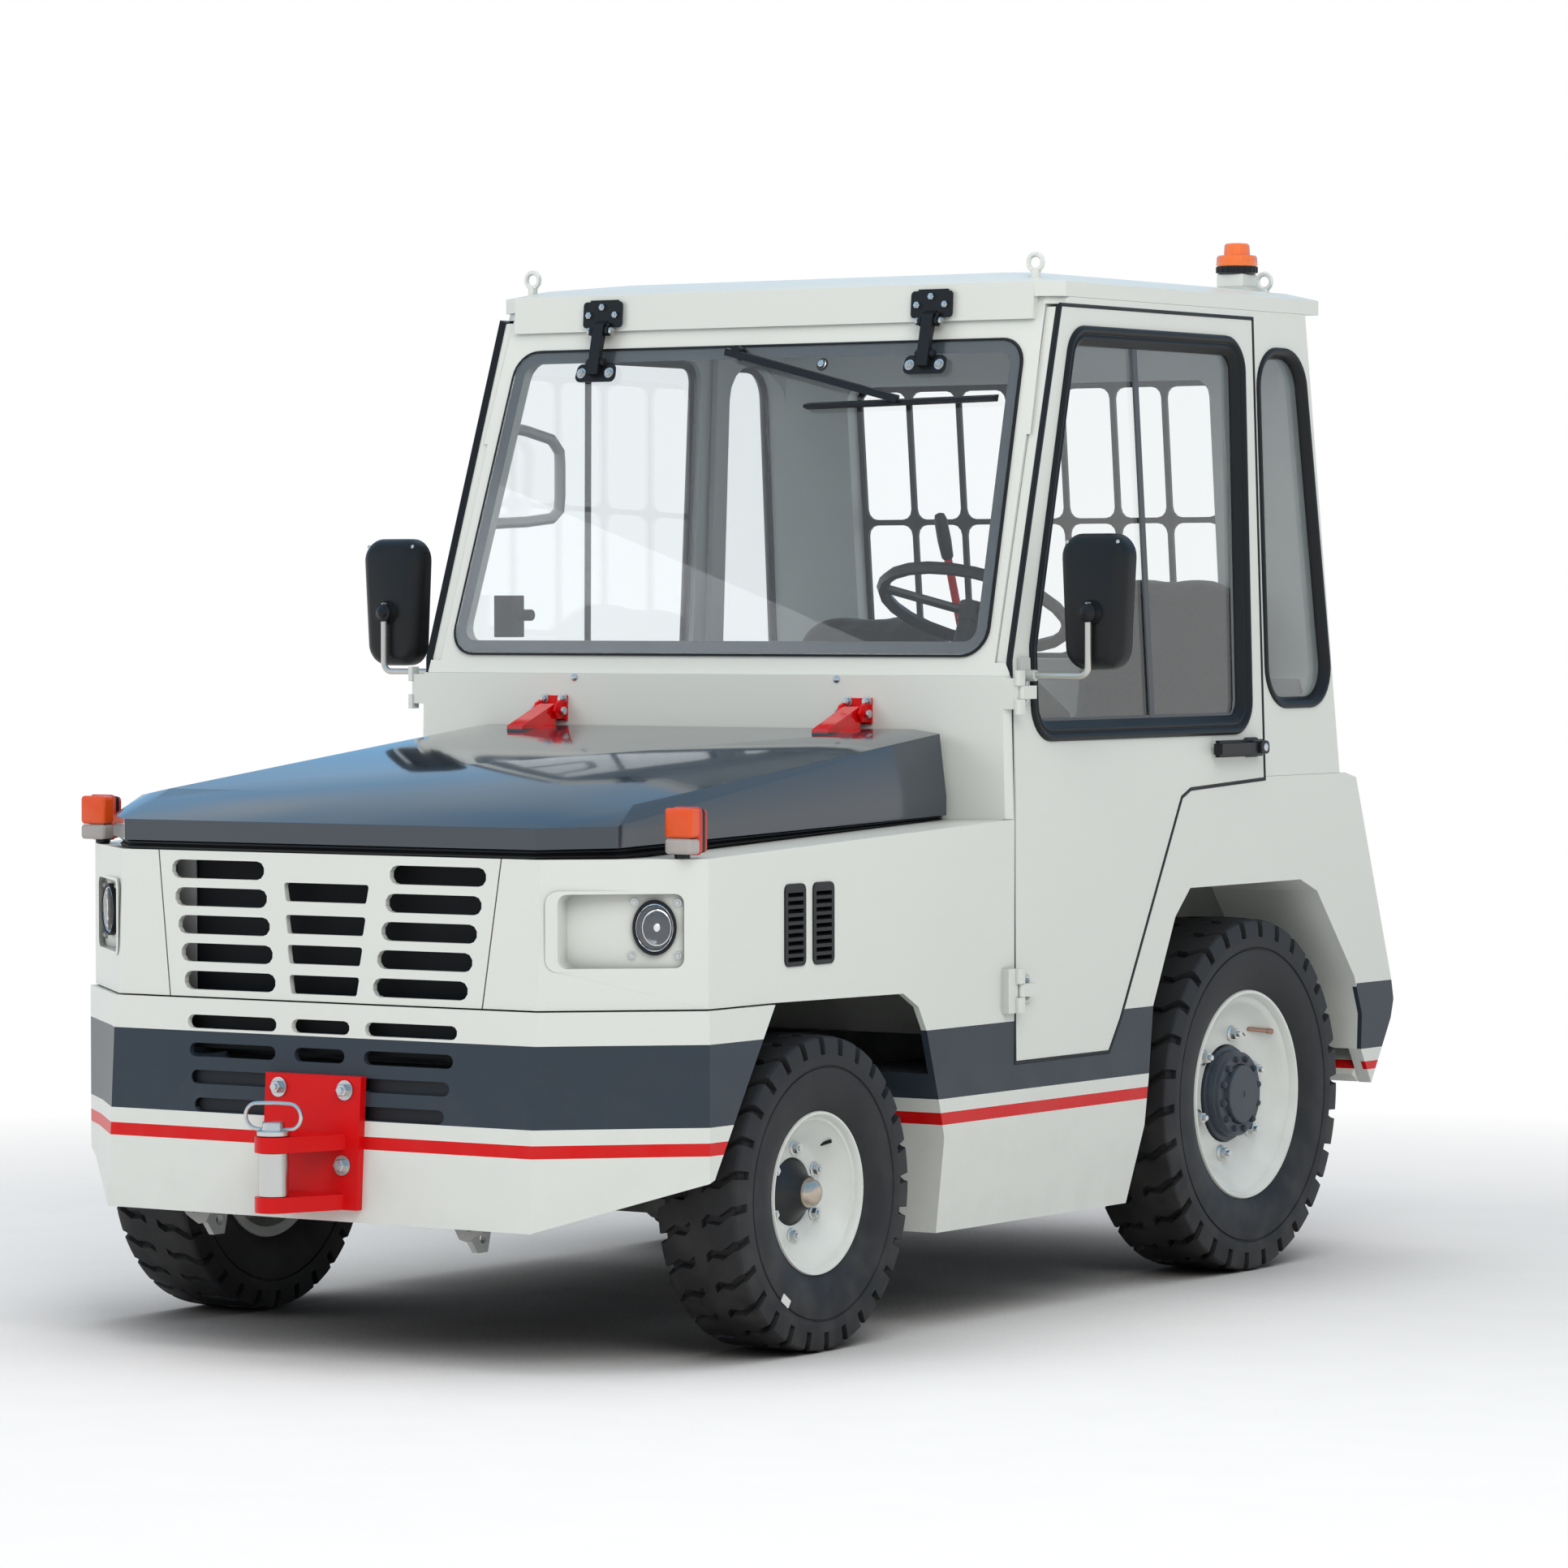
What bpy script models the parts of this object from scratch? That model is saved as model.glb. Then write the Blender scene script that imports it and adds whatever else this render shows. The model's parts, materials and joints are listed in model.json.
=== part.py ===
"""Cabbed tow tractor, modelled in metres with +Z up and its nose towards -Y.

Stations are distances behind the flat front panel, and y_at() turns one into world Y.
The vehicle's left side is +X.  The origin is on the ground, under the middle of its box.
"""

import math

import bmesh
import bpy
from mathutils import Matrix, Vector

# Clearances and sheet thicknesses
SEAT = 0.0003            # touching pieces keep this much between their faces
SEAM = 0.003             # open seam between body panels
DOOR_GAP = 0.006         # door leaf to its opening, filled by the seal
BARREL_GAP = 0.001       # hinge barrel to the seat it turns beside
SHEET = 0.012            # folded body panels with their stiffeners
CAB_WALL = 0.050
GLASS = 0.005

# Wheels and axles, which place the body over them
HALF_WIDTH = 0.700
FRONT_AXLE_S = 0.548
WHEELBASE = 1.628
REAR_AXLE_S = FRONT_AXLE_S + WHEELBASE
FRONT_RADIUS = 0.288
FRONT_TYRE_WIDTH = 0.175
FRONT_TYRE_X = HALF_WIDTH - 0.070
FRONT_RIM_RADIUS = 0.145
REAR_RADIUS = 0.358
ARCH_FRONT_S = REAR_AXLE_S - REAR_RADIUS      # the rear body is set out from the tyre's outline
ARCH_BACK_S = REAR_AXLE_S + REAR_RADIUS
REAR_TYRE_WIDTH = 0.190
REAR_TYRE_X = HALF_WIDTH - 0.108
REAR_RIM_RADIUS = 0.207
BEAD_SHARE = 0.78        # width of the rim seat as a share of the tyre's width
LUG_PITCHES = 28
LUG_DEPTH = 0.013
LUG_STATIONS = (0.0, 0.70, 0.79, 0.91)   # lug's start and end, floor of the groove, in pitches
DIFF_RADIUS = 0.130
KINGPIN_X = HALF_WIDTH - 0.200
KINGPIN_RADIUS = 0.016
BEAM_TO_KINGPIN = 0.070  # end of the axle beam, clear of the steering arm at full lock
FORK_LEVEL = 0.040
CYLINDER_HALF = 0.220

# Body outline in plan and its levels
NOSE_HALF = HALF_WIDTH - 0.226   # half width of the flat nose between its chamfers
CHAMFER_S = 0.202        # station where the nose chamfer meets the side
CREASE_Z = 0.637         # top of the bumper apron
WING_Z_FRONT = 0.905
WING_Z_REAR = 0.944
WING_REAR_S = 1.229
COWL_S = 1.212
BELT_Z = 1.216
DECK_Z = 1.003           # foot of the cab's rear pillars on the rear body

# Bumper apron
BUMPER_PROUD = 0.007
BUMPER_BOTTOM_Z = 0.250
BUMPER_TOE = 0.024       # how far the foot of the apron stands ahead of its top
BUMPER_SIDE_Z = 0.335    # foot of the apron at the end of the chamfer
BUMPER_ARCH_S = (0.209, 0.404)
NOSE_LEAN = 0.011        # how far the nose leans back up to the wing top

# Slots: height, and the rows of the grille door and of the apron
FLANGE_REACH = 0.018
GRILLE_TOP_HALF = NOSE_HALF - 0.087
GRILLE_FOOT_HALF = NOSE_HALF - 0.122
SLOT_HEIGHT = 0.034
SIDE_SLOT_TOP_Z = 0.8715
SIDE_SLOT_PITCH = 0.0505
SIDE_SLOT_ROWS = 5
SIDE_SLOT_INNER = (0.142, 0.110)
SIDE_SLOT_OUTER = (GRILLE_TOP_HALF - 0.030, GRILLE_FOOT_HALF - 0.030)
CENTRE_SLOT_Z = (0.835, 0.777, 0.723, 0.669)
CENTRE_SLOT_HALF = (0.097, 0.080)
APRON_SLOT_HEIGHT = 0.025
# columns: centre height, inner end, distance of the outer end from the nose's corner,
# half width of the middle slot (0 for none)
APRON_SLOTS = (
    (0.595, 0.100, 0.168, 0.066),
    (0.544, 0.100, 0.175, 0.057),
    (0.495, 0.100, 0.181, 0.0),
    (0.445, 0.095, 0.191, 0.0),
)

# Lamp pockets in the nose chamfers
POCKET_Z = (0.713, 0.844)
POCKET_INNER = (NOSE_HALF + 0.015, 0.013)
POCKET_OUTER = (HALF_WIDTH - 0.042, 0.165)
POCKET_DEPTH = (0.057, 0.014)
POCKET_RADIUS = 0.017
POCKET_WALL = 0.006
LAMP_X = HALF_WIDTH - 0.084
LAMP_Z = 0.783
LAMP_RADIUS = 0.042
SIGNAL_X = (HALF_WIDTH - 0.068, HALF_WIDTH - 0.010)
SIGNAL_S = (0.150, 0.205)
SIGNAL_Z = (0.913, 0.992)

# Louvre plates of the wings: two blocks through the skin on one plate behind it
VENT_SPANS = tuple(
    (FRONT_AXLE_S + start, FRONT_AXLE_S + end) for start, end in ((-0.106, -0.038), (-0.014, 0.055))
)
VENT_Z = (0.702, 0.851)
VENT_RADIUS = 0.012
VENT_PROUD = 0.003
VENT_BACK = 0.004
VENT_LAP = 0.008
VENT_ROWS = 9
VENT_SLOT = 0.008
VENT_RISE = 0.009        # louvre blades drop this much towards the outside
VENT_EDGE = 0.009

# Hood
HOOD_FRONT_S = 0.007
HOOD_NOSE_HALF = NOSE_HALF - 0.008
HOOD_HALF = HALF_WIDTH - 0.125
HOOD_CHAMFER_S = 0.105
HOOD_REAR_S = COWL_S - 0.026
HOOD_FOOT_Z = (0.922, 0.951)
HOOD_BAND = 0.038
HOOD_RIDGE_HALF = HOOD_HALF - 0.015
HOOD_RIDGE_S = 0.172
HOOD_RIDGE_Z = (0.999, 1.106)
HOOD_CROWN_HALF = (HOOD_HALF - 0.135, HOOD_HALF - 0.075)
HOOD_CROWN_S = 0.107
HOOD_CROWN_Z = (1.014, 1.114)
HOOD_SHELL = 0.010
HOOD_PIVOT_S = HOOD_REAR_S + 0.004
HOOD_PIVOT_Z = 1.142
HOOD_HINGE_X = HOOD_HALF - 0.215
HOOD_HINGE_HALF = 0.028
HOOD_PIN_RADIUS = 0.006
LEDGE_HALF = HOOD_HALF - 0.030   # inner edge of the wing tops, under the hood's rim

# Cab, leaning in towards the roof
CAB_SIDE_HALF = HALF_WIDTH
CAB_LEAN = 0.0345        # side's lean per metre of height above one metre
CAB_FRONT_S = COWL_S + 0.009
CAB_FRONT_LEAN = 0.320
CAB_FRONT_HALF = (HALF_WIDTH - 0.018, HALF_WIDTH - 0.071)
CAB_CORNER_S = (0.014, 0.030)
CAB_REAR_S = REAR_AXLE_S + 0.355
CAB_REAR_LEAN = 0.0963
CAB_REAR_CORNER = 0.020
CAB_HEIGHT = 0.729       # belt to the top of the cab's frame
CAB_TOP_Z = BELT_Z + CAB_HEIGHT
ROOF_RIM_Z = CAB_TOP_Z + 0.030
ROOF_CROWN_Z = CAB_TOP_Z + 0.065
ROOF_FRONT_S = CAB_FRONT_S + CAB_FRONT_LEAN * CAB_HEIGHT - 0.020
ROOF_REAR_S = CAB_REAR_S - 0.055
ROOF_HALF = HALF_WIDTH - 0.032
ROOF_NOSE_HALF = HALF_WIDTH - 0.080
VISOR_FOOT_Z = CAB_TOP_Z - 0.043
EYE_BOLTS = ((ROOF_HALF - 0.068, ROOF_FRONT_S + 0.036), (ROOF_HALF - 0.068, ROOF_REAR_S - 0.106))
EYE_RADIUS = 0.016
EYE_WIRE = 0.0055
BEACON_AT = (ROOF_HALF - 0.148, ROOF_REAR_S - 0.079)
BEACON_FOOT = 0.036
BEACON_PAD_Z = ROOF_CROWN_Z - 0.007

# Openings of the cab, as corners (station, height) or (x, height)
SCREEN_TOP_Z = VISOR_FOOT_Z - 0.040
SCREEN_FOOT_Z = BELT_Z + 0.040
SCREEN_HALF = (HALF_WIDTH - 0.100, HALF_WIDTH - 0.068)
SCREEN_LAP = 0.018
SCREEN_RADIUS = 0.050
QUARTER = (
    (REAR_AXLE_S + 0.043, BELT_Z - 0.066), (CAB_REAR_S - 0.053, BELT_Z - 0.066),
    (CAB_REAR_S - 0.135, SCREEN_TOP_Z), (REAR_AXLE_S + 0.043, SCREEN_TOP_Z),
)
QUARTER_RADIUS = 0.075
REAR_WINDOW_HALF = HALF_WIDTH - 0.255
REAR_WINDOW_Z = (BELT_Z + 0.020, SCREEN_TOP_Z - 0.045)
REAR_WINDOW_RADIUS = 0.035
GUARD_COLUMNS = 7
GUARD_BAR = 0.012
GUARD_THICKNESS = 0.008
SCREEN_HINGE_X = SCREEN_HALF[0] - 0.208
SCREEN_HINGE_HALF = 0.034
SCREEN_HINGE_ARM = 0.013

# Doors: outline as corners (station, height)
DOOR_FRONT_S = WING_REAR_S + 0.006
DOOR_TOP_Z = CAB_TOP_Z - 0.020
DOOR_FOOT_Z = 0.485
DOOR_OUTLINE = (
    (DOOR_FRONT_S, DOOR_FOOT_Z), (ARCH_FRONT_S - 0.240, DOOR_FOOT_Z), (ARCH_FRONT_S - 0.197, 0.546),
    (ARCH_FRONT_S + 0.041, DECK_Z - 0.031), (ARCH_FRONT_S + 0.078, DECK_Z - 0.015),
    (REAR_AXLE_S + 0.016, DECK_Z - 0.002),
    (REAR_AXLE_S + 0.020, DOOR_TOP_Z), (ROOF_FRONT_S + 0.021, DOOR_TOP_Z), (DOOR_FRONT_S, BELT_Z + 0.030),
)
DOOR_THICKNESS = 0.034
DOOR_LAP = 0.024         # flange of the frame behind the edge of the leaf
DOOR_WINDOW = (
    (DOOR_FRONT_S + 0.083, 1.110), (REAR_AXLE_S - 0.051, 1.110), (REAR_AXLE_S - 0.039, DOOR_TOP_Z - 0.055),
    (ROOF_FRONT_S + 0.066, DOOR_TOP_Z - 0.055), (DOOR_FRONT_S + 0.083, BELT_Z + 0.054),
)
DOOR_WINDOW_RADIUS = 0.050
DOOR_PIVOT_S = DOOR_FRONT_S - 0.007
DOOR_PIVOT_X = HALF_WIDTH + 0.016
DOOR_HINGE_Z = (0.620, BELT_Z - 0.021)
DOOR_BARREL = 0.0075
DOOR_BARREL_HALF = 0.0125
DOOR_HANDLE_S = (REAR_AXLE_S - 0.201, REAR_AXLE_S - 0.006)
DOOR_HANDLE_Z = 1.062
MIRROR_ARM_S = DOOR_FRONT_S + 0.040
MIRROR_ARM_X = HALF_WIDTH + 0.120
MIRROR_X = (HALF_WIDTH + 0.052, HALF_WIDTH + 0.198)
MIRROR_Z = (1.245, 1.468)
MIRROR_DEPTH = 0.050
MIRROR_TAPER = 0.009
MIRROR_ROUND = 0.028
MIRROR_EDGE = 0.010

# Rear body
REAR_SKIN = 0.030
TAIL_PROFILE = (
    (CAB_REAR_S + 0.005, DECK_Z - 0.003), (CAB_REAR_S + 0.052, DECK_Z - 0.011),
    (ARCH_BACK_S + 0.205, REAR_RADIUS + 0.204),
    (ARCH_BACK_S + 0.214, REAR_RADIUS + 0.164), (ARCH_BACK_S + 0.202, REAR_RADIUS + 0.125),
    (ARCH_BACK_S + 0.116, REAR_RADIUS - 0.006),
)
TAIL_WALL = 0.030
ARCH_REAR = (
    (ARCH_BACK_S + 0.066, REAR_RADIUS - 0.006), (ARCH_BACK_S + 0.071, REAR_RADIUS + 0.067),
    (ARCH_BACK_S + 0.075, REAR_RADIUS + 0.140), (ARCH_BACK_S + 0.042, REAR_RADIUS + 0.220),
    (ARCH_BACK_S - 0.118, 2 * REAR_RADIUS + 0.046), (ARCH_BACK_S - 0.189, 2 * REAR_RADIUS + 0.072),
    (ARCH_FRONT_S + 0.078, 2 * REAR_RADIUS + 0.072), (ARCH_FRONT_S + 0.019, 2 * REAR_RADIUS + 0.017),
    (ARCH_FRONT_S - 0.068, 0.561),
)
WHEELHOUSE_X = HALF_WIDTH - 0.250
WHEELHOUSE_WALL = 0.005

# Steps between the wheels
STEP_TOP_Z = 0.561
STEP_TREAD_Z = 0.478
STEP_FOOT_Z = 0.180
STEP_INNER_X = HALF_WIDTH - 0.245
STEP_TUCK = 0.008
STEP_SKIN = 0.014
STEP_FRONT = tuple(
    (FRONT_AXLE_S + reach, z) for reach, z in ((0.371, 0.561), (0.435, 0.356), (0.414, 0.180))
)
STEP_REAR = tuple(
    (ARCH_FRONT_S - reach, z) for reach, z in ((0.161, 0.180), (0.097, 0.328), (0.068, 0.561))
)

# Rear hitch
REAR_HITCH_FACE_S = ARCH_BACK_S + 0.166
REAR_HITCH_Z = (0.356, 0.486)

# Chassis
RAIL_X = (0.270, 0.330)
RAIL_Z = (0.430, 0.530)
RAIL_REAR_S = REAR_HITCH_FACE_S - 0.060
CROSS_WIDTH = 0.060
FRONT_PLATE_HALF = NOSE_HALF - 0.054
FRONT_PLATE_Z = (RAIL_Z[0] - 0.130, RAIL_Z[1])
REAR_PLATE_HALF = WHEELHOUSE_X - 0.030
TIE_DOWN_X = RAIL_X[1] - 0.030
FLOOR_THICKNESS = 0.006
FLOOR_TO_DOOR = 0.011
FLOOR_HALF = HALF_WIDTH - DOOR_THICKNESS - FLOOR_TO_DOOR
FLOOR_REAR_S = CAB_REAR_S - 0.061
RISER_S = ARCH_FRONT_S - 0.078
SEAT_DECK_Z = 2 * REAR_RADIUS + 0.0805   # on top of the wheelhouses

# Engine under the hood
ENGINE_HALF = RAIL_X[0] - 0.050
ENGINE_S = (0.300, 1.020)
ENGINE_Z = (0.355, 0.850)
ENGINE_FEET_S = (0.420, 0.860)
SHAFT_Z = 0.398
SHAFT_RADIUS = 0.028
RADIATOR_S = (0.095, 0.165)
RADIATOR_TOP_Z = 0.860

# Driver's place
SEAT_HALF = 0.205
SEAT_TO_SIDE = 0.295     # middle of the driver's seat from the edge of the floor
DRIVER_X = FLOOR_HALF - SEAT_TO_SIDE
PASSENGER_X = -DRIVER_X + 0.010
DRIVER_SEAT_TOP_Z = 1.410
PASSENGER_SEAT_TOP_Z = 1.325
CUSHION_Z = SEAT_DECK_Z + 0.1885
STEERING_S = COWL_S + 0.418
STEERING_Z = 1.345
STEERING_TILT = 25       # degrees back from level
STEERING_RADIUS = 0.185
COLUMN_RADIUS = 0.024
COLUMN_LENGTH = 0.300
HUB_DEPTH = 0.036
DASH_HALF = FLOOR_HALF - 0.015

# Hitches
HITCH_PLATE_HALF = 0.108
HITCH_PLATE_Z = (0.273, 0.511)
HITCH_PLATE = 0.016
HITCH_REACH = 0.100      # plate face to the middle of the pin
HITCH_LUG_HALF = 0.080
HITCH_TIP = 0.034
HITCH_LUG_Z = (0.273, 0.380)
HITCH_LUG = 0.028
HITCH_PIN_RADIUS = 0.0195
HITCH_BORE_GAP = 0.0006

# Smoothness of round work
ROUND = 24
SMALL_ROUND = 16


def apron_s(z):
    """Station of the apron's flat front at a height below the crease."""
    return -BUMPER_PROUD - BUMPER_TOE * (CREASE_Z - z) / (CREASE_Z - BUMPER_BOTTOM_Z)


# The model is centred between the tips of its two hitches
HITCH_PIN_S = apron_s(HITCH_PLATE_Z[0]) - SEAT - HITCH_PLATE - HITCH_REACH
REAR_PIN_S = REAR_HITCH_FACE_S + HITCH_PLATE + HITCH_REACH
FRONT_Y = -(HITCH_PIN_S + REAR_PIN_S) / 2


def y_at(station):
    """World Y of a station behind the nose."""
    return FRONT_Y + station


def lerp(pair, share):
    return pair[0] + (pair[1] - pair[0]) * share


# Scene helpers

for old in list(bpy.data.objects):
    bpy.data.objects.remove(old, do_unlink=True)


def make_material(name, colour, roughness, metallic=0.0):
    material = bpy.data.materials.new(name)
    material.use_nodes = True
    shader = material.node_tree.nodes["Principled BSDF"]
    shader.inputs["Base Color"].default_value = (*colour, 1.0)
    shader.inputs["Roughness"].default_value = roughness
    shader.inputs["Metallic"].default_value = metallic
    return material


WHITE_PAINT = make_material("white_paint", (0.70, 0.74, 0.71), 0.35)
SLATE_PAINT = make_material("slate_paint", (0.042, 0.054, 0.072), 0.18)
RED_PAINT = make_material("red_paint", (0.62, 0.014, 0.018), 0.35)
FRAME_PAINT = make_material("frame_paint", (0.05, 0.05, 0.055), 0.60)
BLACK_PLASTIC = make_material("black_plastic", (0.015, 0.016, 0.018), 0.45)
TYRE_RUBBER = make_material("tyre_rubber", (0.026, 0.028, 0.030), 0.80)
ZINC_STEEL = make_material("zinc_steel", (0.55, 0.55, 0.54), 0.35, 1.0)
LAMP_GLASS = make_material("lamp_glass", (0.75, 0.78, 0.80), 0.10)
TINTED_GLASS = make_material("tinted_glass", (0.30, 0.34, 0.36), 0.05)
AMBER_LENS = make_material("amber_lens", (0.85, 0.22, 0.02), 0.15)
SEAT_VINYL = make_material("seat_vinyl", (0.05, 0.055, 0.06), 0.60)
CAST_IRON = make_material("cast_iron", (0.06, 0.065, 0.07), 0.55, 0.6)
FINNED_CORE = make_material("finned_core", (0.06, 0.06, 0.065), 0.50, 0.8)


def bm_to_mesh(name, bm):
    bmesh.ops.recalc_face_normals(bm, faces=bm.faces)
    mesh = bpy.data.meshes.new(name)
    bm.to_mesh(mesh)
    bm.free()
    return mesh


def add_part(name, bm, material, pivot=None, smooth=False):
    """Put a finished shape in the scene; a moving piece gets its origin on its axis."""
    if pivot is not None:
        bmesh.ops.translate(bm, vec=-Vector(pivot), verts=bm.verts)
    part = bpy.data.objects.new(name, bm_to_mesh(name, bm))
    part.data.materials.append(material)
    if smooth:
        part.data.shade_smooth()
        part.data.set_sharp_from_angle(angle=math.radians(35))
    if pivot is not None:
        part.location = pivot
    bpy.context.scene.collection.objects.link(part)
    return part


def add_tool(name, bm):
    """A cutter or an added block, hidden from the build."""
    tool = bpy.data.objects.new(name, bm_to_mesh(name, bm))
    tool.hide_render = True
    tool.display_type = "WIRE"
    bpy.context.scene.collection.objects.link(tool)
    return tool


def add_boolean(part, operation, tool):
    boolean = part.modifiers.new(f"{operation.title()} {len(part.modifiers)}", "BOOLEAN")
    boolean.operation = operation
    boolean.solver = "EXACT"
    boolean.object = tool


def combine(part, operation, bm):
    tool = add_tool(f"{part.name}.{operation.lower()}.{len(part.modifiers)}", bm)
    add_boolean(part, operation, tool)


def join_tool(part, tool):
    add_boolean(part, "UNION", tool)


def cut(part, *shapes):
    for bm in shapes:
        combine(part, "DIFFERENCE", bm)


def fuse(part, *shapes):
    for bm in shapes:
        combine(part, "UNION", bm)


# Shape helpers

def merged(*shapes):
    """One bmesh with several separate closed shapes in it."""
    result = bmesh.new()
    for bm in shapes:
        mesh = bpy.data.meshes.new("piece")
        bm.to_mesh(mesh)
        bm.free()
        result.from_mesh(mesh)
        bpy.data.meshes.remove(mesh)
    return result


def loft(*rings):
    """Closed solid through rings of points that run the same way round."""
    bm = bmesh.new()
    loops = [[bm.verts.new(point) for point in ring] for ring in rings]
    for low, high in zip(loops, loops[1:]):
        count = len(low)
        for i in range(count):
            j = (i + 1) % count
            bm.faces.new((low[i], low[j], high[j], high[i]))
    bm.faces.new(loops[0])
    bm.faces.new(loops[-1])
    bmesh.ops.recalc_face_normals(bm, faces=bm.faces)
    return bm


def prism_x(outline, x_low, x_high):
    """Outline of (station, height) drawn out along X."""
    rings = [[(x, y_at(s), z) for s, z in outline] for x in (x_low, x_high)]
    return loft(*rings)


def prism_y(outline, s_low, s_high):
    """Outline of (x, height) drawn out along Y."""
    rings = [[(x, y_at(s), z) for x, z in outline] for s in (s_low, s_high)]
    return loft(*rings)


def prism_z(outline, z_low, z_high):
    """Outline of (x, station) drawn out along Z."""
    rings = [[(x, y_at(s), z) for x, s in outline] for z in (z_low, z_high)]
    return loft(*rings)


def block(x, s, z):
    """Box between pairs of x, station and height."""
    return prism_z([(x[0], s[0]), (x[1], s[0]), (x[1], s[1]), (x[0], s[1])], *z)


def rounded(corners, radius, steps=4):
    """Outline with every corner replaced by an arc of the radius."""
    points = []
    count = len(corners)
    for i, corner in enumerate(corners):
        here = Vector(corner)
        back = (Vector(corners[i - 1]) - here).normalized()
        ahead = (Vector(corners[(i + 1) % count]) - here).normalized()
        half = back.angle(ahead) / 2
        reach = radius / math.tan(half)
        centre = here + (back + ahead).normalized() * radius / math.sin(half)
        start = here + back * reach - centre
        sweep = start.angle_signed(here + ahead * reach - centre)
        for k in range(steps + 1):
            turn = Matrix.Rotation(-sweep * k / steps, 2)
            points.append(tuple(centre + turn @ start))
    return points


def inset(corners, distance):
    """Convex outline moved inwards by the distance."""
    area = sum(a[0] * b[1] - b[0] * a[1] for a, b in zip(corners, corners[1:] + corners[:1]))
    turn = 1.0 if area > 0 else -1.0
    lines = []
    for i, point in enumerate(corners):
        ahead = Vector(corners[(i + 1) % len(corners)]) - Vector(point)
        normal = Vector((-ahead.y, ahead.x)).normalized() * turn
        lines.append((Vector(point) + normal * distance, ahead))
    points = []
    for i, (origin, direction) in enumerate(lines):
        before, heading = lines[i - 1]
        cross = heading.x * direction.y - heading.y * direction.x
        gap = origin - before
        share = (gap.x * direction.y - gap.y * direction.x) / cross
        points.append(tuple(before + heading * share))
    return points


def mirror_x(bm):
    """The same shape on the right side."""
    for vertex in bm.verts:
        vertex.co.x = -vertex.co.x
    bmesh.ops.recalc_face_normals(bm, faces=bm.faces)
    return bm


def sided(bm, side):
    return bm if side > 0 else mirror_x(bm)


def frame_about(axis):
    """Two directions square to an axis and to each other."""
    axis = Vector(axis).normalized()
    helper = Vector((0, 0, 1)) if abs(axis.z) < 0.9 else Vector((1, 0, 0))
    side = axis.cross(helper).normalized()
    return axis, side, axis.cross(side)


def spin(profile, origin, axis, steps=ROUND):
    """Profile of (distance along the axis, radius) turned about the axis.

    A profile whose two ends have a radius closes on itself as a ring.
    """
    axis, side, other = frame_about(axis)
    bm = bmesh.new()
    columns = []
    for along, radius in profile:
        centre = Vector(origin) + axis * along
        if radius <= 0:
            columns.append([bm.verts.new(centre)])
            continue
        column = []
        for k in range(steps):
            angle = 2 * math.pi * k / steps
            column.append(
                bm.verts.new(centre + (side * math.cos(angle) + other * math.sin(angle)) * radius)
            )
        columns.append(column)
    pairs = list(zip(columns, columns[1:]))
    if profile[0][1] > 0 and profile[-1][1] > 0:
        pairs.append((columns[-1], columns[0]))
    for one, two in pairs:
        for k in range(steps):
            j = (k + 1) % steps
            corners = (one[k % len(one)], one[j % len(one)], two[j % len(two)], two[k % len(two)])
            unique = list(dict.fromkeys(corners))
            if len(unique) > 2:
                bm.faces.new(unique)
    bmesh.ops.recalc_face_normals(bm, faces=bm.faces)
    return bm


def rod(start, end, radius, steps=SMALL_ROUND):
    """Straight round bar between two world points."""
    along = Vector(end) - Vector(start)
    profile = [(0, 0), (0, radius), (along.length, radius), (along.length, 0)]
    return spin(profile, start, along, steps)


def torus(centre, normal, radius, thickness, steps=ROUND, sides=8):
    """Closed round ring in the plane with the given normal."""
    normal, side, other = frame_about(normal)
    bm = bmesh.new()
    rings = []
    for k in range(steps):
        angle = 2 * math.pi * k / steps
        outward = side * math.cos(angle) + other * math.sin(angle)
        ring = []
        for m in range(sides):
            turn = 2 * math.pi * m / sides
            offset = outward * math.cos(turn) + normal * math.sin(turn)
            ring.append(bm.verts.new(Vector(centre) + outward * radius + offset * thickness))
        rings.append(ring)
    for k in range(steps):
        ahead = rings[(k + 1) % steps]
        for m in range(sides):
            n = (m + 1) % sides
            bm.faces.new((rings[k][m], rings[k][n], ahead[n], ahead[m]))
    bmesh.ops.recalc_face_normals(bm, faces=bm.faces)
    return bm


# Surfaces that pieces share

def nose_s(z):
    """Station of the flat nose panel at a height above the crease."""
    return NOSE_LEAN * (z - CREASE_Z) / (WING_Z_FRONT - CREASE_Z)


def wing_top_z(station):
    return lerp((WING_Z_FRONT, WING_Z_REAR), (station - CHAMFER_S) / (WING_REAR_S - CHAMFER_S))


def side_x(z):
    return CAB_SIDE_HALF - CAB_LEAN * (z - 1.0)


def screen_s(z):
    return CAB_FRONT_S + CAB_FRONT_LEAN * (z - BELT_Z)


def rear_s(z):
    return CAB_REAR_S - CAB_REAR_LEAN * (z - DECK_Z)


def hood_top_z(station):
    span = HOOD_REAR_S - HOOD_CROWN_S
    return lerp(HOOD_CROWN_Z, (station - HOOD_CROWN_S) / span)


def plate_on_side(outline, x_in, x_out):
    """Plate of (station, height) parallel to the leaning cab side, depths measured inwards."""
    rings = [[(side_x(z) - depth, y_at(s), z) for s, z in outline] for depth in (x_in, x_out)]
    return loft(*rings)


def plate_on_screen(outline, s_in, s_out):
    """Plate of (x, height) parallel to the windshield, depths measured rearwards."""
    rings = [[(x, y_at(screen_s(z) + depth), z) for x, z in outline] for depth in (s_in, s_out)]
    return loft(*rings)


def plate_on_rear(outline, s_in, s_out):
    """Plate of (x, height) parallel to the cab's rear wall, depths measured forwards."""
    rings = [[(x, y_at(rear_s(z) - depth), z) for x, z in outline] for depth in (s_in, s_out)]
    return loft(*rings)


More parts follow.
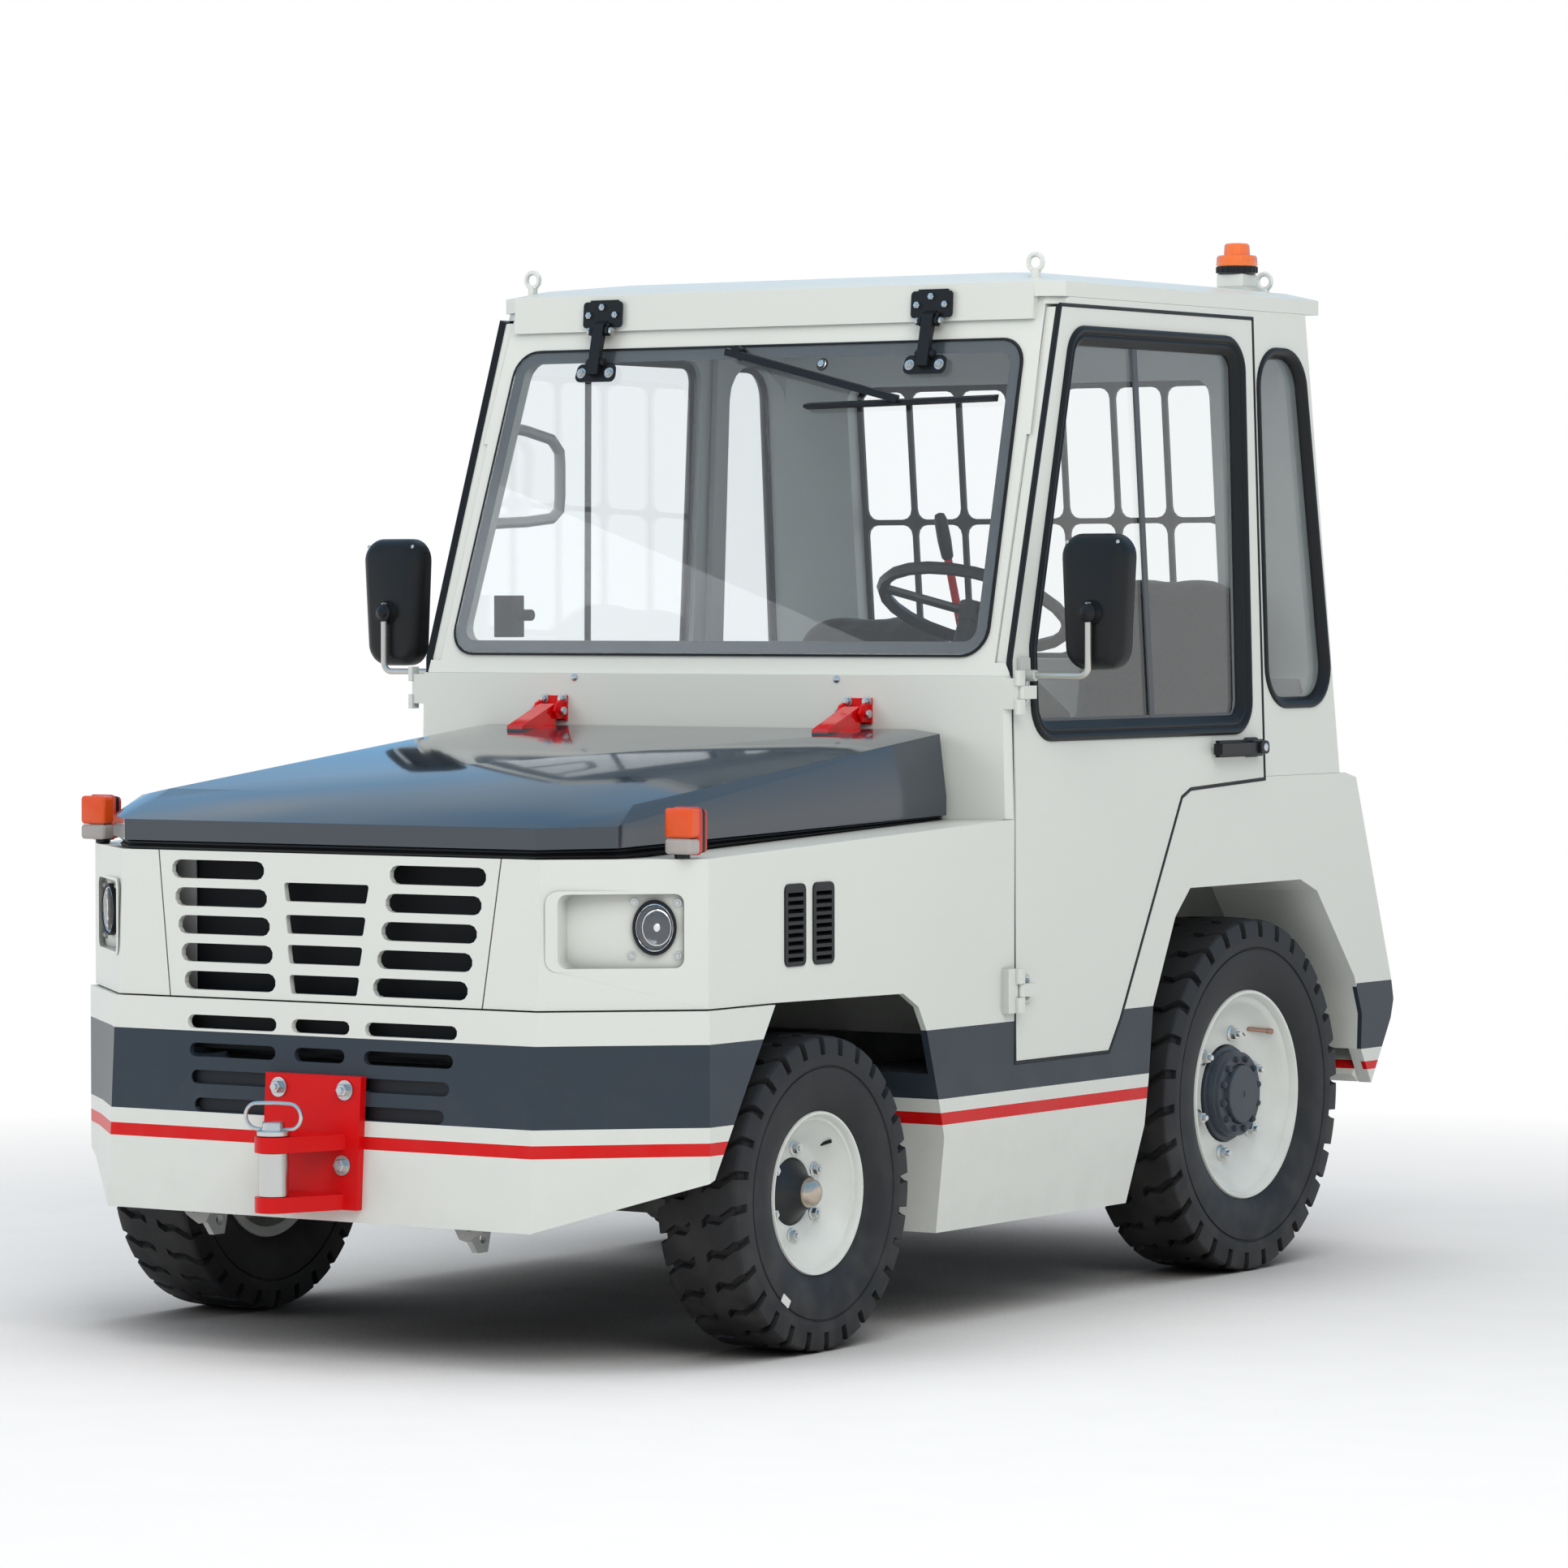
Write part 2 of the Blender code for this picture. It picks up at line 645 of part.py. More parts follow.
def ribbon(points, thickness):
    """Closed outline of an open line of points thickened to its left."""
    offset = []
    for i, point in enumerate(points):
        here = Vector(point)
        before = here - Vector(points[i - 1]) if i else Vector(points[1]) - here
        ahead = Vector(points[i + 1]) - here if i + 1 < len(points) else before
        normals = [Vector((-d.y, d.x)).normalized() for d in (before, ahead)]
        mean = (normals[0] + normals[1]).normalized()
        offset.append(tuple(here + mean * thickness / mean.dot(normals[0])))
    return list(points) + offset[::-1]


def stadium(x_inner, x_outer, z, height, steps=5):
    """Slot outline with round ends."""
    radius = height / 2
    points = []
    for centre, start in ((x_outer - radius, -math.pi / 2), (x_inner + radius, math.pi / 2)):
        for k in range(steps + 1):
            angle = start + math.pi * k / steps
            points.append((centre + radius * math.cos(angle), z + radius * math.sin(angle)))
    return points


# Nose: grille door, apron and wings

def seam_x(z):
    """Half width of the grille door at a height."""
    share = (z - CREASE_Z) / (WING_Z_FRONT - CREASE_Z)
    return lerp((GRILLE_FOOT_HALF, GRILLE_TOP_HALF), share)


def build_grille():
    foot = CREASE_Z + SEAM
    rings = []
    for z in (foot, WING_Z_FRONT):
        half = seam_x(z)
        front = y_at(nose_s(z))
        rings.append(
            [(-half, front, z), (half, front, z), (half, front + SHEET, z), (-half, front + SHEET, z)]
        )
    grille = add_part("grille_panel", loft(*rings), WHITE_PAINT)
    slots = []
    for row in range(SIDE_SLOT_ROWS):
        share = row / (SIDE_SLOT_ROWS - 1)
        z = SIDE_SLOT_TOP_Z - SIDE_SLOT_PITCH * row
        outline = stadium(lerp(SIDE_SLOT_INNER, share), lerp(SIDE_SLOT_OUTER, share), z, SLOT_HEIGHT)
        slots.append(prism_y(outline, -0.05, 0.05))
        slots.append(mirror_x(prism_y(outline, -0.05, 0.05)))
    for row, z in enumerate(CENTRE_SLOT_Z):
        half = lerp(CENTRE_SLOT_HALF, row / (len(CENTRE_SLOT_Z) - 1))
        low = z - SLOT_HEIGHT / 2
        high = z + SLOT_HEIGHT / 2
        corners = [(-half + 0.006, low), (half - 0.006, low), (half, high), (-half, high)]
        slots.append(prism_y(rounded(corners, 0.005, 2), -0.05, 0.05))
    cut(grille, merged(*slots))


def apron_ring(z, front_shift, side_shift, rear):
    """Plan of the apron at one height: front, chamfer and side, open to the rear."""
    half = NOSE_HALF + 0.004 - side_shift
    side = HALF_WIDTH + BUMPER_PROUD - side_shift
    front = apron_s(z) + front_shift
    corner = CHAMFER_S - BUMPER_PROUD + front_shift * 0.6
    plan = [(half, front), (side, corner), (side, rear), (-side, rear), (-side, corner), (-half, front)]
    return [(x, y_at(s), z) for x, s in plan]


def build_bumper():
    top = CREASE_Z
    foot = BUMPER_BOTTOM_Z
    rear = BUMPER_ARCH_S[1] + 0.05
    bumper = add_part(
        "front_bumper", loft(apron_ring(foot, 0, 0, rear), apron_ring(top, 0, 0, rear)), WHITE_PAINT
    )
    hollow = loft(
        apron_ring(foot - 0.1, SHEET, SHEET, rear + 0.1),
        apron_ring(top + 0.1, SHEET, SHEET, rear + 0.1),
    )
    slant = BUMPER_ARCH_S
    arch = prism_x(
        [
            (slant[0], BUMPER_SIDE_Z), (slant[1], CREASE_Z + 0.001), (1.0, CREASE_Z + 0.001), (1.0, 0.1),
            (slant[0], 0.1)
        ],
        -1, 1,
    )
    toe = apron_s(foot)
    sweep = prism_x(
        [
            (toe, foot), (CHAMFER_S, BUMPER_SIDE_Z), (1.0, 0.60), (1.0, 0.0), (toe - 0.1, 0.0),
            (toe - 0.1, foot)
        ],
        -1, 1,
    )
    slots = []
    for z, inner, margin, middle in APRON_SLOTS:
        outline = stadium(inner, NOSE_HALF - margin, z, APRON_SLOT_HEIGHT)
        slots.append(prism_y(outline, -0.1, 0.05))
        slots.append(mirror_x(prism_y(outline, -0.1, 0.05)))
        if middle:
            slots.append(prism_y(stadium(-middle, middle, z, APRON_SLOT_HEIGHT), -0.1, 0.05))
    cut(bumper, hollow, arch, sweep, merged(*slots))


def wing_ring(z, inner):
    """Plan of a left wing's skin at one height."""
    lean = nose_s(z)
    seam = seam_x(z) + SEAM
    skin = SHEET
    outer_line = [(seam, lean), (NOSE_HALF, lean), (HALF_WIDTH, CHAMFER_S), (HALF_WIDTH, WING_REAR_S)]
    inner_line = [
        (HALF_WIDTH - skin, WING_REAR_S), (HALF_WIDTH - skin, CHAMFER_S + 0.005),
        (NOSE_HALF - 0.005, lean + skin), (seam, lean + skin),
    ]
    plan = outer_line + inner_line if inner else outer_line
    return [(x, y_at(s), z) for x, s in plan]


def pocket_plan(margin, shrink=0.0):
    """Plan of the lamp pocket, grown on all sides by a margin, its two ends moved in by shrink."""
    inner = Vector(POCKET_INNER)
    outer = Vector(POCKET_OUTER)
    along = (outer - inner).normalized()
    outward = Vector((along.y, -along.x))
    back_inner = inner + Vector((0, POCKET_DEPTH[0]))
    back_outer = outer + Vector((POCKET_WALL, POCKET_DEPTH[1] + POCKET_WALL))
    floor = back_outer - back_inner
    front_move = along * (shrink - margin)
    back_move = floor * (shrink * along.x / floor.x) - along * margin
    reach = 0.03 if margin == 0 else 0.0
    return [
        tuple(inner + front_move + outward * reach),
        tuple(outer - front_move + outward * reach),
        tuple(back_outer - back_move + Vector((0, margin))),
        tuple(back_inner + back_move + Vector((0, margin))),
    ]


def pocket_solid(margin):
    """Lamp pocket with rounded corners, or the pan round it when grown by a margin."""
    low, high = POCKET_Z[0] - margin, POCKET_Z[1] + margin
    radius = POCKET_RADIUS + margin
    steps = 4
    levels = []
    for k in range(steps + 1):
        angle = math.pi / 2 * k / steps
        levels.append((radius * (1 - math.cos(angle)), radius * (1 - math.sin(angle))))
    below = [(low + rise, shrink) for shrink, rise in reversed(levels)]
    above = [(high - rise, shrink) for shrink, rise in levels]
    return loft(*[
        [(x, y_at(s), z) for x, s in pocket_plan(margin, shrink)] for z, shrink in below + above
    ])


def flange_ring(z):
    """Plan of the return flange that the grille door closes against."""
    edge = seam_x(z)
    back = nose_s(z) + SHEET
    plan = [
        (edge - FLANGE_REACH, back + SEAT), (edge + SEAM + 0.002, back + SEAT),
        (edge + SEAM + 0.002, back - 0.004),
        (edge + FLANGE_REACH, back - 0.004), (edge + FLANGE_REACH, back + 0.006),
        (edge - FLANGE_REACH, back + 0.006),
    ]
    return [(x, y_at(s), z) for x, s in plan]


def build_wing(side, name):
    low = STEP_TOP_Z
    high = WING_Z_REAR + 0.05
    wing = add_part(name, sided(loft(wing_ring(low, True), wing_ring(high, True)), side), WHITE_PAINT)
    seam = seam_x(WING_Z_FRONT) + SEAM
    lean = nose_s(WING_Z_FRONT)
    ledge = add_tool(f"{name}.ledge", sided(prism_x(
        [
            (-0.1, WING_Z_FRONT - SHEET), (CHAMFER_S, WING_Z_FRONT - SHEET),
            (COWL_S - SEAT, wing_top_z(COWL_S) - SHEET), (COWL_S - SEAT, high), (-0.1, high),
        ],
        0.2, HALF_WIDTH + 0.2,
    ), side))
    combine(ledge, "INTERSECT", sided(prism_z(
        [
            (seam + 0.001, lean + 0.002), (NOSE_HALF, lean + 0.002),
            (HALF_WIDTH - 0.003, CHAMFER_S + 0.001),
            (HALF_WIDTH - 0.003, 1.5), (LEDGE_HALF, 1.5), (LEDGE_HALF, 0.125), (NOSE_HALF - 0.029, 0.035),
            (seam + 0.001, 0.035),
        ],
        0.7, 1.1,
    ), side))
    pan = pocket_solid(POCKET_WALL)
    above = prism_x(
        [
            (-0.2, WING_Z_FRONT), (CHAMFER_S, WING_Z_FRONT),
            (WING_REAR_S + 0.1, wing_top_z(WING_REAR_S + 0.1)),
            (WING_REAR_S + 0.1, 1.2), (-0.2, 1.2),
        ],
        -1, 1,
    )
    arch = prism_x(
        [
            (-0.2, 0.4), (-0.2, CREASE_Z + SEAM), (BUMPER_ARCH_S[1] + 0.001, CREASE_Z + SEAM),
            (STEP_FRONT[0][0] - 0.081, 0.634), (STEP_FRONT[0][0] - 0.029, 0.607),
            (STEP_FRONT[0][0], STEP_TOP_Z - 0.001), (STEP_FRONT[0][0], 0.4),
        ],
        -1, 1,
    )
    pocket = pocket_solid(0.0)
    pivot = (DOOR_PIVOT_X, DOOR_PIVOT_S)
    fuse(wing, sided(hinge_seat(pivot, DOOR_HINGE_Z[0]), side))
    for shift in (-1, 1):
        fuse(wing, sided(hinge_knuckle(pivot, DOOR_HINGE_Z[0] + shift * 0.0275, 0.0145), side))
    fuse(wing, sided(loft(flange_ring(CREASE_Z + SEAM + 0.004), flange_ring(WING_Z_FRONT - 0.020)), side))
    join_tool(wing, ledge)
    fuse(wing, sided(pan, side))
    vents = [
        prism_x(
            vent_outline(span, 0.0), HALF_WIDTH - SHEET - 0.01, HALF_WIDTH + 0.01
        ) for span in VENT_SPANS
    ]
    cut(wing, above, arch, sided(pocket, side), *(sided(vent, side) for vent in vents))


def vent_outline(span, shrink):
    """Outline of one louvre block as (station, height)."""
    s0, s1 = span[0] + shrink, span[1] - shrink
    z0, z1 = VENT_Z[0] + shrink, VENT_Z[1] - shrink
    return rounded([(s0, z0), (s1, z0), (s1, z1), (s0, z1)], VENT_RADIUS - shrink, 3)


def build_vent(side, name):
    """Two louvre blocks on the plate behind the wing's skin."""
    back = HALF_WIDTH - SHEET - SEAT
    s0, s1 = VENT_SPANS[0][0] - VENT_LAP, VENT_SPANS[-1][1] + VENT_LAP
    z0, z1 = VENT_Z[0] - VENT_LAP, VENT_Z[1] + VENT_LAP
    plate = rounded([(s0, z0), (s1, z0), (s1, z1), (s0, z1)], VENT_RADIUS + VENT_LAP, 3)
    vent = add_part(name, sided(prism_x(plate, back - VENT_BACK, back), side), BLACK_PLASTIC)
    face = HALF_WIDTH + VENT_PROUD
    for span in VENT_SPANS:
        fuse(vent, sided(prism_x(vent_outline(span, SEAT), back - 0.001, face), side))
    pitch = (VENT_Z[1] - VENT_Z[0] - 2 * VENT_EDGE) / VENT_ROWS
    slots = []
    for span in VENT_SPANS:
        for row in range(VENT_ROWS):
            z = VENT_Z[0] + VENT_EDGE + pitch * (row + 0.5) - (VENT_SLOT + VENT_RISE) / 2
            inside, outside = back - VENT_BACK - 0.002, face + 0.002
            profile = [
                (inside, z + VENT_RISE), (outside, z), (outside, z + VENT_SLOT),
                (inside, z + VENT_RISE + VENT_SLOT)
            ]
            slots.append(prism_y(profile, span[0] + VENT_EDGE, span[1] - VENT_EDGE))
    cut(vent, sided(merged(*slots), side))


def hinge_seat(pivot, z):
    """Strap that carries a door hinge's knuckles on the body side."""
    x, s = pivot
    return block((HALF_WIDTH - 0.005, x), (s - 0.045, s - 0.012), (z - 0.042, z + 0.042))


def hinge_knuckle(pivot, z, half):
    """Knuckle on the body with the web to its strap."""
    x, s = pivot
    outline = [
        (x - 0.004, s - 0.020), (x + 0.008, s - 0.020), (x + 0.008, s + 0.004), (x - 0.004, s + 0.004)
    ]
    return prism_z(rounded(outline, 0.003, 2), z - half, z + half)


def build_headlamp(side, name):
    """Round lamp standing on the floor of its pocket and looking forward."""
    plan = pocket_plan(0.0)
    back_outer = Vector(plan[2])
    back_inner = Vector(plan[3])
    share = (LAMP_X - back_inner.x) / (back_outer.x - back_inner.x)
    seat = back_inner.y + (back_outer.y - back_inner.y) * share
    slope = (back_outer.y - back_inner.y) / (back_outer.x - back_inner.x)
    shy = seat - slope * LAMP_RADIUS - SEAT
    profile = [
        (0, 0), (0, 0.6 * LAMP_RADIUS), (0.012, LAMP_RADIUS), (0.030, LAMP_RADIUS),
        (0.034, 0.92 * LAMP_RADIUS), (0.040, 0.5 * LAMP_RADIUS), (0.042, 0),
    ]
    body = spin(profile, (LAMP_X, y_at(shy), LAMP_Z), (0, -1, 0))
    lamp = add_part(name, sided(body, side), LAMP_GLASS, smooth=True)
    tail = [(LAMP_X - 0.020, shy - 0.004), (LAMP_X + 0.020, shy - 0.004)]
    floor = [seat + slope * (x - LAMP_X) - SEAT for x in (LAMP_X + 0.020, LAMP_X - 0.020)]
    wedge = tail + [(LAMP_X + 0.020, floor[0]), (LAMP_X - 0.020, floor[1])]
    fuse(lamp, sided(prism_z(wedge, LAMP_Z - 0.020, LAMP_Z + 0.020), side))


def build_turn_signal(side, name):
    """Lamp box on a short foot at the wing's front corner."""
    x0, x1 = SIGNAL_X
    z0, z1 = SIGNAL_Z
    outline = rounded([(x0, z0), (x1, z0), (x1, z1), (x0, z1)], 0.008, 3)
    lamp = add_part(name, sided(prism_y(outline, *SIGNAL_S), side), AMBER_LENS)
    foot = block(
        (x0 + 0.014, x1 - 0.014), (SIGNAL_S[0] + 0.018, SIGNAL_S[1] - 0.013),
        (WING_Z_FRONT + SEAT, z0 + 0.007)
    )
    fuse(lamp, sided(foot, side))


# Hood

def hood_shape(shrink, drop):
    """Faceted hood; shrink moves its walls and top inwards, drop lowers its foot."""
    def foot_z(s):
        return lerp(HOOD_FOOT_Z, (s - HOOD_FRONT_S) / (HOOD_REAR_S - HOOD_FRONT_S))

    front = HOOD_FRONT_S + shrink
    rear = HOOD_REAR_S - shrink
    chamfer = HOOD_CHAMFER_S + shrink * 0.6
    points = []
    for x, s in (
        (HOOD_NOSE_HALF - shrink * 0.4, front), (HOOD_HALF - shrink, chamfer), (HOOD_HALF - shrink, rear)
    ):
        points.append((x, s, foot_z(s) - drop))
        points.append((x, s, foot_z(s) + HOOD_BAND - shrink * 0.6))
    ridge = HOOD_RIDGE_HALF - shrink
    points.append((ridge, HOOD_RIDGE_S + shrink * 0.6, HOOD_RIDGE_Z[0] - shrink))
    points.append((ridge, rear, HOOD_RIDGE_Z[1] - shrink))
    points.append((HOOD_CROWN_HALF[0], HOOD_CROWN_S + shrink * 0.6, HOOD_CROWN_Z[0] - shrink))
    points.append((HOOD_CROWN_HALF[1], rear, HOOD_CROWN_Z[1] - shrink))
    bm = bmesh.new()
    verts = [bm.verts.new((x * side, y_at(s), z)) for x, s, z in points for side in (-1, 1)]
    result = bmesh.ops.convex_hull(bm, input=verts)
    spare = [item for item in result["geom_interior"] if isinstance(item, bmesh.types.BMVert)]
    bmesh.ops.delete(bm, geom=spare, context="VERTS")
    bmesh.ops.dissolve_limit(bm, angle_limit=math.radians(0.2), verts=bm.verts, edges=bm.edges)
    bmesh.ops.recalc_face_normals(bm, faces=bm.faces)
    return bm


def hood_arm(x):
    """Hinge arm on the hood's rear edge, reaching back to the pivot."""
    eye = 0.014
    outline = [
        (HOOD_PIVOT_S - 0.115, hood_top_z(HOOD_PIVOT_S - 0.115) - 0.004),
        (HOOD_REAR_S - 0.004, hood_top_z(HOOD_REAR_S) - 0.004),
        (HOOD_PIVOT_S + 0.004, HOOD_PIVOT_Z - eye),
        (HOOD_PIVOT_S + eye, HOOD_PIVOT_Z - 0.004),
        (HOOD_PIVOT_S + 0.008, HOOD_PIVOT_Z + 0.011),
        (HOOD_PIVOT_S - 0.006, HOOD_PIVOT_Z + eye),
        (HOOD_PIVOT_S - 0.115, hood_top_z(HOOD_PIVOT_S - 0.115) + 0.010),
    ]
    half = HOOD_HINGE_HALF - 0.009
    return prism_x(outline, x - half, x + half)


def build_hood():
    pivot = (0, y_at(HOOD_PIVOT_S), HOOD_PIVOT_Z)
    hood = add_part("hood", hood_shape(0, 0), SLATE_PAINT)
    cut(hood, hood_shape(HOOD_SHELL, 0.06))
    bores = []
    for x in (-HOOD_HINGE_X, HOOD_HINGE_X):
        fuse(hood, hood_arm(x))
        bores.append(
            rod(
                (x - 0.05, pivot[1], pivot[2]), (x + 0.05, pivot[1], pivot[2]),
                HOOD_PIN_RADIUS + HITCH_BORE_GAP, 12
            )
        )
    cut(hood, merged(*bores))
    set_origin(hood, pivot)


def set_origin(part, pivot):
    """Move a part's origin to a world point, with the shape where it was."""
    part.data.transform(Matrix.Translation(-Vector(pivot)))
    part.location = pivot


def build_hood_hinge(side, name):
    """Fixed half of a hood hinge: foot on the cowl, two ears and the pin."""
    x = HOOD_HINGE_X * side
    half = HOOD_HINGE_HALF
    foot = block(
        (x - half - 0.004, x + half + 0.004), (COWL_S - 0.0065, COWL_S - SEAT),
        (HOOD_PIVOT_Z - 0.020, HOOD_PIVOT_Z + 0.030)
    )
    hinge = add_part(name, foot, RED_PAINT)
    for ear in (-1, 1):
        outline = [
            (COWL_S - 0.004, HOOD_PIVOT_Z - 0.016), (COWL_S - 0.004, HOOD_PIVOT_Z + 0.026),
            (HOOD_PIVOT_S - 0.008, HOOD_PIVOT_Z + 0.016),
            (HOOD_PIVOT_S - 0.018, HOOD_PIVOT_Z), (HOOD_PIVOT_S - 0.008, HOOD_PIVOT_Z - 0.016),
        ]
        centre = x + ear * (half - 0.0035)
        fuse(hinge, prism_x(outline, centre - 0.0035, centre + 0.0035))
    ends = [(x + reach, y_at(HOOD_PIVOT_S), HOOD_PIVOT_Z) for reach in (-half - 0.006, half + 0.006)]
    fuse(hinge, rod(*ends, HOOD_PIN_RADIUS, 12))


# Cab

def build_cowl():
    """Front wall of the lower cab with the strips ahead of the doors."""
    inner = HALF_WIDTH - SHEET - 0.004
    back = COWL_S + CAB_WALL
    narrow = [
        (-inner, COWL_S), (inner, COWL_S), (inner, WING_REAR_S), (FLOOR_HALF, WING_REAR_S),
        (FLOOR_HALF, back),
        (-FLOOR_HALF, back), (-FLOOR_HALF, WING_REAR_S), (-inner, WING_REAR_S),
    ]
    cowl = add_part("cowl", prism_z(narrow, RAIL_Z[1] + SEAT, WING_Z_REAR + 0.02), WHITE_PAINT)
    rings = []
    for z in (WING_Z_REAR + SEAT, BELT_Z - SEAT):
        edge = side_x(max(z, 1.0))
        nose = edge - 0.010
        plan = [
            (-nose, COWL_S), (nose, COWL_S), (edge, COWL_S + 0.010), (edge, WING_REAR_S),
            (FLOOR_HALF - 0.006, WING_REAR_S),
            (FLOOR_HALF - 0.006, back), (-FLOOR_HALF + 0.006, back), (-FLOOR_HALF + 0.006, WING_REAR_S),
            (-edge, WING_REAR_S), (-edge, COWL_S + 0.010),
        ]
        rings.append([(x, y_at(s), z) for x, s in plan])
    fuse(cowl, loft(*rings))
    pivot = (DOOR_PIVOT_X, DOOR_PIVOT_S)
    z = DOOR_HINGE_Z[1]
    for side in (1, -1):
        face = (COWL_S, DOOR_PIVOT_S - DOOR_BARREL - BARREL_GAP)
        seat = block((side_x(z) - 0.012, DOOR_PIVOT_X), face, (z - 0.042, BELT_Z - 0.004))
        fuse(cowl, sided(seat, side))
        for shift in (-1, 1):
            fuse(cowl, sided(hinge_knuckle(pivot, z + shift * 0.0275 - 0.010, 0.0145), side))


def cab_ring(z, wall):
    """Plan of the leaning cab at one height, moved inwards by a wall thickness."""
    front = screen_s(z) + wall
    share = (z - BELT_Z) / (ROOF_RIM_Z - BELT_Z)
    nose = lerp(CAB_FRONT_HALF, share) - wall * 0.9
    corner = front + lerp(CAB_CORNER_S, share)
    side = side_x(z) - wall
    rear = rear_s(z) - wall
    plan = [
        (nose, front), (side, corner), (side, rear - CAB_REAR_CORNER), (side - CAB_REAR_CORNER, rear),
        (CAB_REAR_CORNER - side, rear), (-side, rear - CAB_REAR_CORNER), (-side, corner), (-nose, front),
    ]
    return [(x, y_at(s), z) for x, s in plan]


def screen_outline(lap):
    low = SCREEN_FOOT_Z + lap
    high = SCREEN_TOP_Z - lap
    corners = [
        (-SCREEN_HALF[1] + lap, low), (SCREEN_HALF[1] - lap, low),
        (SCREEN_HALF[0] - lap, high), (-SCREEN_HALF[0] + lap, high),
    ]
    return rounded(corners, SCREEN_RADIUS - lap * 0.6)


def rear_window_outline(shrink):
    half = REAR_WINDOW_HALF - shrink
    low = REAR_WINDOW_Z[0] + shrink
    high = REAR_WINDOW_Z[1] - shrink
    return rounded([(-half, low), (half, low), (half, high), (-half, high)], REAR_WINDOW_RADIUS)


def build_cab_frame():
    frame = add_part("cab_frame", loft(cab_ring(DECK_Z, 0), cab_ring(CAB_TOP_Z, 0)), WHITE_PAINT)
    room = loft(cab_ring(DECK_Z - 0.1, CAB_WALL), cab_ring(CAB_TOP_Z + 0.1, CAB_WALL))
    under_belt = block((-1, 1), (COWL_S - 0.2, COWL_S + 0.088), (0.9, BELT_Z))
    screen = plate_on_screen(screen_outline(SCREEN_LAP), -0.1, 0.2)
    quarter = rounded(QUARTER, QUARTER_RADIUS)
    cut(frame, room, under_belt, screen)
    opening = inset(DOOR_OUTLINE, -DOOR_GAP)
    flange = inset(DOOR_OUTLINE, DOOR_LAP)
    for side in (1, -1):
        cut(frame, sided(plate_on_side(opening, DOOR_THICKNESS + 0.002, -0.1), side))
        cut(frame, sided(plate_on_side(flange, 0.2, -0.1), side))
        cut(frame, sided(plate_on_side(quarter, 0.2, -0.1), side))
    cut(frame, plate_on_rear(rear_window_outline(0), -0.1, 0.2))


def build_roof():
    def ring(z, shrink):
        plan = [
            (-ROOF_NOSE_HALF + shrink, ROOF_FRONT_S + shrink),
            (ROOF_NOSE_HALF - shrink, ROOF_FRONT_S + shrink),
            (ROOF_HALF - shrink, ROOF_FRONT_S + 0.036 + shrink), (ROOF_HALF - shrink, ROOF_REAR_S - shrink),
            (-ROOF_HALF + shrink, ROOF_REAR_S - shrink),
            (-ROOF_HALF + shrink, ROOF_FRONT_S + 0.036 + shrink),
        ]
        return [(x, y_at(s), z) for x, s in plan]

    slab = loft(
        ring(CAB_TOP_Z + SEAT, 0), ring(ROOF_RIM_Z, 0), ring(lerp((ROOF_RIM_Z, ROOF_CROWN_Z), 0.4), 0.05),
        ring(lerp((ROOF_RIM_Z, ROOF_CROWN_Z), 0.8), 0.17), ring(ROOF_CROWN_Z, 0.32),
    )
    roof = add_part("roof", slab, WHITE_PAINT)
    back = [(screen_s(z) - SEAT, z) for z in (VISOR_FOOT_Z, CAB_TOP_Z + SEAT)]
    visor = prism_x(
        [(ROOF_FRONT_S - 0.004, VISOR_FOOT_Z), back[0], back[1], (ROOF_FRONT_S + 0.04, ROOF_RIM_Z - 0.005),
         (ROOF_FRONT_S, ROOF_RIM_Z - 0.005)],
        -ROOF_NOSE_HALF + 0.002, ROOF_NOSE_HALF - 0.002,
    )
    fuse(roof, visor)
    x, s = BEACON_AT
    pad = BEACON_FOOT + 0.006
    fuse(roof, block((x - pad, x + pad), (s - pad, s + pad), (ROOF_RIM_Z - 0.005, BEACON_PAD_Z)))
    for x, s in EYE_BOLTS:
        for side in (-1, 1):
            foot = (x * side, y_at(s), ROOF_RIM_Z)
            top = ROOF_RIM_Z + 0.018
            ring_centre = (x * side, y_at(s), top + EYE_RADIUS + EYE_WIRE * 0.6)
            fuse(roof, rod(foot, (foot[0], foot[1], top + 0.004), 0.010, 10))
            fuse(roof, torus(ring_centre, (0.0, 1.0, 0.0), EYE_RADIUS, EYE_WIRE, 12, 6))


def build_glass():
    add_part("windshield", plate_on_screen(screen_outline(0), -GLASS - SEAT, -SEAT), TINTED_GLASS)
    quarter = inset(rounded(QUARTER, QUARTER_RADIUS), SEAT)
    for side, name in ((1, "quarter_glass_left"), (-1, "quarter_glass_right")):
        add_part(name, sided(plate_on_side(quarter, 0.026, 0.014), side), TINTED_GLASS)
    guard = add_part(
        "rear_window_guard",
        plate_on_rear(inset(rear_window_outline(0), SEAT), 0.004, 0.004 + GUARD_THICKNESS), BLACK_PLASTIC
    )
    half = REAR_WINDOW_HALF - GUARD_BAR
    pitch = (2 * half + GUARD_BAR) / GUARD_COLUMNS
    middle = sum(REAR_WINDOW_Z) / 2
    rows = (
        (REAR_WINDOW_Z[0] + GUARD_BAR, middle - GUARD_BAR / 2),
        (middle + GUARD_BAR / 2, REAR_WINDOW_Z[1] - GUARD_BAR),
    )
    holes = []
    for column in range(GUARD_COLUMNS):
        left = -half + column * pitch
        right = left + pitch - GUARD_BAR
        for low, high in rows:
            outline = rounded([(left, low), (right, low), (right, high), (left, high)], 0.022, 3)
            holes.append(plate_on_rear(outline, -0.1, 0.1))
    cut(guard, merged(*holes))


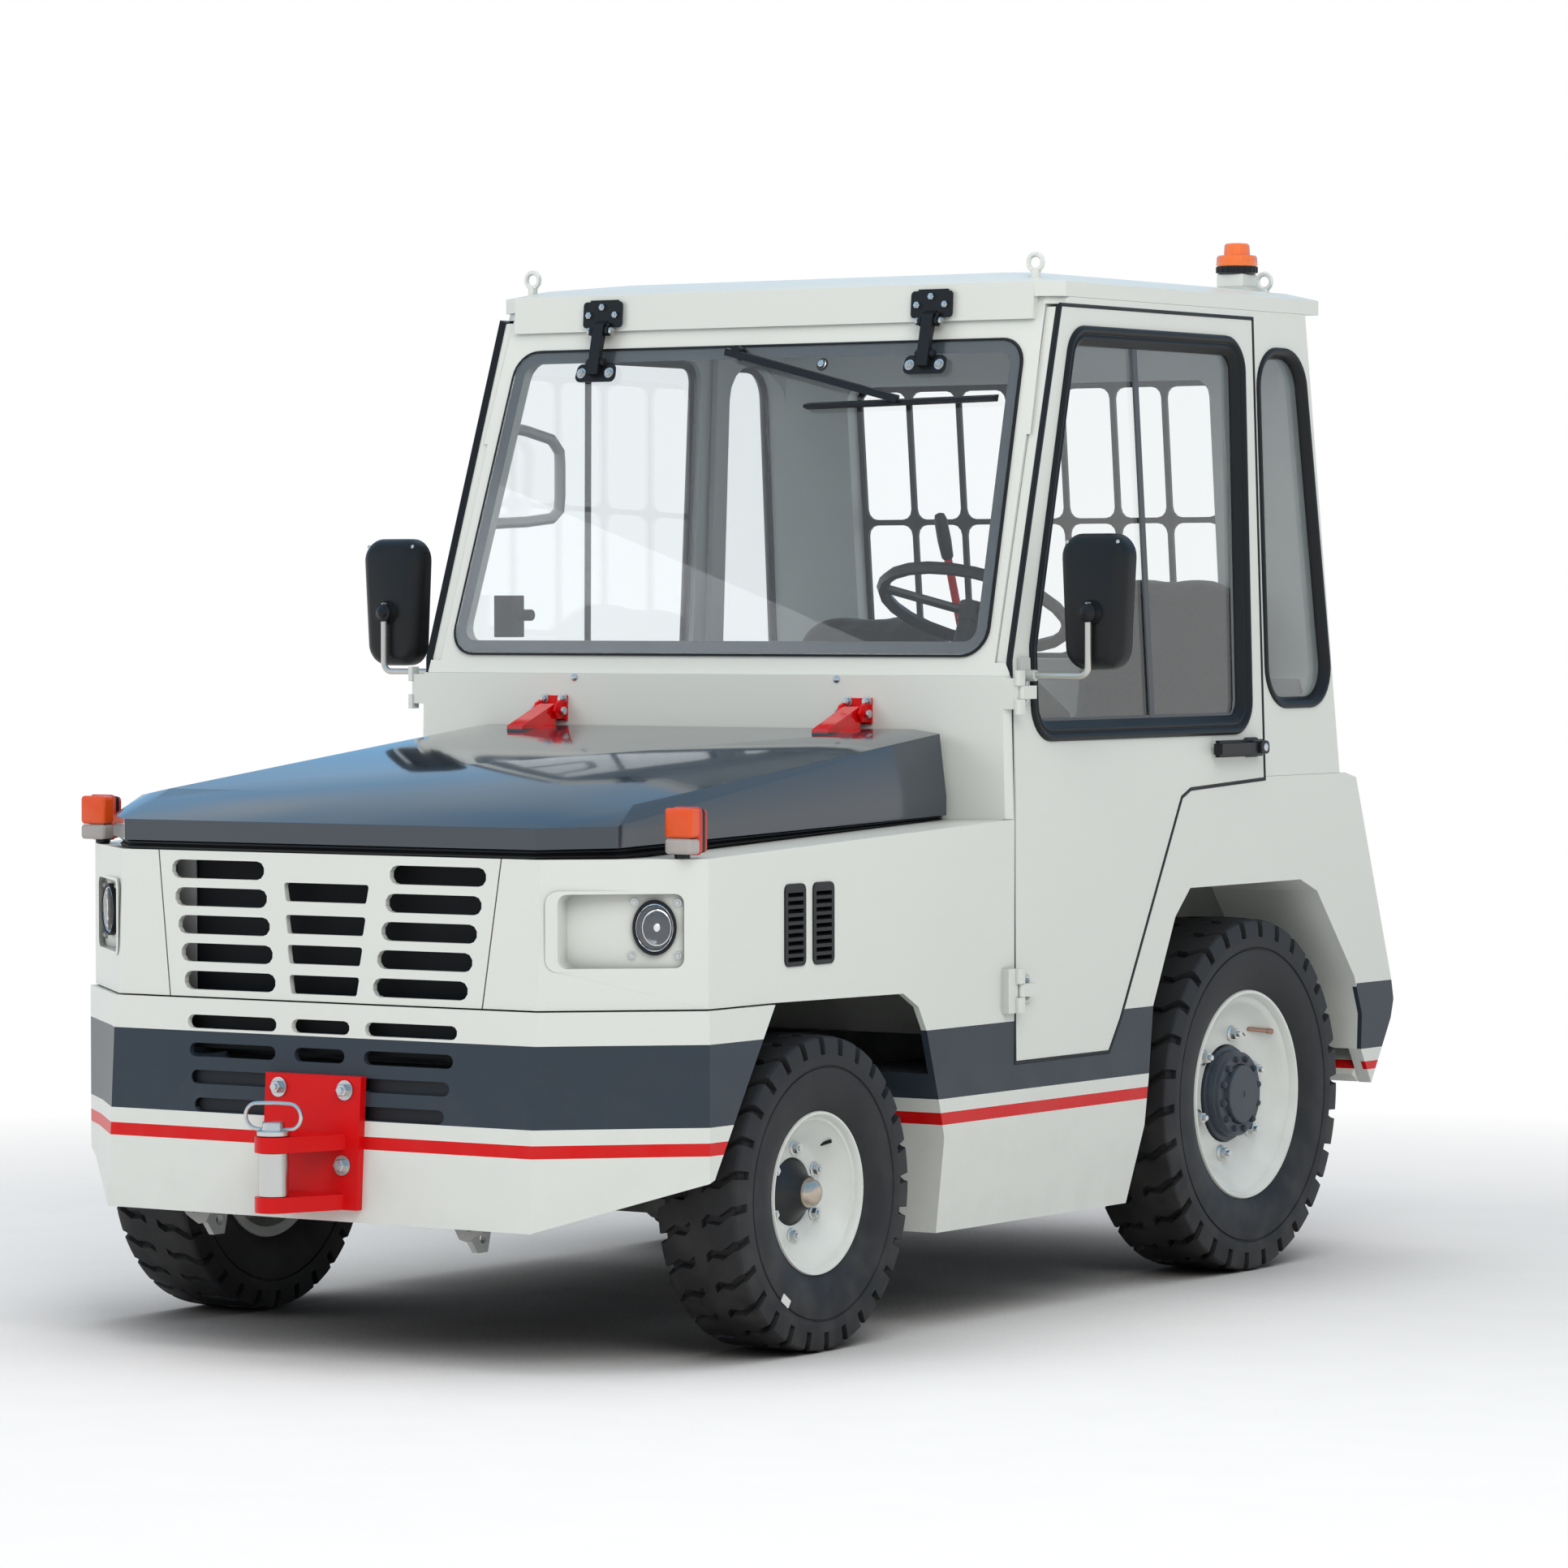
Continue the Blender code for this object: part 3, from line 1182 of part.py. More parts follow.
def build_screen_hinge(side, name):
    """Black hinge from the visor to the top of the windshield."""
    x = SCREEN_HINGE_X * side
    half = SCREEN_HINGE_HALF
    leaf = 0.006
    visor_s = ROOF_FRONT_S - 0.004
    head_z = (VISOR_FOOT_Z + 0.010, ROOF_RIM_Z - 0.010)
    foot_z = (SCREEN_TOP_Z - 0.060, SCREEN_TOP_Z - 0.028)
    head = prism_x(
        [
            (visor_s - leaf - SEAT, head_z[0]), (visor_s - SEAT, head_z[0]),
            (ROOF_FRONT_S - SEAT, head_z[1]),
            (ROOF_FRONT_S - leaf - SEAT, head_z[1]),
        ],
        x - half, x + half,
    )
    hinge = add_part(name, head, BLACK_PLASTIC)
    shy = -GLASS - 2 * SEAT
    corners = [(x - half, foot_z[0]), (x + half, foot_z[0]), (x + half, foot_z[1]), (x - half, foot_z[1])]
    foot = plate_on_screen(corners, shy - 0.008, shy)
    arm_top = (visor_s - 0.004, head_z[0] + 0.013)
    knee = foot_z[0] + 0.013
    arm = prism_x(
        [
            arm_top, (arm_top[0] - 0.020, head_z[0] + 0.003), (screen_s(knee) - 0.030, knee),
            (screen_s(knee) - 0.010, knee - 0.003), (screen_s(SCREEN_TOP_Z) - 0.022, SCREEN_TOP_Z),
        ],
        x - SCREEN_HINGE_ARM, x + SCREEN_HINGE_ARM,
    )
    fuse(hinge, foot, arm)


def build_wiper():
    """Boss at the top of the glass, arm and blade resting towards the left."""
    def bar(start, end, half, depths, slope):
        rings = []
        for x, z in (start, end):
            front = [(z + half - slope, depths[1]), (z - half + slope, depths[1])]
            ring = [(z + half, depths[0]), (z - half, depths[0])] + front[::-1]
            rings.append([(x, y_at(screen_s(level) - depth), level) for level, depth in ring])
        return loft(*rings)

    pivot_x = -0.052
    pivot_z = SCREEN_TOP_Z - 0.014
    tip_x = SCREEN_HALF[0] - 0.032
    rest_z = SCREEN_TOP_Z - 0.117
    foot = GLASS + 2 * SEAT
    boss = spin(
        [(0, 0), (0, 0.014), (0.022, 0.012), (0.022, 0)],
        (pivot_x, y_at(screen_s(pivot_z) - foot), pivot_z), (0, -1, 0.3), 12,
    )
    wiper = add_part("wiper", boss, BLACK_PLASTIC)
    arm = bar((pivot_x - 0.023, pivot_z + 0.005), (0.350, rest_z + 0.005), 0.008, (0.021, 0.032), 0.001)
    blade = bar((0.130, rest_z - 0.004), (tip_x, rest_z + 0.004), 0.007, (foot + SEAT * 2, 0.024), 0.004)
    fuse(wiper, arm, blade)


# Rear body

def build_fender(side, name):
    rebate = inset(DOOR_OUTLINE, -DOOR_GAP)
    outline = [
        rebate[3], rebate[4], rebate[5], (rebate[5][0], DECK_Z - SEAT), (TAIL_PROFILE[0][0], DECK_Z - SEAT),
        *TAIL_PROFILE[1:], *ARCH_REAR[1:], (rebate[2][0] + 0.012, STEP_TOP_Z),
    ]
    skin = prism_x(outline, HALF_WIDTH - REAR_SKIN, HALF_WIDTH)
    fender = add_part(name, sided(skin, side), WHITE_PAINT)
    arch = list(ARCH_REAR[1:])
    liner = prism_x(ribbon(arch, -WHEELHOUSE_WALL), WHEELHOUSE_X, HALF_WIDTH - REAR_SKIN / 2)
    fuse(fender, sided(liner, side))


def build_tail():
    """Sloping rear panel between the fenders, with the lamps and the hitch's seat."""
    wall = ribbon(TAIL_PROFILE, -TAIL_WALL)
    half = HALF_WIDTH - REAR_SKIN - SEAT
    tail = add_part("tail_panel", prism_x(wall, -half, half), WHITE_PAINT)
    notch = HITCH_PLATE_HALF + 0.008
    face = REAR_HITCH_FACE_S
    cut(tail, block((-notch, notch), (face - 0.2, face + 0.1), (0.3, REAR_HITCH_Z[1] + 0.008)))


def build_step(side, name):
    low = STEP_FOOT_Z
    front = STEP_FRONT
    rear = STEP_REAR
    rebate = inset(DOOR_OUTLINE, -DOOR_GAP)
    outline = [
        (front[0][0], STEP_TOP_Z - SEAT), front[1], front[2], rear[0], rear[1],
        (rear[2][0], STEP_TOP_Z - SEAT),
        (rebate[2][0] + 0.012, STEP_TOP_Z - SEAT), (rebate[1][0], STEP_TREAD_Z),
        (WING_REAR_S + 0.001, STEP_TREAD_Z),
        (WING_REAR_S + 0.001, STEP_TOP_Z - SEAT),
    ]
    step = add_part(name, sided(prism_x(outline, HALF_WIDTH - STEP_SKIN, HALF_WIDTH), side), WHITE_PAINT)
    tread_front = lerp((front[0][0], front[1][0]), 0.4)
    box = [
        (tread_front, STEP_TREAD_Z), front[1], front[2], rear[0], rear[1],
        (rear[1][0] + 0.012, STEP_TREAD_Z)
    ]
    fuse(step, sided(prism_x(box, STEP_INNER_X, HALF_WIDTH - STEP_SKIN / 2), side))
    side_face = [
        (HALF_WIDTH + 0.001, 0.45), (HALF_WIDTH - STEP_TUCK, low - 0.01), (1, low - 0.01), (1, 0.45)
    ]
    tuck = prism_y(side_face, front[0][0] - 0.1, rear[2][0] + 0.1)
    cut(step, sided(tuck, side))


# Chassis, engine and axles

def build_chassis():
    left = block(RAIL_X, (0.060, RAIL_REAR_S), RAIL_Z)
    chassis = add_part("chassis_frame", left, FRAME_PAINT)
    fuse(chassis, mirror_x(block(RAIL_X, (0.060, RAIL_REAR_S), RAIL_Z)))
    low, high = FRONT_PLATE_Z
    front = [(apron_s(z) + SHEET + SEAT, z) for z in (low, high)]
    nose = prism_x([front[0], (0.075, low), (0.075, high), front[1]], -FRONT_PLATE_HALF, FRONT_PLATE_HALF)
    middle = sum(RAIL_X) / 2
    levels = (RAIL_Z[0] + 0.010, RAIL_Z[1] - 0.010)
    crosses = [block((-middle, middle), (s, s + CROSS_WIDTH), levels) for s in (1.120, REAR_AXLE_S - 0.476)]
    fuse(chassis, nose, *crosses)
    for x in (-TIE_DOWN_X, TIE_DOWN_X):
        lug = prism_x(
            [(0.030, 0.310), (0.030, 0.225), (0.050, 0.200), (0.080, 0.200), (0.110, 0.310)], x - 0.006,
            x + 0.006
        )
        eye = rod((x - 0.05, y_at(0.066), 0.226), (x + 0.05, y_at(0.066), 0.226), 0.010, 12)
        fuse(chassis, lug)
        cut(chassis, eye)
    for side in (1, -1):
        for s in (STEP_FRONT[1][0] + 0.037, STEP_REAR[0][0] - 0.097):
            bracket = block((RAIL_X[1] - 0.010, STEP_INNER_X - SEAT), (s, s + CROSS_WIDTH), (0.440, 0.470))
            fuse(chassis, sided(bracket, side))
    back = RAIL_REAR_S
    fuse(chassis, block((-REAR_PLATE_HALF, REAR_PLATE_HALF), (back - 0.030, back), (0.400, 0.540)))
    low, high = REAR_HITCH_Z
    fuse(
        chassis,
        block((-0.095, 0.095), (back - 0.015, REAR_HITCH_FACE_S - SEAT), (low + 0.010, high - 0.010))
    )


def build_floor():
    top = RAIL_Z[1] + SEAT + FLOOR_THICKNESS
    start = COWL_S + CAB_WALL + SEAT
    outline = [
        (start, top - FLOOR_THICKNESS), (RISER_S, top - FLOOR_THICKNESS), (RISER_S, SEAT_DECK_Z),
        (FLOOR_REAR_S, SEAT_DECK_Z), (FLOOR_REAR_S, SEAT_DECK_Z + FLOOR_THICKNESS),
        (RISER_S - FLOOR_THICKNESS, SEAT_DECK_Z + FLOOR_THICKNESS), (RISER_S - FLOOR_THICKNESS, top),
        (start, top),
    ]
    add_part("cab_floor", prism_x(outline, -FLOOR_HALF, FLOOR_HALF), FRAME_PAINT)


def build_engine():
    half = RAIL_X[1] - 0.030
    radiator = block((-half, half), RADIATOR_S, (RAIL_Z[1] + SEAT, RADIATOR_TOP_Z))
    add_part("radiator", radiator, FINNED_CORE)
    engine = add_part("engine_block", block((-ENGINE_HALF, ENGINE_HALF), ENGINE_S, ENGINE_Z), CAST_IRON)
    for s in ENGINE_FEET_S:
        fuse(engine, block((-RAIL_X[1], RAIL_X[1]), (s, s + 0.06), (RAIL_Z[1] + SEAT, RAIL_Z[1] + 0.030)))
    nose = REAR_AXLE_S - DIFF_RADIUS - SEAT
    shaft = rod((0, y_at(ENGINE_S[1] + 0.002), SHAFT_Z), (0, y_at(nose), REAR_RADIUS), SHAFT_RADIUS, 12)
    add_part("drive_shaft", shaft, CAST_IRON, smooth=True)


def build_front_axle():
    z = FRONT_RADIUS
    s = FRONT_AXLE_S
    beam = KINGPIN_X - BEAM_TO_KINGPIN
    axle = add_part(
        "front_axle", block((-beam, beam), (s - 0.045, s + 0.045), (z - 0.050, z + 0.050)), CAST_IRON
    )
    for side in (1, -1):
        for level in (-FORK_LEVEL, FORK_LEVEL):
            reach = (beam - 0.010, KINGPIN_X + 0.025)
            fork = block(reach, (s - 0.030, s + 0.030), (z + level - 0.010, z + level + 0.010))
            fuse(axle, sided(fork, side))
        pin = rod(
            (KINGPIN_X * side, y_at(s), z - 0.056), (KINGPIN_X * side, y_at(s), z + 0.056), KINGPIN_RADIUS,
            16
        )
        fuse(axle, pin)
        pad = block(RAIL_X, (s - 0.045, s + 0.045), (z + 0.045, RAIL_Z[0] - SEAT))
        fuse(axle, sided(pad, side))
    cylinder = rod((-CYLINDER_HALF, y_at(s + 0.085), z), (CYLINDER_HALF, y_at(s + 0.085), z), 0.034, 16)
    fuse(axle, cylinder, block((-0.10, 0.10), (s + 0.030, s + 0.080), (z - 0.020, z + 0.020)))
    for side, name in ((1, "knuckle_left"), (-1, "knuckle_right")):
        body = block(
            (KINGPIN_X - 0.026, KINGPIN_X + 0.030), (s - 0.026, s + 0.026), (z - 0.0295, z + 0.0295)
        )
        pivot = (KINGPIN_X * side, y_at(s), z)
        knuckle = add_part(name, sided(body, side), CAST_IRON)
        fuse(
            knuckle,
            sided(rod((KINGPIN_X + 0.025, y_at(s), z), (FRONT_TYRE_X + 0.030, y_at(s), z), 0.022, 20), side)
        )
        plan = [(-0.022, 0.0), (0.0, 0.026), (-0.006, 0.125), (-0.032, 0.125)]
        arm = prism_z([(KINGPIN_X + x, s + reach) for x, reach in plan], z - 0.024, z - 0.008)
        fuse(knuckle, sided(arm, side))
        bore = rod(
            (KINGPIN_X * side, y_at(s), z - 0.1), (KINGPIN_X * side, y_at(s), z + 0.1),
            KINGPIN_RADIUS + 0.0005, 16
        )
        cut(knuckle, bore)
        set_origin(knuckle, pivot)


def tyre_rows(radius, width, bore):
    """Half section of a tyre: plain rows from the bead to the shoulder, then the lugs' rows.

    Each row is (distance from the middle, radius); the lugs' rows add how far the groove
    goes in from the side and how deep it is.
    """
    half = width / 2
    wall = radius - bore
    plain = [
        (half * BEAD_SHARE, bore), (half * 0.97, bore + wall * 0.22), (half, bore + wall * 0.50),
        (half, bore + wall * 0.72)
    ]
    lugs = [
        (half * 0.93, radius - wall * 0.06, LUG_DEPTH * 0.7, LUG_DEPTH * 0.9),
        (half * 0.40, radius, 0.0, LUG_DEPTH)
    ]
    return plain, lugs


def lugged_tyre(centre, radius, width, bore, origin):
    """Ring with square lugs round both shoulders, set half a pitch apart."""
    plain, lugs = tyre_rows(radius, width, bore)
    count = len(LUG_STATIONS)
    bm = bmesh.new()

    def row(side, turn, stations, across, reach, narrow=0.0, depth=0.0):
        verts = []
        for pitch in range(LUG_PITCHES):
            for index, station in enumerate(stations):
                cut_in = 1.0 if index > 1 else 0.0
                angle = 2 * math.pi * (pitch + station + turn) / LUG_PITCHES
                x = centre + side * (across - narrow * cut_in)
                r = reach - depth * cut_in
                verts.append(
                    bm.verts.new((x, origin[1] + r * math.cos(angle), origin[2] + r * math.sin(angle)))
                )
        return verts

    def band(one, two):
        for i in range(len(one)):
            j = (i + 1) % len(one)
            bm.faces.new((one[i], one[j], two[j], two[i]))

    beads, crowns = [], []
    for side, turn in ((1, 0.0), (-1, 0.5)):
        walls = [row(side, 0.0 if place == plain[0] else turn, (0.0,), *place) for place in plain]
        edge, crown = (row(side, turn, LUG_STATIONS, *place) for place in lugs)
        for one, two in zip(walls, walls[1:]):
            band(one, two)
        foot = walls[-1]
        for i in range(LUG_PITCHES):
            here, after = foot[i], foot[(i + 1) % LUG_PITCHES]
            tips = [edge[(i * count + k) % len(edge)] for k in range(count + 1)]
            bm.faces.new((here, tips[1], tips[0]))
            bm.faces.new((here, after, tips[1]))
            for one, two in zip(tips[1:], tips[2:]):
                bm.faces.new((after, two, one))
        band(edge, crown)
        beads.append(walls[0])
        crowns.append(crown)
    band(*beads)
    band(*crowns)
    bmesh.ops.recalc_face_normals(bm, faces=bm.faces)
    return bm


def build_wheel(side, names, tyre, rim_profile, station, pivot_x):
    """Tyre and rim, both turning about the axle."""
    centre, radius, width, bead = tyre
    origin = (0, y_at(station), radius)
    pivot = (pivot_x * side, y_at(station), radius)
    bore = (bead + SEAT) / math.cos(math.pi / LUG_PITCHES)
    tyre_ring = lugged_tyre(centre, radius, width, bore, origin)
    add_part(names[0], sided(tyre_ring, side), TYRE_RUBBER, smooth=True)
    rim = spin(rim_profile, origin, (1, 0, 0), ROUND)
    add_part(names[1], sided(rim, side), WHITE_PAINT, smooth=True)
    for name in names:
        set_origin(bpy.data.objects[name], pivot)


def front_rim_profile():
    """Rim well, disc and hub with its bore on the stub axle."""
    x = FRONT_TYRE_X
    edge = FRONT_TYRE_WIDTH / 2 * BEAD_SHARE
    r = FRONT_RIM_RADIUS
    return [
        (x - edge, r), (x + edge, r), (x + edge + 0.004, r - 0.004), (x + edge - 0.006, r - 0.012),
        (x + 0.030, r - 0.022), (x + 0.018, 0.085), (x + 0.018, 0.055), (x + 0.032, 0.050),
        (x + 0.050, 0.030),
        (x + 0.056, 0.0), (x + 0.0305, 0.0), (x + 0.0305, 0.0225), (x - 0.060, 0.0225), (x - 0.060, 0.060),
        (x - 0.004, 0.070), (x - 0.004, 0.090), (x - 0.010, r - 0.020), (x - edge + 0.006, r - 0.012),
        (x - edge - 0.004, r - 0.004),
    ]


def rear_rim_profile():
    x = REAR_TYRE_X
    edge = REAR_TYRE_WIDTH / 2 * BEAD_SHARE
    r = REAR_RIM_RADIUS
    return [
        (x - edge, r), (x + edge, r), (x + edge + 0.004, r - 0.004), (x + edge - 0.006, r - 0.014),
        (x + 0.020, r - 0.030), (x + 0.006, 0.120), (x + 0.006, 0.085), (x + 0.044, 0.078),
        (x + 0.052, 0.068),
        (x + 0.052, 0.042), (x + 0.060, 0.038), (x + 0.062, 0.0), (x - 0.0695, 0.0), (x - 0.0695, 0.070),
        (x - 0.020, 0.078), (x - 0.008, 0.118), (x - 0.010, r - 0.028), (x - edge + 0.006, r - 0.014),
        (x - edge - 0.004, r - 0.004),
    ]


def build_wheels():
    for side, word in ((1, "left"), (-1, "right")):
        front = (FRONT_TYRE_X, FRONT_RADIUS, FRONT_TYRE_WIDTH, FRONT_RIM_RADIUS)
        build_wheel(
            side, (f"front_tyre_{word}", f"front_rim_{word}"), front, front_rim_profile(), FRONT_AXLE_S,
            FRONT_TYRE_X
        )
        rear = (REAR_TYRE_X, REAR_RADIUS, REAR_TYRE_WIDTH, REAR_RIM_RADIUS)
        build_wheel(
            side, (f"rear_tyre_{word}", f"rear_rim_{word}"), rear, rear_rim_profile(), REAR_AXLE_S,
            REAR_TYRE_X
        )


def build_rear_axle():
    z = REAR_RADIUS
    s = REAR_AXLE_S
    half = REAR_TYRE_X - 0.0695 - SEAT
    profile = [
        (-half, 0), (-half, 0.052), (-half + 0.04, 0.048), (-0.200, 0.050), (-0.110, 0.115),
        (-0.050, DIFF_RADIUS),
        (0.050, DIFF_RADIUS), (0.110, 0.115), (0.200, 0.050), (half - 0.04, 0.048), (half, 0.052),
        (half, 0),
    ]
    axle = add_part("rear_axle", spin(profile, (0, y_at(s), z), (1, 0, 0), 24), CAST_IRON, smooth=True)
    for side in (1, -1):
        fuse(axle, sided(block(RAIL_X, (s - 0.060, s + 0.060), (z - 0.02, RAIL_Z[0] - SEAT)), side))


# Hitches

def hitch_lug(z_low, root_s, pin_s):
    """Lug tapering from its root in the plate to a round tip about the pin."""
    direction = 1 if pin_s > root_s else -1
    points = [(HITCH_LUG_HALF, root_s)]
    for k in range(9):
        angle = math.pi * k / 8
        points.append((HITCH_TIP * math.cos(angle), pin_s + direction * HITCH_TIP * math.sin(angle)))
    points.append((-HITCH_LUG_HALF, root_s))
    return prism_z(points, z_low, z_low + HITCH_LUG)


def hitch_pin(name, pin_s, low, top):
    """Pin through both lugs, with its collar and the loop it is lifted by."""
    pin_y = y_at(pin_s)
    length = top - low + SEAT
    profile = [
        (0, 0), (0, HITCH_PIN_RADIUS - 0.002), (0.004, HITCH_PIN_RADIUS), (length, HITCH_PIN_RADIUS),
        (length, 0.026), (length + 0.006, 0.026), (length + 0.008, 0.018), (length + 0.008, 0),
    ]
    part = add_part(name, spin(profile, (0, pin_y, low), (0, 0, 1), SMALL_ROUND), ZINC_STEEL, smooth=True)
    fuse(part, torus((0, pin_y, top + 0.0375), (0.45, 1, 0), 0.029, 0.004, SMALL_ROUND, 5))


def build_front_hitch():
    low, high = HITCH_PLATE_Z
    faces = [apron_s(z) - SEAT for z in (low, high)]
    plate = prism_x(
        [(faces[0] - HITCH_PLATE, low), (faces[0], low), (faces[1], high), (faces[1] - HITCH_PLATE, high)],
        -HITCH_PLATE_HALF, HITCH_PLATE_HALF,
    )
    hitch = add_part("front_hitch", plate, RED_PAINT)
    for z in HITCH_LUG_Z:
        fuse(hitch, hitch_lug(z, apron_s(z) - HITCH_PLATE + 0.006, HITCH_PIN_S))
    y = y_at(HITCH_PIN_S)
    cut(hitch, rod((0, y, low - 0.1), (0, y, high + 0.1), HITCH_PIN_RADIUS + HITCH_BORE_GAP, 20))
    hitch_pin("hitch_pin", HITCH_PIN_S, low + 0.002, HITCH_LUG_Z[1] + HITCH_LUG)


def build_rear_hitch():
    """Three-lug coupling on the tail, one pin through all of it."""
    face = REAR_HITCH_FACE_S
    low, high = REAR_HITCH_Z
    hitch = add_part(
        "rear_hitch", block((-HITCH_PLATE_HALF, HITCH_PLATE_HALF), (face, face + HITCH_PLATE), (low, high)),
        RED_PAINT
    )
    for z in (low, high - HITCH_LUG):
        fuse(hitch, hitch_lug(z, face + HITCH_PLATE / 2, REAR_PIN_S))
    y = y_at(REAR_PIN_S)
    cut(hitch, rod((0, y, low - 0.1), (0, y, high + 0.1), HITCH_PIN_RADIUS + HITCH_BORE_GAP, 20))
    hitch_pin("rear_hitch_pin", REAR_PIN_S, low + 0.002, high)


# Cab fittings

def build_beacon():
    x = BEACON_AT[0]
    y = y_at(BEACON_AT[1])
    half = BEACON_FOOT
    base = BEACON_PAD_Z + SEAT
    foot = block((x - half, x + half), (BEACON_AT[1] - half, BEACON_AT[1] + half), (base, base + 0.026))
    beacon = add_part("beacon", foot, AMBER_LENS, smooth=True)
    body = spin(
        [
            (0, 0), (0, 0.034), (0.022, 0.034), (0.024, 0.031), (0.048, 0.029), (0.052, 0.021),
            (0.072, 0.019), (0.076, 0)
        ],
        (x, y, base + 0.024), (0, 0, 1), 20,
    )
    fuse(beacon, body)


def build_dashboard():
    start = COWL_S + CAB_WALL + SEAT
    profile = (
        (0.0, -0.286), (0.0, -0.031), (0.140, -0.011), (0.265, -0.076), (0.255, -0.156), (0.130, -0.286)
    )
    outline = [(start + reach, BELT_Z + level) for reach, level in profile]
    dash = add_part("dashboard", prism_x(outline, -DASH_HALF, DASH_HALF), BLACK_PLASTIC)
    hub = Vector((DRIVER_X, y_at(STEERING_S), STEERING_Z))
    tilt = math.radians(STEERING_TILT)
    normal = Vector((0, math.sin(tilt), math.cos(tilt)))
    fuse(dash, rod(hub - normal * COLUMN_LENGTH, hub - normal * (HUB_DEPTH + SEAT), COLUMN_RADIUS, 16))
    pivot = tuple(hub)
    ring = torus(pivot, normal, STEERING_RADIUS, 0.0125, ROUND, 6)
    wheel = add_part("steering_wheel", ring, BLACK_PLASTIC, smooth=True)
    side = Vector((1, 0, 0))
    ahead = normal.cross(side)
    for angle in (90, 210, 330):
        direction = side * math.cos(math.radians(angle)) + ahead * math.sin(math.radians(angle))
        fuse(wheel, rod(hub - normal * 0.012, hub + direction * (STEERING_RADIUS - 0.003), 0.009, 8))
    fuse(wheel, spin([(-HUB_DEPTH, 0), (-HUB_DEPTH, 0.026), (0.004, 0.030), (0.008, 0)], pivot, normal, 16))
    set_origin(wheel, pivot)


def build_seat(x, top, name):
    deck = SEAT_DECK_Z + FLOOR_THICKNESS + SEAT
    profile = (
        (-0.226, deck), (0.154, deck), (0.219, top), (0.144, top), (0.069, CUSHION_Z), (-0.241, CUSHION_Z),
        (-0.256, CUSHION_Z - 0.085), (-0.226, CUSHION_Z - 0.125),
    )
    outline = [(REAR_AXLE_S + reach, z) for reach, z in profile]
    add_part(name, prism_x(outline, x - SEAT_HALF, x + SEAT_HALF), SEAT_VINYL)


def build_door(side, words):
    """Door leaf with its window, hinges and handle, and the glass in it."""
    door = add_part(
        words[0], sided(prism_x(DOOR_OUTLINE, HALF_WIDTH - 0.2, HALF_WIDTH + 0.1), side), WHITE_PAINT
    )
    slab = prism_y(
        [
            (CAB_SIDE_HALF, 0.3), (CAB_SIDE_HALF, 1.0), (side_x(2.1), 2.1),
            (side_x(2.1) - DOOR_THICKNESS, 2.1),
            (CAB_SIDE_HALF - DOOR_THICKNESS, 1.0), (CAB_SIDE_HALF - DOOR_THICKNESS, 0.3),
        ],
        DOOR_FRONT_S - 0.2, REAR_AXLE_S + 0.3,
    )
    combine(door, "INTERSECT", sided(slab, side))
    window = rounded(DOOR_WINDOW, DOOR_WINDOW_RADIUS)
    cut(door, sided(plate_on_side(window, 0.2, -0.1), side))
    for z in (DOOR_HINGE_Z[0], DOOR_HINGE_Z[1] - 0.010):
        low, high = z - DOOR_BARREL_HALF, z + DOOR_BARREL_HALF
        leaf = block(
            (HALF_WIDTH - 0.012, DOOR_PIVOT_X + 0.004), (DOOR_PIVOT_S + 0.009, DOOR_PIVOT_S + 0.050),
            (low, high)
        )
        web = block(
            (DOOR_PIVOT_X - 0.004, DOOR_PIVOT_X + 0.004), (DOOR_PIVOT_S, DOOR_PIVOT_S + 0.012), (low, high)
        )
        ends = [(DOOR_PIVOT_X, y_at(DOOR_PIVOT_S), level) for level in (low, high)]
        fuse(door, sided(leaf, side), sided(web, side), sided(rod(*ends, DOOR_BARREL, SMALL_ROUND), side))
    s0, s1 = DOOR_HANDLE_S
    face = side_x(DOOR_HANDLE_Z)
    handle = block(
        (face - 0.004, face + 0.012), (s0 + 0.02, s1), (DOOR_HANDLE_Z - 0.017, DOOR_HANDLE_Z + 0.017)
    )
    grip = block(
        (face + 0.010, face + 0.030), (s0, s1 - 0.02), (DOOR_HANDLE_Z - 0.011, DOOR_HANDLE_Z + 0.011)
    )
    fuse(door, sided(handle, side), sided(grip, side))
    pivot = (DOOR_PIVOT_X * side, y_at(DOOR_PIVOT_S), DOOR_HINGE_Z[0])
    set_origin(door, pivot)
    glass = add_part(words[1], sided(plate_on_side(inset(window, SEAT), 0.022, 0.014), side), TINTED_GLASS)
    set_origin(glass, pivot)
    mirror = build_mirror(side, words[2])
    set_origin(mirror, pivot)


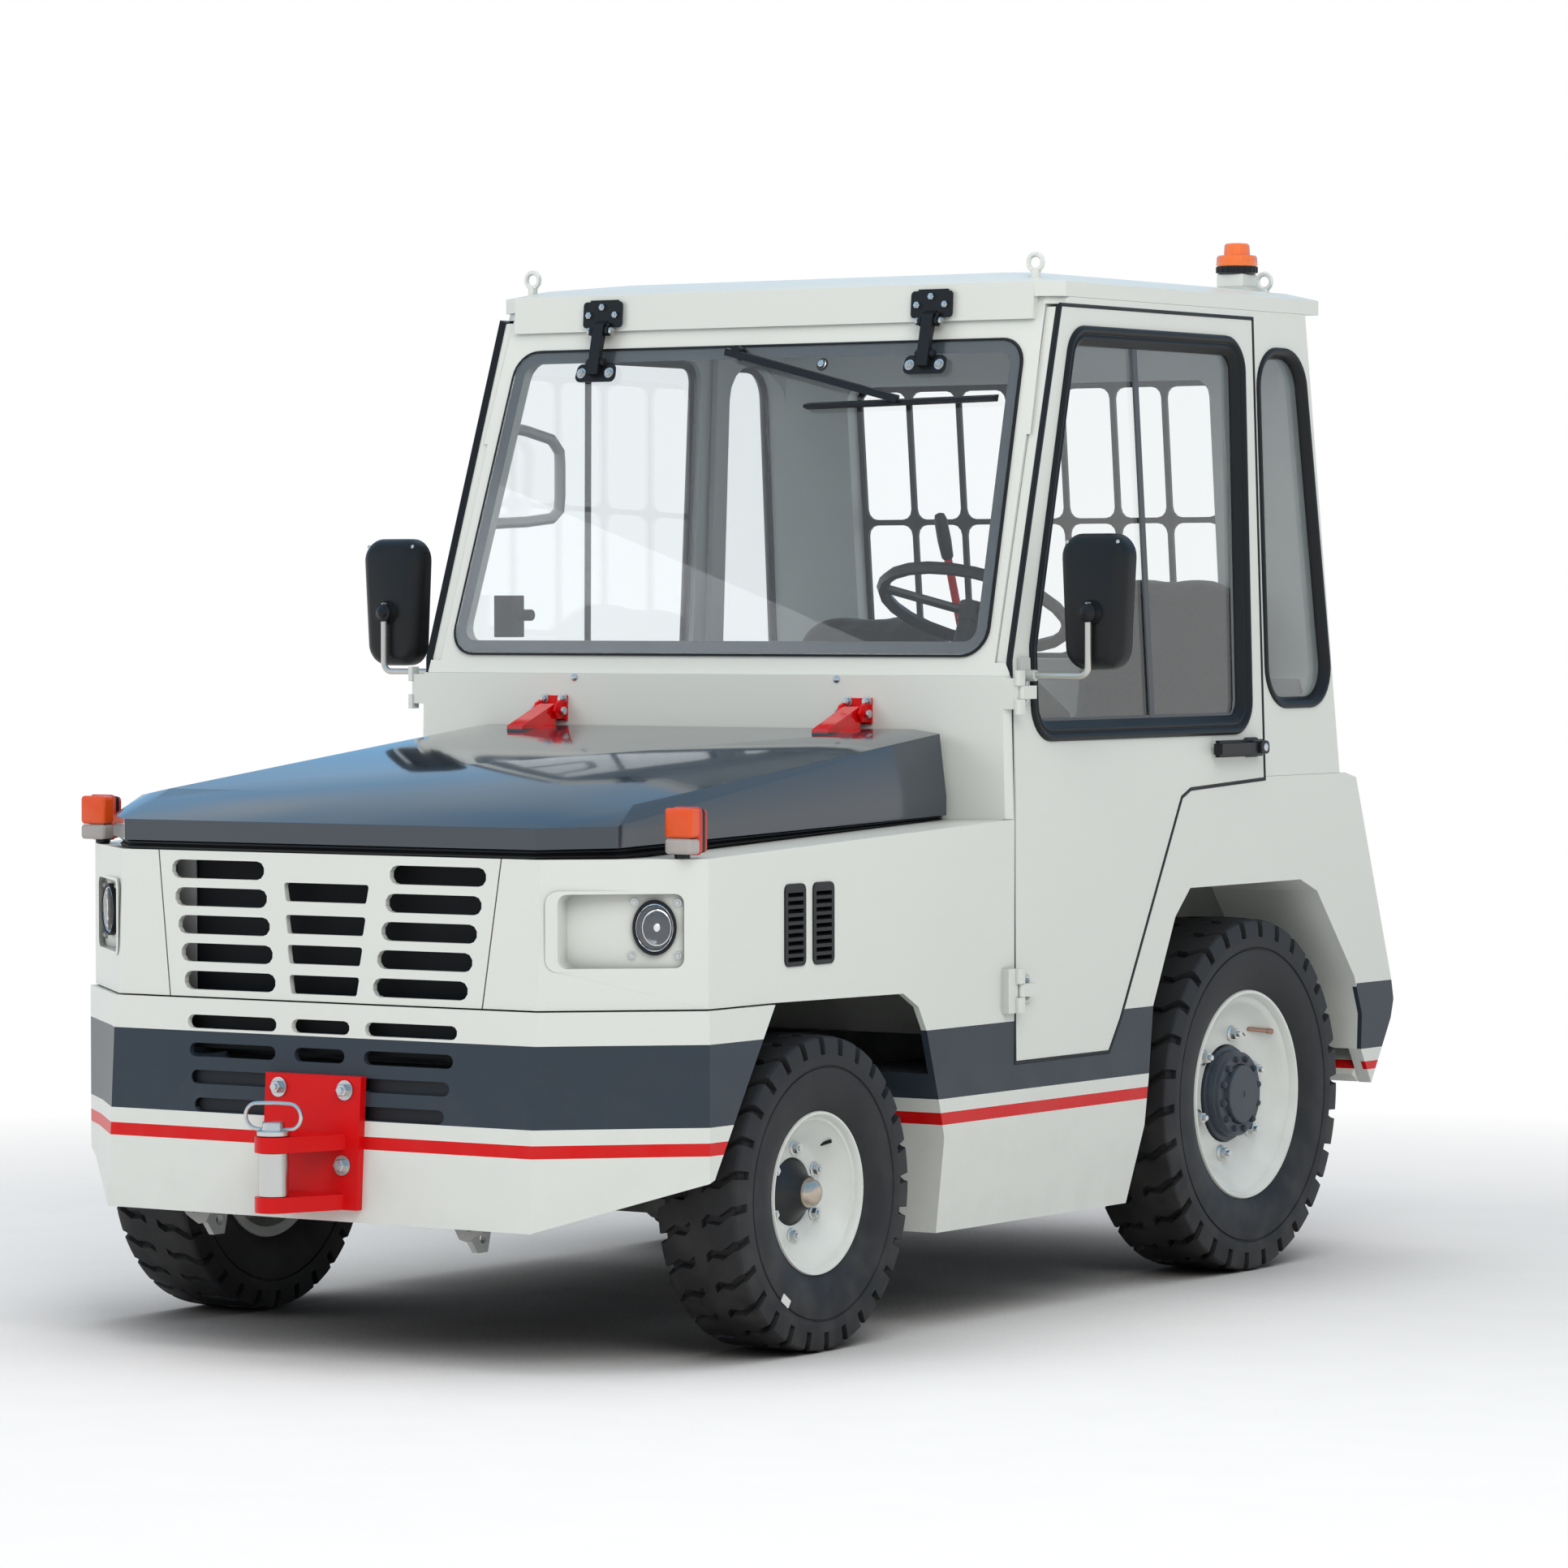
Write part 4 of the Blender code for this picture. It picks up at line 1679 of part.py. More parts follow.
def build_mirror(side, name):
    """Mirror head on a bent arm from the door's upper hinge leaf."""
    y = y_at(MIRROR_ARM_S)
    z = DOOR_HINGE_Z[1] + 0.010
    level = z + 0.020
    face = side_x(z)
    foot = block((face + SEAT, face + 0.014), (MIRROR_ARM_S - 0.012, MIRROR_ARM_S + 0.012), (z, z + 0.040))
    mirror = add_part(name, sided(foot, side), BLACK_PLASTIC, smooth=True)
    ball = (MIRROR_ARM_X, y, sum(MIRROR_Z) / 2 - 0.0115)
    across = rod((face + 0.010, y, level), (MIRROR_ARM_X, y, level), 0.0065, 10)
    upright = rod((MIRROR_ARM_X, y, level - 0.006), ball, 0.0065, 10)
    x0, x1 = MIRROR_X
    z0, z1 = MIRROR_Z
    corners = [(x0 + MIRROR_TAPER, z0), (x1 - MIRROR_TAPER, z0), (x1, z1), (x0, z1)]
    front = MIRROR_ARM_S + 0.012
    head = loft(*[
        [
            (x, y_at(station), level) for x,
            level in rounded(inset(corners, shrink), MIRROR_ROUND - shrink, 3)
        ]
        for station,
        shrink in ((front, MIRROR_EDGE), (front + MIRROR_EDGE, 0.0), (front + MIRROR_DEPTH, 0.0))
    ])
    socket = spin([(-0.02, 0), (-0.02, 0.018), (0.022, 0.018), (0.022, 0)], ball, (0, 1, 0), 14)
    fuse(mirror, sided(across, side), sided(upright, side), sided(head, side), sided(socket, side))
    return mirror


def build_all():
    build_chassis()
    build_bumper()
    build_grille()
    build_engine()
    for side, word in ((1, "left"), (-1, "right")):
        build_wing(side, f"front_wing_{word}")
        build_vent(side, f"wing_vent_{word}")
        build_headlamp(side, f"headlamp_{word}")
        build_turn_signal(side, f"turn_signal_{word}")
        build_hood_hinge(side, f"hood_hinge_{word}")
        build_screen_hinge(side, f"screen_hinge_{word}")
        build_fender(side, f"rear_fender_{word}")
        build_step(side, f"step_{word}")
        build_door(side, (f"door_{word}", f"door_glass_{word}", f"mirror_{word}"))
    build_hood()
    build_cowl()
    build_cab_frame()
    build_roof()
    build_glass()
    build_wiper()
    build_tail()
    build_floor()
    build_front_axle()
    build_rear_axle()
    build_wheels()
    build_front_hitch()
    build_rear_hitch()
    build_beacon()
    build_dashboard()
    build_seat(DRIVER_X, DRIVER_SEAT_TOP_Z, "driver_seat")
    build_seat(PASSENGER_X, PASSENGER_SEAT_TOP_Z, "passenger_seat")


build_all()
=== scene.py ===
"""Looks of a cabbed airport baggage tug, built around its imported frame."""

import json
import logging
import math
from collections.abc import Callable, Iterable, Iterator, Sequence
from dataclasses import dataclass
from enum import Enum

import bmesh
import bpy
from mathutils import Matrix, Vector

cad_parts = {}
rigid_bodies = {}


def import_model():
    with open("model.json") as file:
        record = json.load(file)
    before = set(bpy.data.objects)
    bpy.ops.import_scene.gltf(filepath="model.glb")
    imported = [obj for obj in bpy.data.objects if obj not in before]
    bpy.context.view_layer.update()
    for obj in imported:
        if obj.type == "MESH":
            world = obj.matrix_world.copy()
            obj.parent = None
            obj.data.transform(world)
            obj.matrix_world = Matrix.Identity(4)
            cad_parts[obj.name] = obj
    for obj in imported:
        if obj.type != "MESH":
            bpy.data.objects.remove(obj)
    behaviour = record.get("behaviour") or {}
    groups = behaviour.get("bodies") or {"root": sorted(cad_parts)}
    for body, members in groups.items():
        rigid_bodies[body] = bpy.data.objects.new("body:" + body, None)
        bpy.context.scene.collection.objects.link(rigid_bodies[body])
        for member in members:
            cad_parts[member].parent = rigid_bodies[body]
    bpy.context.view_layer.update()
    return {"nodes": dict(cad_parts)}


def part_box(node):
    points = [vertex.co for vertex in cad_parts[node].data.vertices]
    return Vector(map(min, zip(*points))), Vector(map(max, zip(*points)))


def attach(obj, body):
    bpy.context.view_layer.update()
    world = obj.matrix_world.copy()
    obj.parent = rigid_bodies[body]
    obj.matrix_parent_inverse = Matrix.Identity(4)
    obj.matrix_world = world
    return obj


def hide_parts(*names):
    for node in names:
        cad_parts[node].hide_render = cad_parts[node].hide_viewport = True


for leftover in list(bpy.data.objects):
    bpy.data.objects.remove(leftover)
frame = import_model()

LOG = logging.getLogger("baggage_tug")
Colour = tuple[float, float, float]
Flat = tuple[float, float]
Spot = tuple[float, float, float]
OUT = Vector((1.0, 0.0, 0.0))
FORWARD = Vector((0.0, -1.0, 0.0))
UP = Vector((0.0, 0.0, 1.0))


# Lines of the body, in metres. A station is the distance behind the flat nose.

@dataclass(frozen=True)
class BodyLines:
    """Where the body's planes lie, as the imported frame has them."""

    nose_y: float
    side_half: float = 0.700
    lean: float = 0.0345
    screen_foot: float = 1.221
    screen_lean: float = 0.320
    belt_z: float = 1.216
    crease_z: float = 0.637

    def y(self, station: float) -> float:
        """World Y of a station."""
        return self.nose_y + station

    def side_x(self, z: float) -> float:
        """Half width of the leaning cab side at a height above the deck."""
        return self.side_half - self.lean * (z - 1.0)

    def screen_s(self, z: float) -> float:
        """Station of the windshield plane at a height."""
        return self.screen_foot + self.screen_lean * (z - self.belt_z)

    def apron_s(self, z: float) -> float:
        """Station of the bumper's flat front at a height below the crease."""
        return -0.007 - 0.024 * (self.crease_z - z) / (self.crease_z - 0.250)

    def pocket_s(self, x: float) -> float:
        """Station of the slanting floor of the lamp pocket."""
        return 0.070 + (x - 0.489) * 0.657

    def visor_lean(self, z: float) -> float:
        """How far the visor's face has leaned back at a height."""
        return (z - 1.912) / 0.053 * 0.004

    def on_side(self, point: Flat, out: float) -> Vector:
        """Point of the left side of body or cab, from station, height and distance proud.

        Args:
            point: Station and height.
            out: Distance proud of the side.

        Returns:
            The point.
        """
        station, z = point
        x = self.side_half if z < 1.0 else self.side_x(z)
        return Vector((x + out, self.y(station), z))

    def on_screen(self, point: Flat, out: float) -> Vector:
        """Point of the windshield plane, from x, height and distance proud."""
        x, z = point
        return Vector((x, self.y(self.screen_s(z) - out), z))


LINES = BodyLines(nose_y=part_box("grille_panel")[0].y)
SIDES = ((1, "left"), (-1, "right"))


# Mesh making

def rounded(corners: Sequence[Flat], radius: float, steps: int = 6) -> list[Flat]:
    """Outline with its corners turned into arcs.

    Args:
        corners: Corner points in order.
        radius: Radius of every corner.
        steps: Segments in each arc.

    Returns:
        The points of the rounded outline.
    """
    points: list[Flat] = []
    for index, corner in enumerate(corners):
        here = Vector(corner)
        back = (Vector(corners[index - 1]) - here).normalized()
        ahead = (Vector(corners[(index + 1) % len(corners)]) - here).normalized()
        half = back.angle(ahead) / 2
        reach = radius / math.tan(half)
        middle = here + (back + ahead).normalized() * (radius / math.sin(half))
        start = here + back * reach - middle
        end = here + ahead * reach - middle
        sweep = start.angle_signed(end)
        for step in range(steps + 1):
            turned = start.copy()
            turned.rotate(Matrix.Rotation(-sweep * step / steps, 2))
            points.append(tuple(middle + turned))
    return points


def rounded_box(low: Flat, high: Flat, radius: float, steps: int) -> list[Flat]:
    """Rectangle between two corners, with round corners."""
    return rounded([low, (high[0], low[1]), high, (low[0], high[1])], radius, steps)


def grown(outline: Sequence[Flat], margin: float) -> list[Flat]:
    """Outline moved outwards by a margin, for convex shapes.

    Args:
        outline: Points in order round a convex shape.
        margin: Distance outwards, negative for inwards.

    Returns:
        The points of the larger outline.
    """
    centre = sum((Vector(p) for p in outline), Vector((0.0, 0.0))) / len(outline)
    points: list[Flat] = []
    for index, point in enumerate(outline):
        here = Vector(point)
        along = Vector(outline[(index + 1) % len(outline)]) - Vector(outline[index - 1])
        normal = Vector((along.y, -along.x)).normalized()
        if normal.dot(here - centre) < 0:
            normal = -normal
        points.append(tuple(here + normal * margin))
    return points


class Mesher:
    """Gathers forms in one mesh and turns them into a piece."""

    def __init__(self) -> None:
        """Start with an empty mesh."""
        self.mesh = bmesh.new()

    def loft(self, rings: Sequence[Sequence[Vector]], caps: bool = True, loop: bool = False) -> None:
        """Skin through rings of equal counts.

        Args:
            rings: Closed rings of points.
            caps: Close the two ends.
            loop: Join the last ring to the first.
        """
        made = [[self.mesh.verts.new(point) for point in ring] for ring in rings]
        count = len(made[0])
        for index in range(len(made) if loop else len(made) - 1):
            low = made[index]
            high = made[(index + 1) % len(made)]
            for k in range(count):
                self.mesh.faces.new((low[k], low[(k + 1) % count], high[(k + 1) % count], high[k]))
        if caps and not loop:
            self.mesh.faces.new(made[0][::-1])
            self.mesh.faces.new(made[-1])

    def prism(self, outline: Sequence[Vector], offset: Vector) -> None:
        """Plate from a flat outline, thickened by an offset."""
        self.loft([list(outline), [Vector(point) + offset for point in outline]])

    def pad(self, outline: Sequence[Flat], proud: float, thick: float) -> None:
        """Plate on the left side, from stations and heights, a distance proud of it."""
        self.prism([LINES.on_side(point, proud) for point in outline], OUT * thick)

    def box(self, low: Sequence[float], high: Sequence[float]) -> None:
        """Box between two corners, along the axes.

        Args:
            low: Corner with the least values.
            high: Corner with the greatest values.
        """
        (x0, y0, z0), (x1, y1, z1) = low, high
        base = [Vector((x0, y0, z0)), Vector((x1, y0, z0)), Vector((x1, y1, z0)), Vector((x0, y1, z0))]
        self.prism(base, Vector((0.0, 0.0, z1 - z0)))

    def lathe(
        self, profile: Sequence[Flat], origin: Vector, axis: Vector, steps: int = 32, closed: bool = False,
    ) -> None:
        """Turned form.

        Args:
            profile: Points as distance along the axis and radius.
            origin: Where the axis starts.
            axis: Direction of the axis.
            steps: Segments round the axis.
            closed: The profile comes back to its first point.
        """
        across, up = cross_axes(axis)
        rings = []
        for along, radius in profile:
            ring = []
            for step in range(steps):
                angle = 2 * math.pi * step / steps
                spoke = across * math.cos(angle) + up * math.sin(angle)
                ring.append(origin + axis.normalized() * along + spoke * max(radius, 1e-5))
            rings.append(ring)
        self.loft(rings, caps=not closed, loop=closed)

    def rod(self, start: Vector, end: Vector, radius: float, steps: int = 16) -> None:
        """Straight round bar with a small chamfer at each end.

        Args:
            start: Middle of one end.
            end: Middle of the other end.
            radius: Radius of the bar.
            steps: Segments round the bar.
        """
        axis = end - start
        rim = min(radius * 0.2, axis.length * 0.2)
        profile = [
            (0.0, radius - rim), (rim, radius), (axis.length - rim, radius), (axis.length, radius - rim)
        ]
        self.lathe(profile, start, axis, steps)

    def bar(self, middle: Vector, half: float, radius: float, steps: int = 20) -> None:
        """Round bar square to the machine's length, about its middle."""
        self.rod(middle - OUT * half, middle + OUT * half, radius, steps)

    def tube(self, path: Sequence[Vector], radius: float, steps: int = 10, closed: bool = False) -> None:
        """Round wire along a path.

        Args:
            path: Points along the middle of the wire.
            radius: Radius of the wire.
            steps: Sides of the wire.
            closed: The path comes back to its first point.
        """
        count = len(path)
        rings = []
        across: Vector | None = None
        for index, point in enumerate(path):
            before = path[index - 1] if index or closed else point
            after = path[(index + 1) % count] if index + 1 < count or closed else point
            along = (after - before).normalized()
            if across is None:
                across = cross_axes(along)[0]
            across = (across - along * across.dot(along)).normalized()
            up = along.cross(across)
            turns = (2 * math.pi * k / steps for k in range(steps))
            rings.append([point + (across * math.cos(a) + up * math.sin(a)) * radius for a in turns])
        self.loft(rings, caps=not closed, loop=closed)

    def bolt(self, at: Vector, normal: Vector, across: float = 0.013, washer: bool = True) -> None:
        """Hexagon bolt head on a washer.

        Args:
            at: Point on the surface under the washer.
            normal: Direction away from the surface.
            across: Width of the head over its flats.
            washer: Put a washer under the head.
        """
        axis = normal.normalized()
        base = 0.0
        if washer:
            base = across * 0.14
            self.lathe([(0.0, across * 0.86), (base, across * 0.86), (base, across * 0.2)], at, axis, 20)
        top = base + across * 0.55
        flat = across / math.sqrt(3)
        head = [(base - 0.0002, flat), (top - across * 0.06, flat), (top, flat * 0.86)]
        self.lathe(head, at, axis, 6)
        self.lathe([(top - 0.001, flat * 0.5), (top + across * 0.16, flat * 0.46)], at, axis, 12)

    def dome(self, at: Vector, normal: Vector, radius: float) -> None:
        """Round screw head.

        Args:
            at: Point on the surface under the head.
            normal: Direction away from the surface.
            radius: Radius of the head.
        """
        profile = [
            (0.0, radius), (radius * 0.25, radius * 0.95), (radius * 0.5, radius * 0.6),
            (radius * 0.58, 0.0)
        ]
        self.lathe(profile, at, normal, 14)

    def piece(
        self, name: str, body: str, skin: "Skin", slot: str,
        side: int = 1, bevel: float = 0.0, sharp: float = 35.0,
    ) -> bpy.types.Object:
        """Turn the gathered forms into a named piece that rides on a body.

        Args:
            name: Name of the piece.
            body: Body that it moves with.
            skin: Finish of the whole piece.
            slot: Not used.
            side: 1 as modelled, -1 mirrored to the right.
            bevel: Width of the bevel on sharp edges, 0 for none.
            sharp: Angle in degrees past which an edge stays crisp.

        Returns:
            The new object.
        """
        work = self.mesh
        if side < 0:
            bmesh.ops.scale(work, vec=(-1.0, 1.0, 1.0), verts=work.verts)
        bmesh.ops.remove_doubles(work, verts=work.verts, dist=2e-5)
        loose = [vert for vert in work.verts if not vert.link_faces]
        bmesh.ops.delete(work, geom=loose, context="VERTS")
        bmesh.ops.recalc_face_normals(work, faces=work.faces)
        data = bpy.data.meshes.new(name)
        work.to_mesh(data)
        work.free()
        data.materials.append(skin.material)
        data.shade_smooth()
        data.set_sharp_from_angle(angle=math.radians(sharp))
        made = bpy.data.objects.new(name, data)
        bpy.context.scene.collection.objects.link(made)
        if bevel:
            soften(made, bevel, 2, sharp)
        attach(made, body)
        LOG.info("piece %s on %s", name, body)
        return made


def cross_axes(axis: Vector) -> tuple[Vector, Vector]:
    """Two unit vectors square to an axis and to each other.

    Args:
        axis: Direction, of any length.

    Returns:
        The two vectors.
    """
    unit = axis.normalized()
    guide = UP if abs(unit.z) < 0.9 else OUT
    across = guide.cross(unit).normalized()
    return across, unit.cross(across)


def soften(target: bpy.types.Object, width: float, segments: int, sharp: float) -> None:
    """Put a narrow bevel with even shading on a piece's sharp edges.

    Args:
        target: The piece.
        width: Width of the bevel.
        segments: Steps across the bevel.
        sharp: Angle in degrees past which an edge is sharp.
    """
    bevel = target.modifiers.new("soft_edges", "BEVEL")
    bevel.limit_method = "ANGLE"
    bevel.angle_limit = math.radians(sharp)
    bevel.width = width
    bevel.segments = segments
    bevel.miter_outer = "MITER_ARC"
    bevel.harden_normals = True
    bevel.use_clamp_overlap = True


# Node graphs

class Graph:
    """Short hand for adding and joining the nodes of one tree."""

    def __init__(self, tree: bpy.types.NodeTree) -> None:
        """Work on a node tree."""
        self.tree = tree

    def add(self, kind: str, settings: dict[str, object] | None = None, **inputs: object) -> bpy.types.Node:
        """Add a node.

        Args:
            kind: Type of the node.
            settings: Properties to set on it.
            inputs: Value or socket for each input; an underscore stands for a space.

        Returns:
            The new node.
        """
        node = self.tree.nodes.new(kind)
        for key, value in (settings or {}).items():
            setattr(node, key, value)
        for key, value in inputs.items():
            name = key.replace("_", " ")
            socket = node.inputs[int(key[1:])] if key[0] == "i" and key[1:].isdigit() else node.inputs[name]
            self.feed(socket, value)
        return node

    def feed(self, socket: bpy.types.NodeSocket, value: object) -> None:
        """Give an input a value, or join it to an output.

        Args:
            socket: The input.
            value: Value, colour of three parts or output socket.
        """
        if isinstance(value, bpy.types.NodeSocket):
            self.tree.links.new(value, socket)
        elif isinstance(value, tuple) and len(value) == 3 and socket.type == "RGBA":
            socket.default_value = (*value, 1.0)
        else:
            socket.default_value = value

    def math(
        self, operation: str, first: object, second: object = 0.0, clamp: bool = False
    ) -> bpy.types.NodeSocket:
        """One step of arithmetic."""
        settings = {"operation": operation, "use_clamp": clamp}
        return self.add("ShaderNodeMath", settings, i0=first, i1=second).outputs[0]

    def vector(self, operation: str, first: object, second: object) -> bpy.types.Node:
        """One step of vector arithmetic."""
        return self.add("ShaderNodeVectorMath", {"operation": operation}, i0=first, i1=second)

    def scaled(self, colour: object, factor: object) -> bpy.types.NodeSocket:
        """Colour times a number.

        Args:
            colour: Colour or socket.
            factor: Number or socket.

        Returns:
            The new colour.
        """
        node = self.add("ShaderNodeVectorMath", {"operation": "SCALE"}, i0=colour)
        self.feed(node.inputs["Scale"], factor)
        return node.outputs[0]

    def mix(self, share: object, first: object, second: object, blend: str = "MIX") -> bpy.types.NodeSocket:
        """Mix of two colours.

        Args:
            share: How much of the second colour, 0 to 1.
            first: First colour.
            second: Second colour.
            blend: Way of mixing.

        Returns:
            The mixed colour.
        """
        node = self.add("ShaderNodeMix", {"data_type": "RGBA", "blend_type": blend})
        self.feed(node.inputs[0], share)
        self.feed(node.inputs[6], first)
        self.feed(node.inputs[7], second)
        return node.outputs[2]

    def ramp(
        self, value: object, low: float, high: float, out_low: float = 0.0, out_high: float = 1.0
    ) -> bpy.types.NodeSocket:
        """Straight mapping of a range, clamped.

        Args:
            value: What is mapped.
            low: Value that gives out_low.
            high: Value that gives out_high.
            out_low: Result at the low end.
            out_high: Result at the high end.

        Returns:
            The mapped number.
        """
        node = self.add("ShaderNodeMapRange", {"clamp": True})
        for index, number in enumerate((value, low, high, out_low, out_high)):
            self.feed(node.inputs[index], number)
        return node.outputs[0]

    def noise(self, where: object, scale: object, detail: float = 3.0) -> bpy.types.NodeSocket:
        """Cloud pattern between 0 and 1."""
        return self.add("ShaderNodeTexNoise", None, Vector=where, Scale=scale, Detail=detail).outputs[0]

    def bump(
        self, shader: bpy.types.Node, strength: float, depth: float, height: bpy.types.NodeSocket
    ) -> None:
        """Give a shader a rough surface of a depth in metres."""
        node = self.add("ShaderNodeBump", None, Strength=strength, Distance=depth, Height=height)
        self.feed(shader.inputs["Normal"], node.outputs[0])

    def split(self, vector: object) -> bpy.types.NodeOutputs:
        """The three parts of a vector."""
        return self.add("ShaderNodeSeparateXYZ", None, Vector=vector).outputs

    def place(self, output: str = "Object") -> bpy.types.NodeSocket:
        """Place of the shaded point in the piece's own space."""
        return self.add("ShaderNodeTexCoord").outputs[output]


SocketList = Iterable[tuple[str, str, object]]


def new_group(
    name: str, takes: SocketList, gives: Iterable[tuple[str, str]],
    fill: Callable[[Graph, bpy.types.Node], dict[str, bpy.types.NodeSocket]],
) -> bpy.types.NodeTree:
    """Shader node group, made once.

    Args:
        name: Name of the group.
        takes: Inputs as name, socket type and default value.
        gives: Outputs as name and socket type.
        fill: Adds the nodes and returns the socket for each output.

    Returns:
        The group's tree.
    """
    if name in bpy.data.node_groups:
        return bpy.data.node_groups[name]
    tree = bpy.data.node_groups.new(name, "ShaderNodeTree")
    for label, kind, value in takes:
        socket = tree.interface.new_socket(label, in_out="INPUT", socket_type=kind)
        socket.default_value = (*value, 1.0) if kind == "NodeSocketColor" else value
    for label, kind in gives:
        tree.interface.new_socket(label, in_out="OUTPUT", socket_type=kind)
    source = tree.nodes.new("NodeGroupInput")
    sink = tree.nodes.new("NodeGroupOutput")
    for label, socket in fill(Graph(tree), source).items():
        tree.links.new(socket, sink.inputs[label])
    return tree


COLOUR = "NodeSocketColor"
NUMBER = "NodeSocketFloat"
VECTOR = "NodeSocketVector"


def film_group() -> bpy.types.NodeTree:
    """Group for a sprayed or moulded surface: slight clouds of tone and a fine grain.

    Returns:
        The group's tree.
    """
    takes = (
        ("Colour", COLOUR, (0.8, 0.8, 0.8)), ("Mottle", NUMBER, 0.03), ("Roughness", NUMBER, 0.4),
        ("Grain Scale", NUMBER, 600.0),
    )

    def fill(graph: Graph, source: bpy.types.Node) -> dict[str, bpy.types.NodeSocket]:
        """Clouds change the tone and the gloss, grain gives the height.

        Args:
            graph: Graph of the group.
            source: Node that hands over the group's inputs.

        Returns:
            The socket for each output of the group.
        """
        where = graph.place()
        clouds = graph.noise(where, 3.5, 4.0)
        swing = graph.math("MULTIPLY", graph.math("SUBTRACT", clouds, 0.5), source.outputs["Mottle"])
        shade = graph.math("ADD", 1.0, graph.math("MULTIPLY", swing, 2.0))
        tone = graph.scaled(source.outputs["Colour"], shade)
        gloss = graph.math(
            "ADD", source.outputs["Roughness"], graph.math("MULTIPLY", swing, 1.5), clamp=True
        )
        grain = graph.noise(where, source.outputs["Grain Scale"], 2.0)
        return {"Colour": tone, "Roughness": gloss, "Height": grain}

    return new_group(
        "surface_film", takes, (("Colour", COLOUR), ("Roughness", NUMBER), ("Height", NUMBER)), fill
    )


def overlay_group(
    name: str, label: str, tone: Colour, extras: SocketList,
    mask: Callable[[Graph, bpy.types.NodeOutputs], bpy.types.NodeSocket],
) -> bpy.types.NodeTree:
    """Group that lays a second colour over the first where its mask is 1.

    Args:
        name: Name of the group.
        label: Name of the input for the second colour.
        tone: Default of the second colour.
        extras: Further inputs that the mask uses.
        mask: Adds the mask's nodes, from the values given to the group.

    Returns:
        The group's tree.
    """
    takes = (("Colour", COLOUR, (0.8, 0.8, 0.8)), (label, COLOUR, tone), *extras)

    def fill(graph: Graph, source: bpy.types.Node) -> dict[str, bpy.types.NodeSocket]:
        """Mix of the two colours by the mask.

        Args:
            graph: Graph of the group.
            source: Node that hands over the group's inputs.

        Returns:
            The socket for each output of the group.
        """
        given = source.outputs
        share = mask(graph, given)
        return {"Colour": graph.mix(share, given["Colour"], given[label]), "Mask": share}

    return new_group(name, takes, (("Colour", COLOUR), ("Mask", NUMBER)), fill)


def dust_mask(graph: Graph, given: bpy.types.NodeOutputs) -> bpy.types.NodeSocket:
    """Patches that thicken towards the ground.

    Args:
        graph: Graph of the group.
        given: Values given to the group.

    Returns:
        A socket that is 1 where the second colour lies.
    """
    where = graph.place()
    height = graph.split(where)[2]
    near = graph.math("SUBTRACT", 1.0, graph.math("DIVIDE", height, given["Top"]), clamp=True)
    patch = graph.ramp(graph.noise(where, 14.0, 5.0), 0.42, 0.72)
    return graph.math("MULTIPLY", graph.math("MULTIPLY", near, patch), given["Amount"], clamp=True)


def band_mask(graph: Graph, given: bpy.types.NodeOutputs) -> bpy.types.NodeSocket:
    """Crisp mask between foot and top.

    Args:
        graph: Graph of the group.
        given: Values given to the group.

    Returns:
        A socket that is 1 where the second colour lies.
    """
    height = graph.split(graph.place())[2]
    over = graph.math("GREATER_THAN", height, given["Foot"])
    return graph.math("MULTIPLY", over, graph.math("LESS_THAN", height, given["Top"]))


def inner_mask(graph: Graph, given: bpy.types.NodeOutputs) -> bpy.types.NodeSocket:
    """Faces of a hollow body whose normals point towards its middle.

    Args:
        graph: Graph of the group.
        given: Values given to the group.

    Returns:
        A socket that is 1 where the second colour lies.
    """
    away = graph.vector("SUBTRACT", graph.place(), given["Middle"]).outputs[0]
    facing = graph.vector("DOT_PRODUCT", away, graph.place("Normal")).outputs["Value"]
    return graph.math("LESS_THAN", facing, 0.0)


def box_mask(graph: Graph, given: bpy.types.NodeOutputs) -> bpy.types.NodeSocket:
    """Inside of a box, both sides alike, since the across axis loses its sign.

    Args:
        graph: Graph of the group.
        given: Values given to the group.

    Returns:
        A socket that is 1 where the second colour lies.
    """
    where, low, high = (graph.split(place) for place in (graph.place(), given["Low"], given["High"]))
    mask: bpy.types.NodeSocket | None = None
    for axis in range(3):
        here = where[axis] if axis else graph.math("ABSOLUTE", where[axis])
        for operation, limit in (("GREATER_THAN", low[axis]), ("LESS_THAN", high[axis])):
            test = graph.math(operation, here, limit)
            mask = test if mask is None else graph.math("MULTIPLY", mask, test)
    return mask


def dust_group() -> bpy.types.NodeTree:
    """Group for the thin dust that road use leaves low on a machine."""
    extras = (("Amount", NUMBER, 0.2), ("Top", NUMBER, 0.6))
    return overlay_group("road_dust", "Dust Colour", (0.30, 0.28, 0.25), extras, dust_mask)


def band_group() -> bpy.types.NodeTree:
    """Group that paints one level band between two heights."""
    extras = (("Foot", NUMBER, 0.0), ("Top", NUMBER, 0.1))
    return overlay_group("level_band", "Band Colour", (0.1, 0.1, 0.1), extras, band_mask)


def inner_group() -> bpy.types.NodeTree:
    """Group that gives the inside of a hollow body another colour."""
    extras = (("Middle", VECTOR, (0.0, 0.0, 1.0)),)
    return overlay_group("inner_faces", "Inner Colour", (0.3, 0.3, 0.3), extras, inner_mask)


def box_group() -> bpy.types.NodeTree:
    """Group that gives another colour inside a box."""
    extras = (("Low", VECTOR, (0.0, 0.0, 0.0)), ("High", VECTOR, (1.0, 1.0, 1.0)))
    return overlay_group("box_patch", "Box Colour", (0.1, 0.1, 0.1), extras, box_mask)


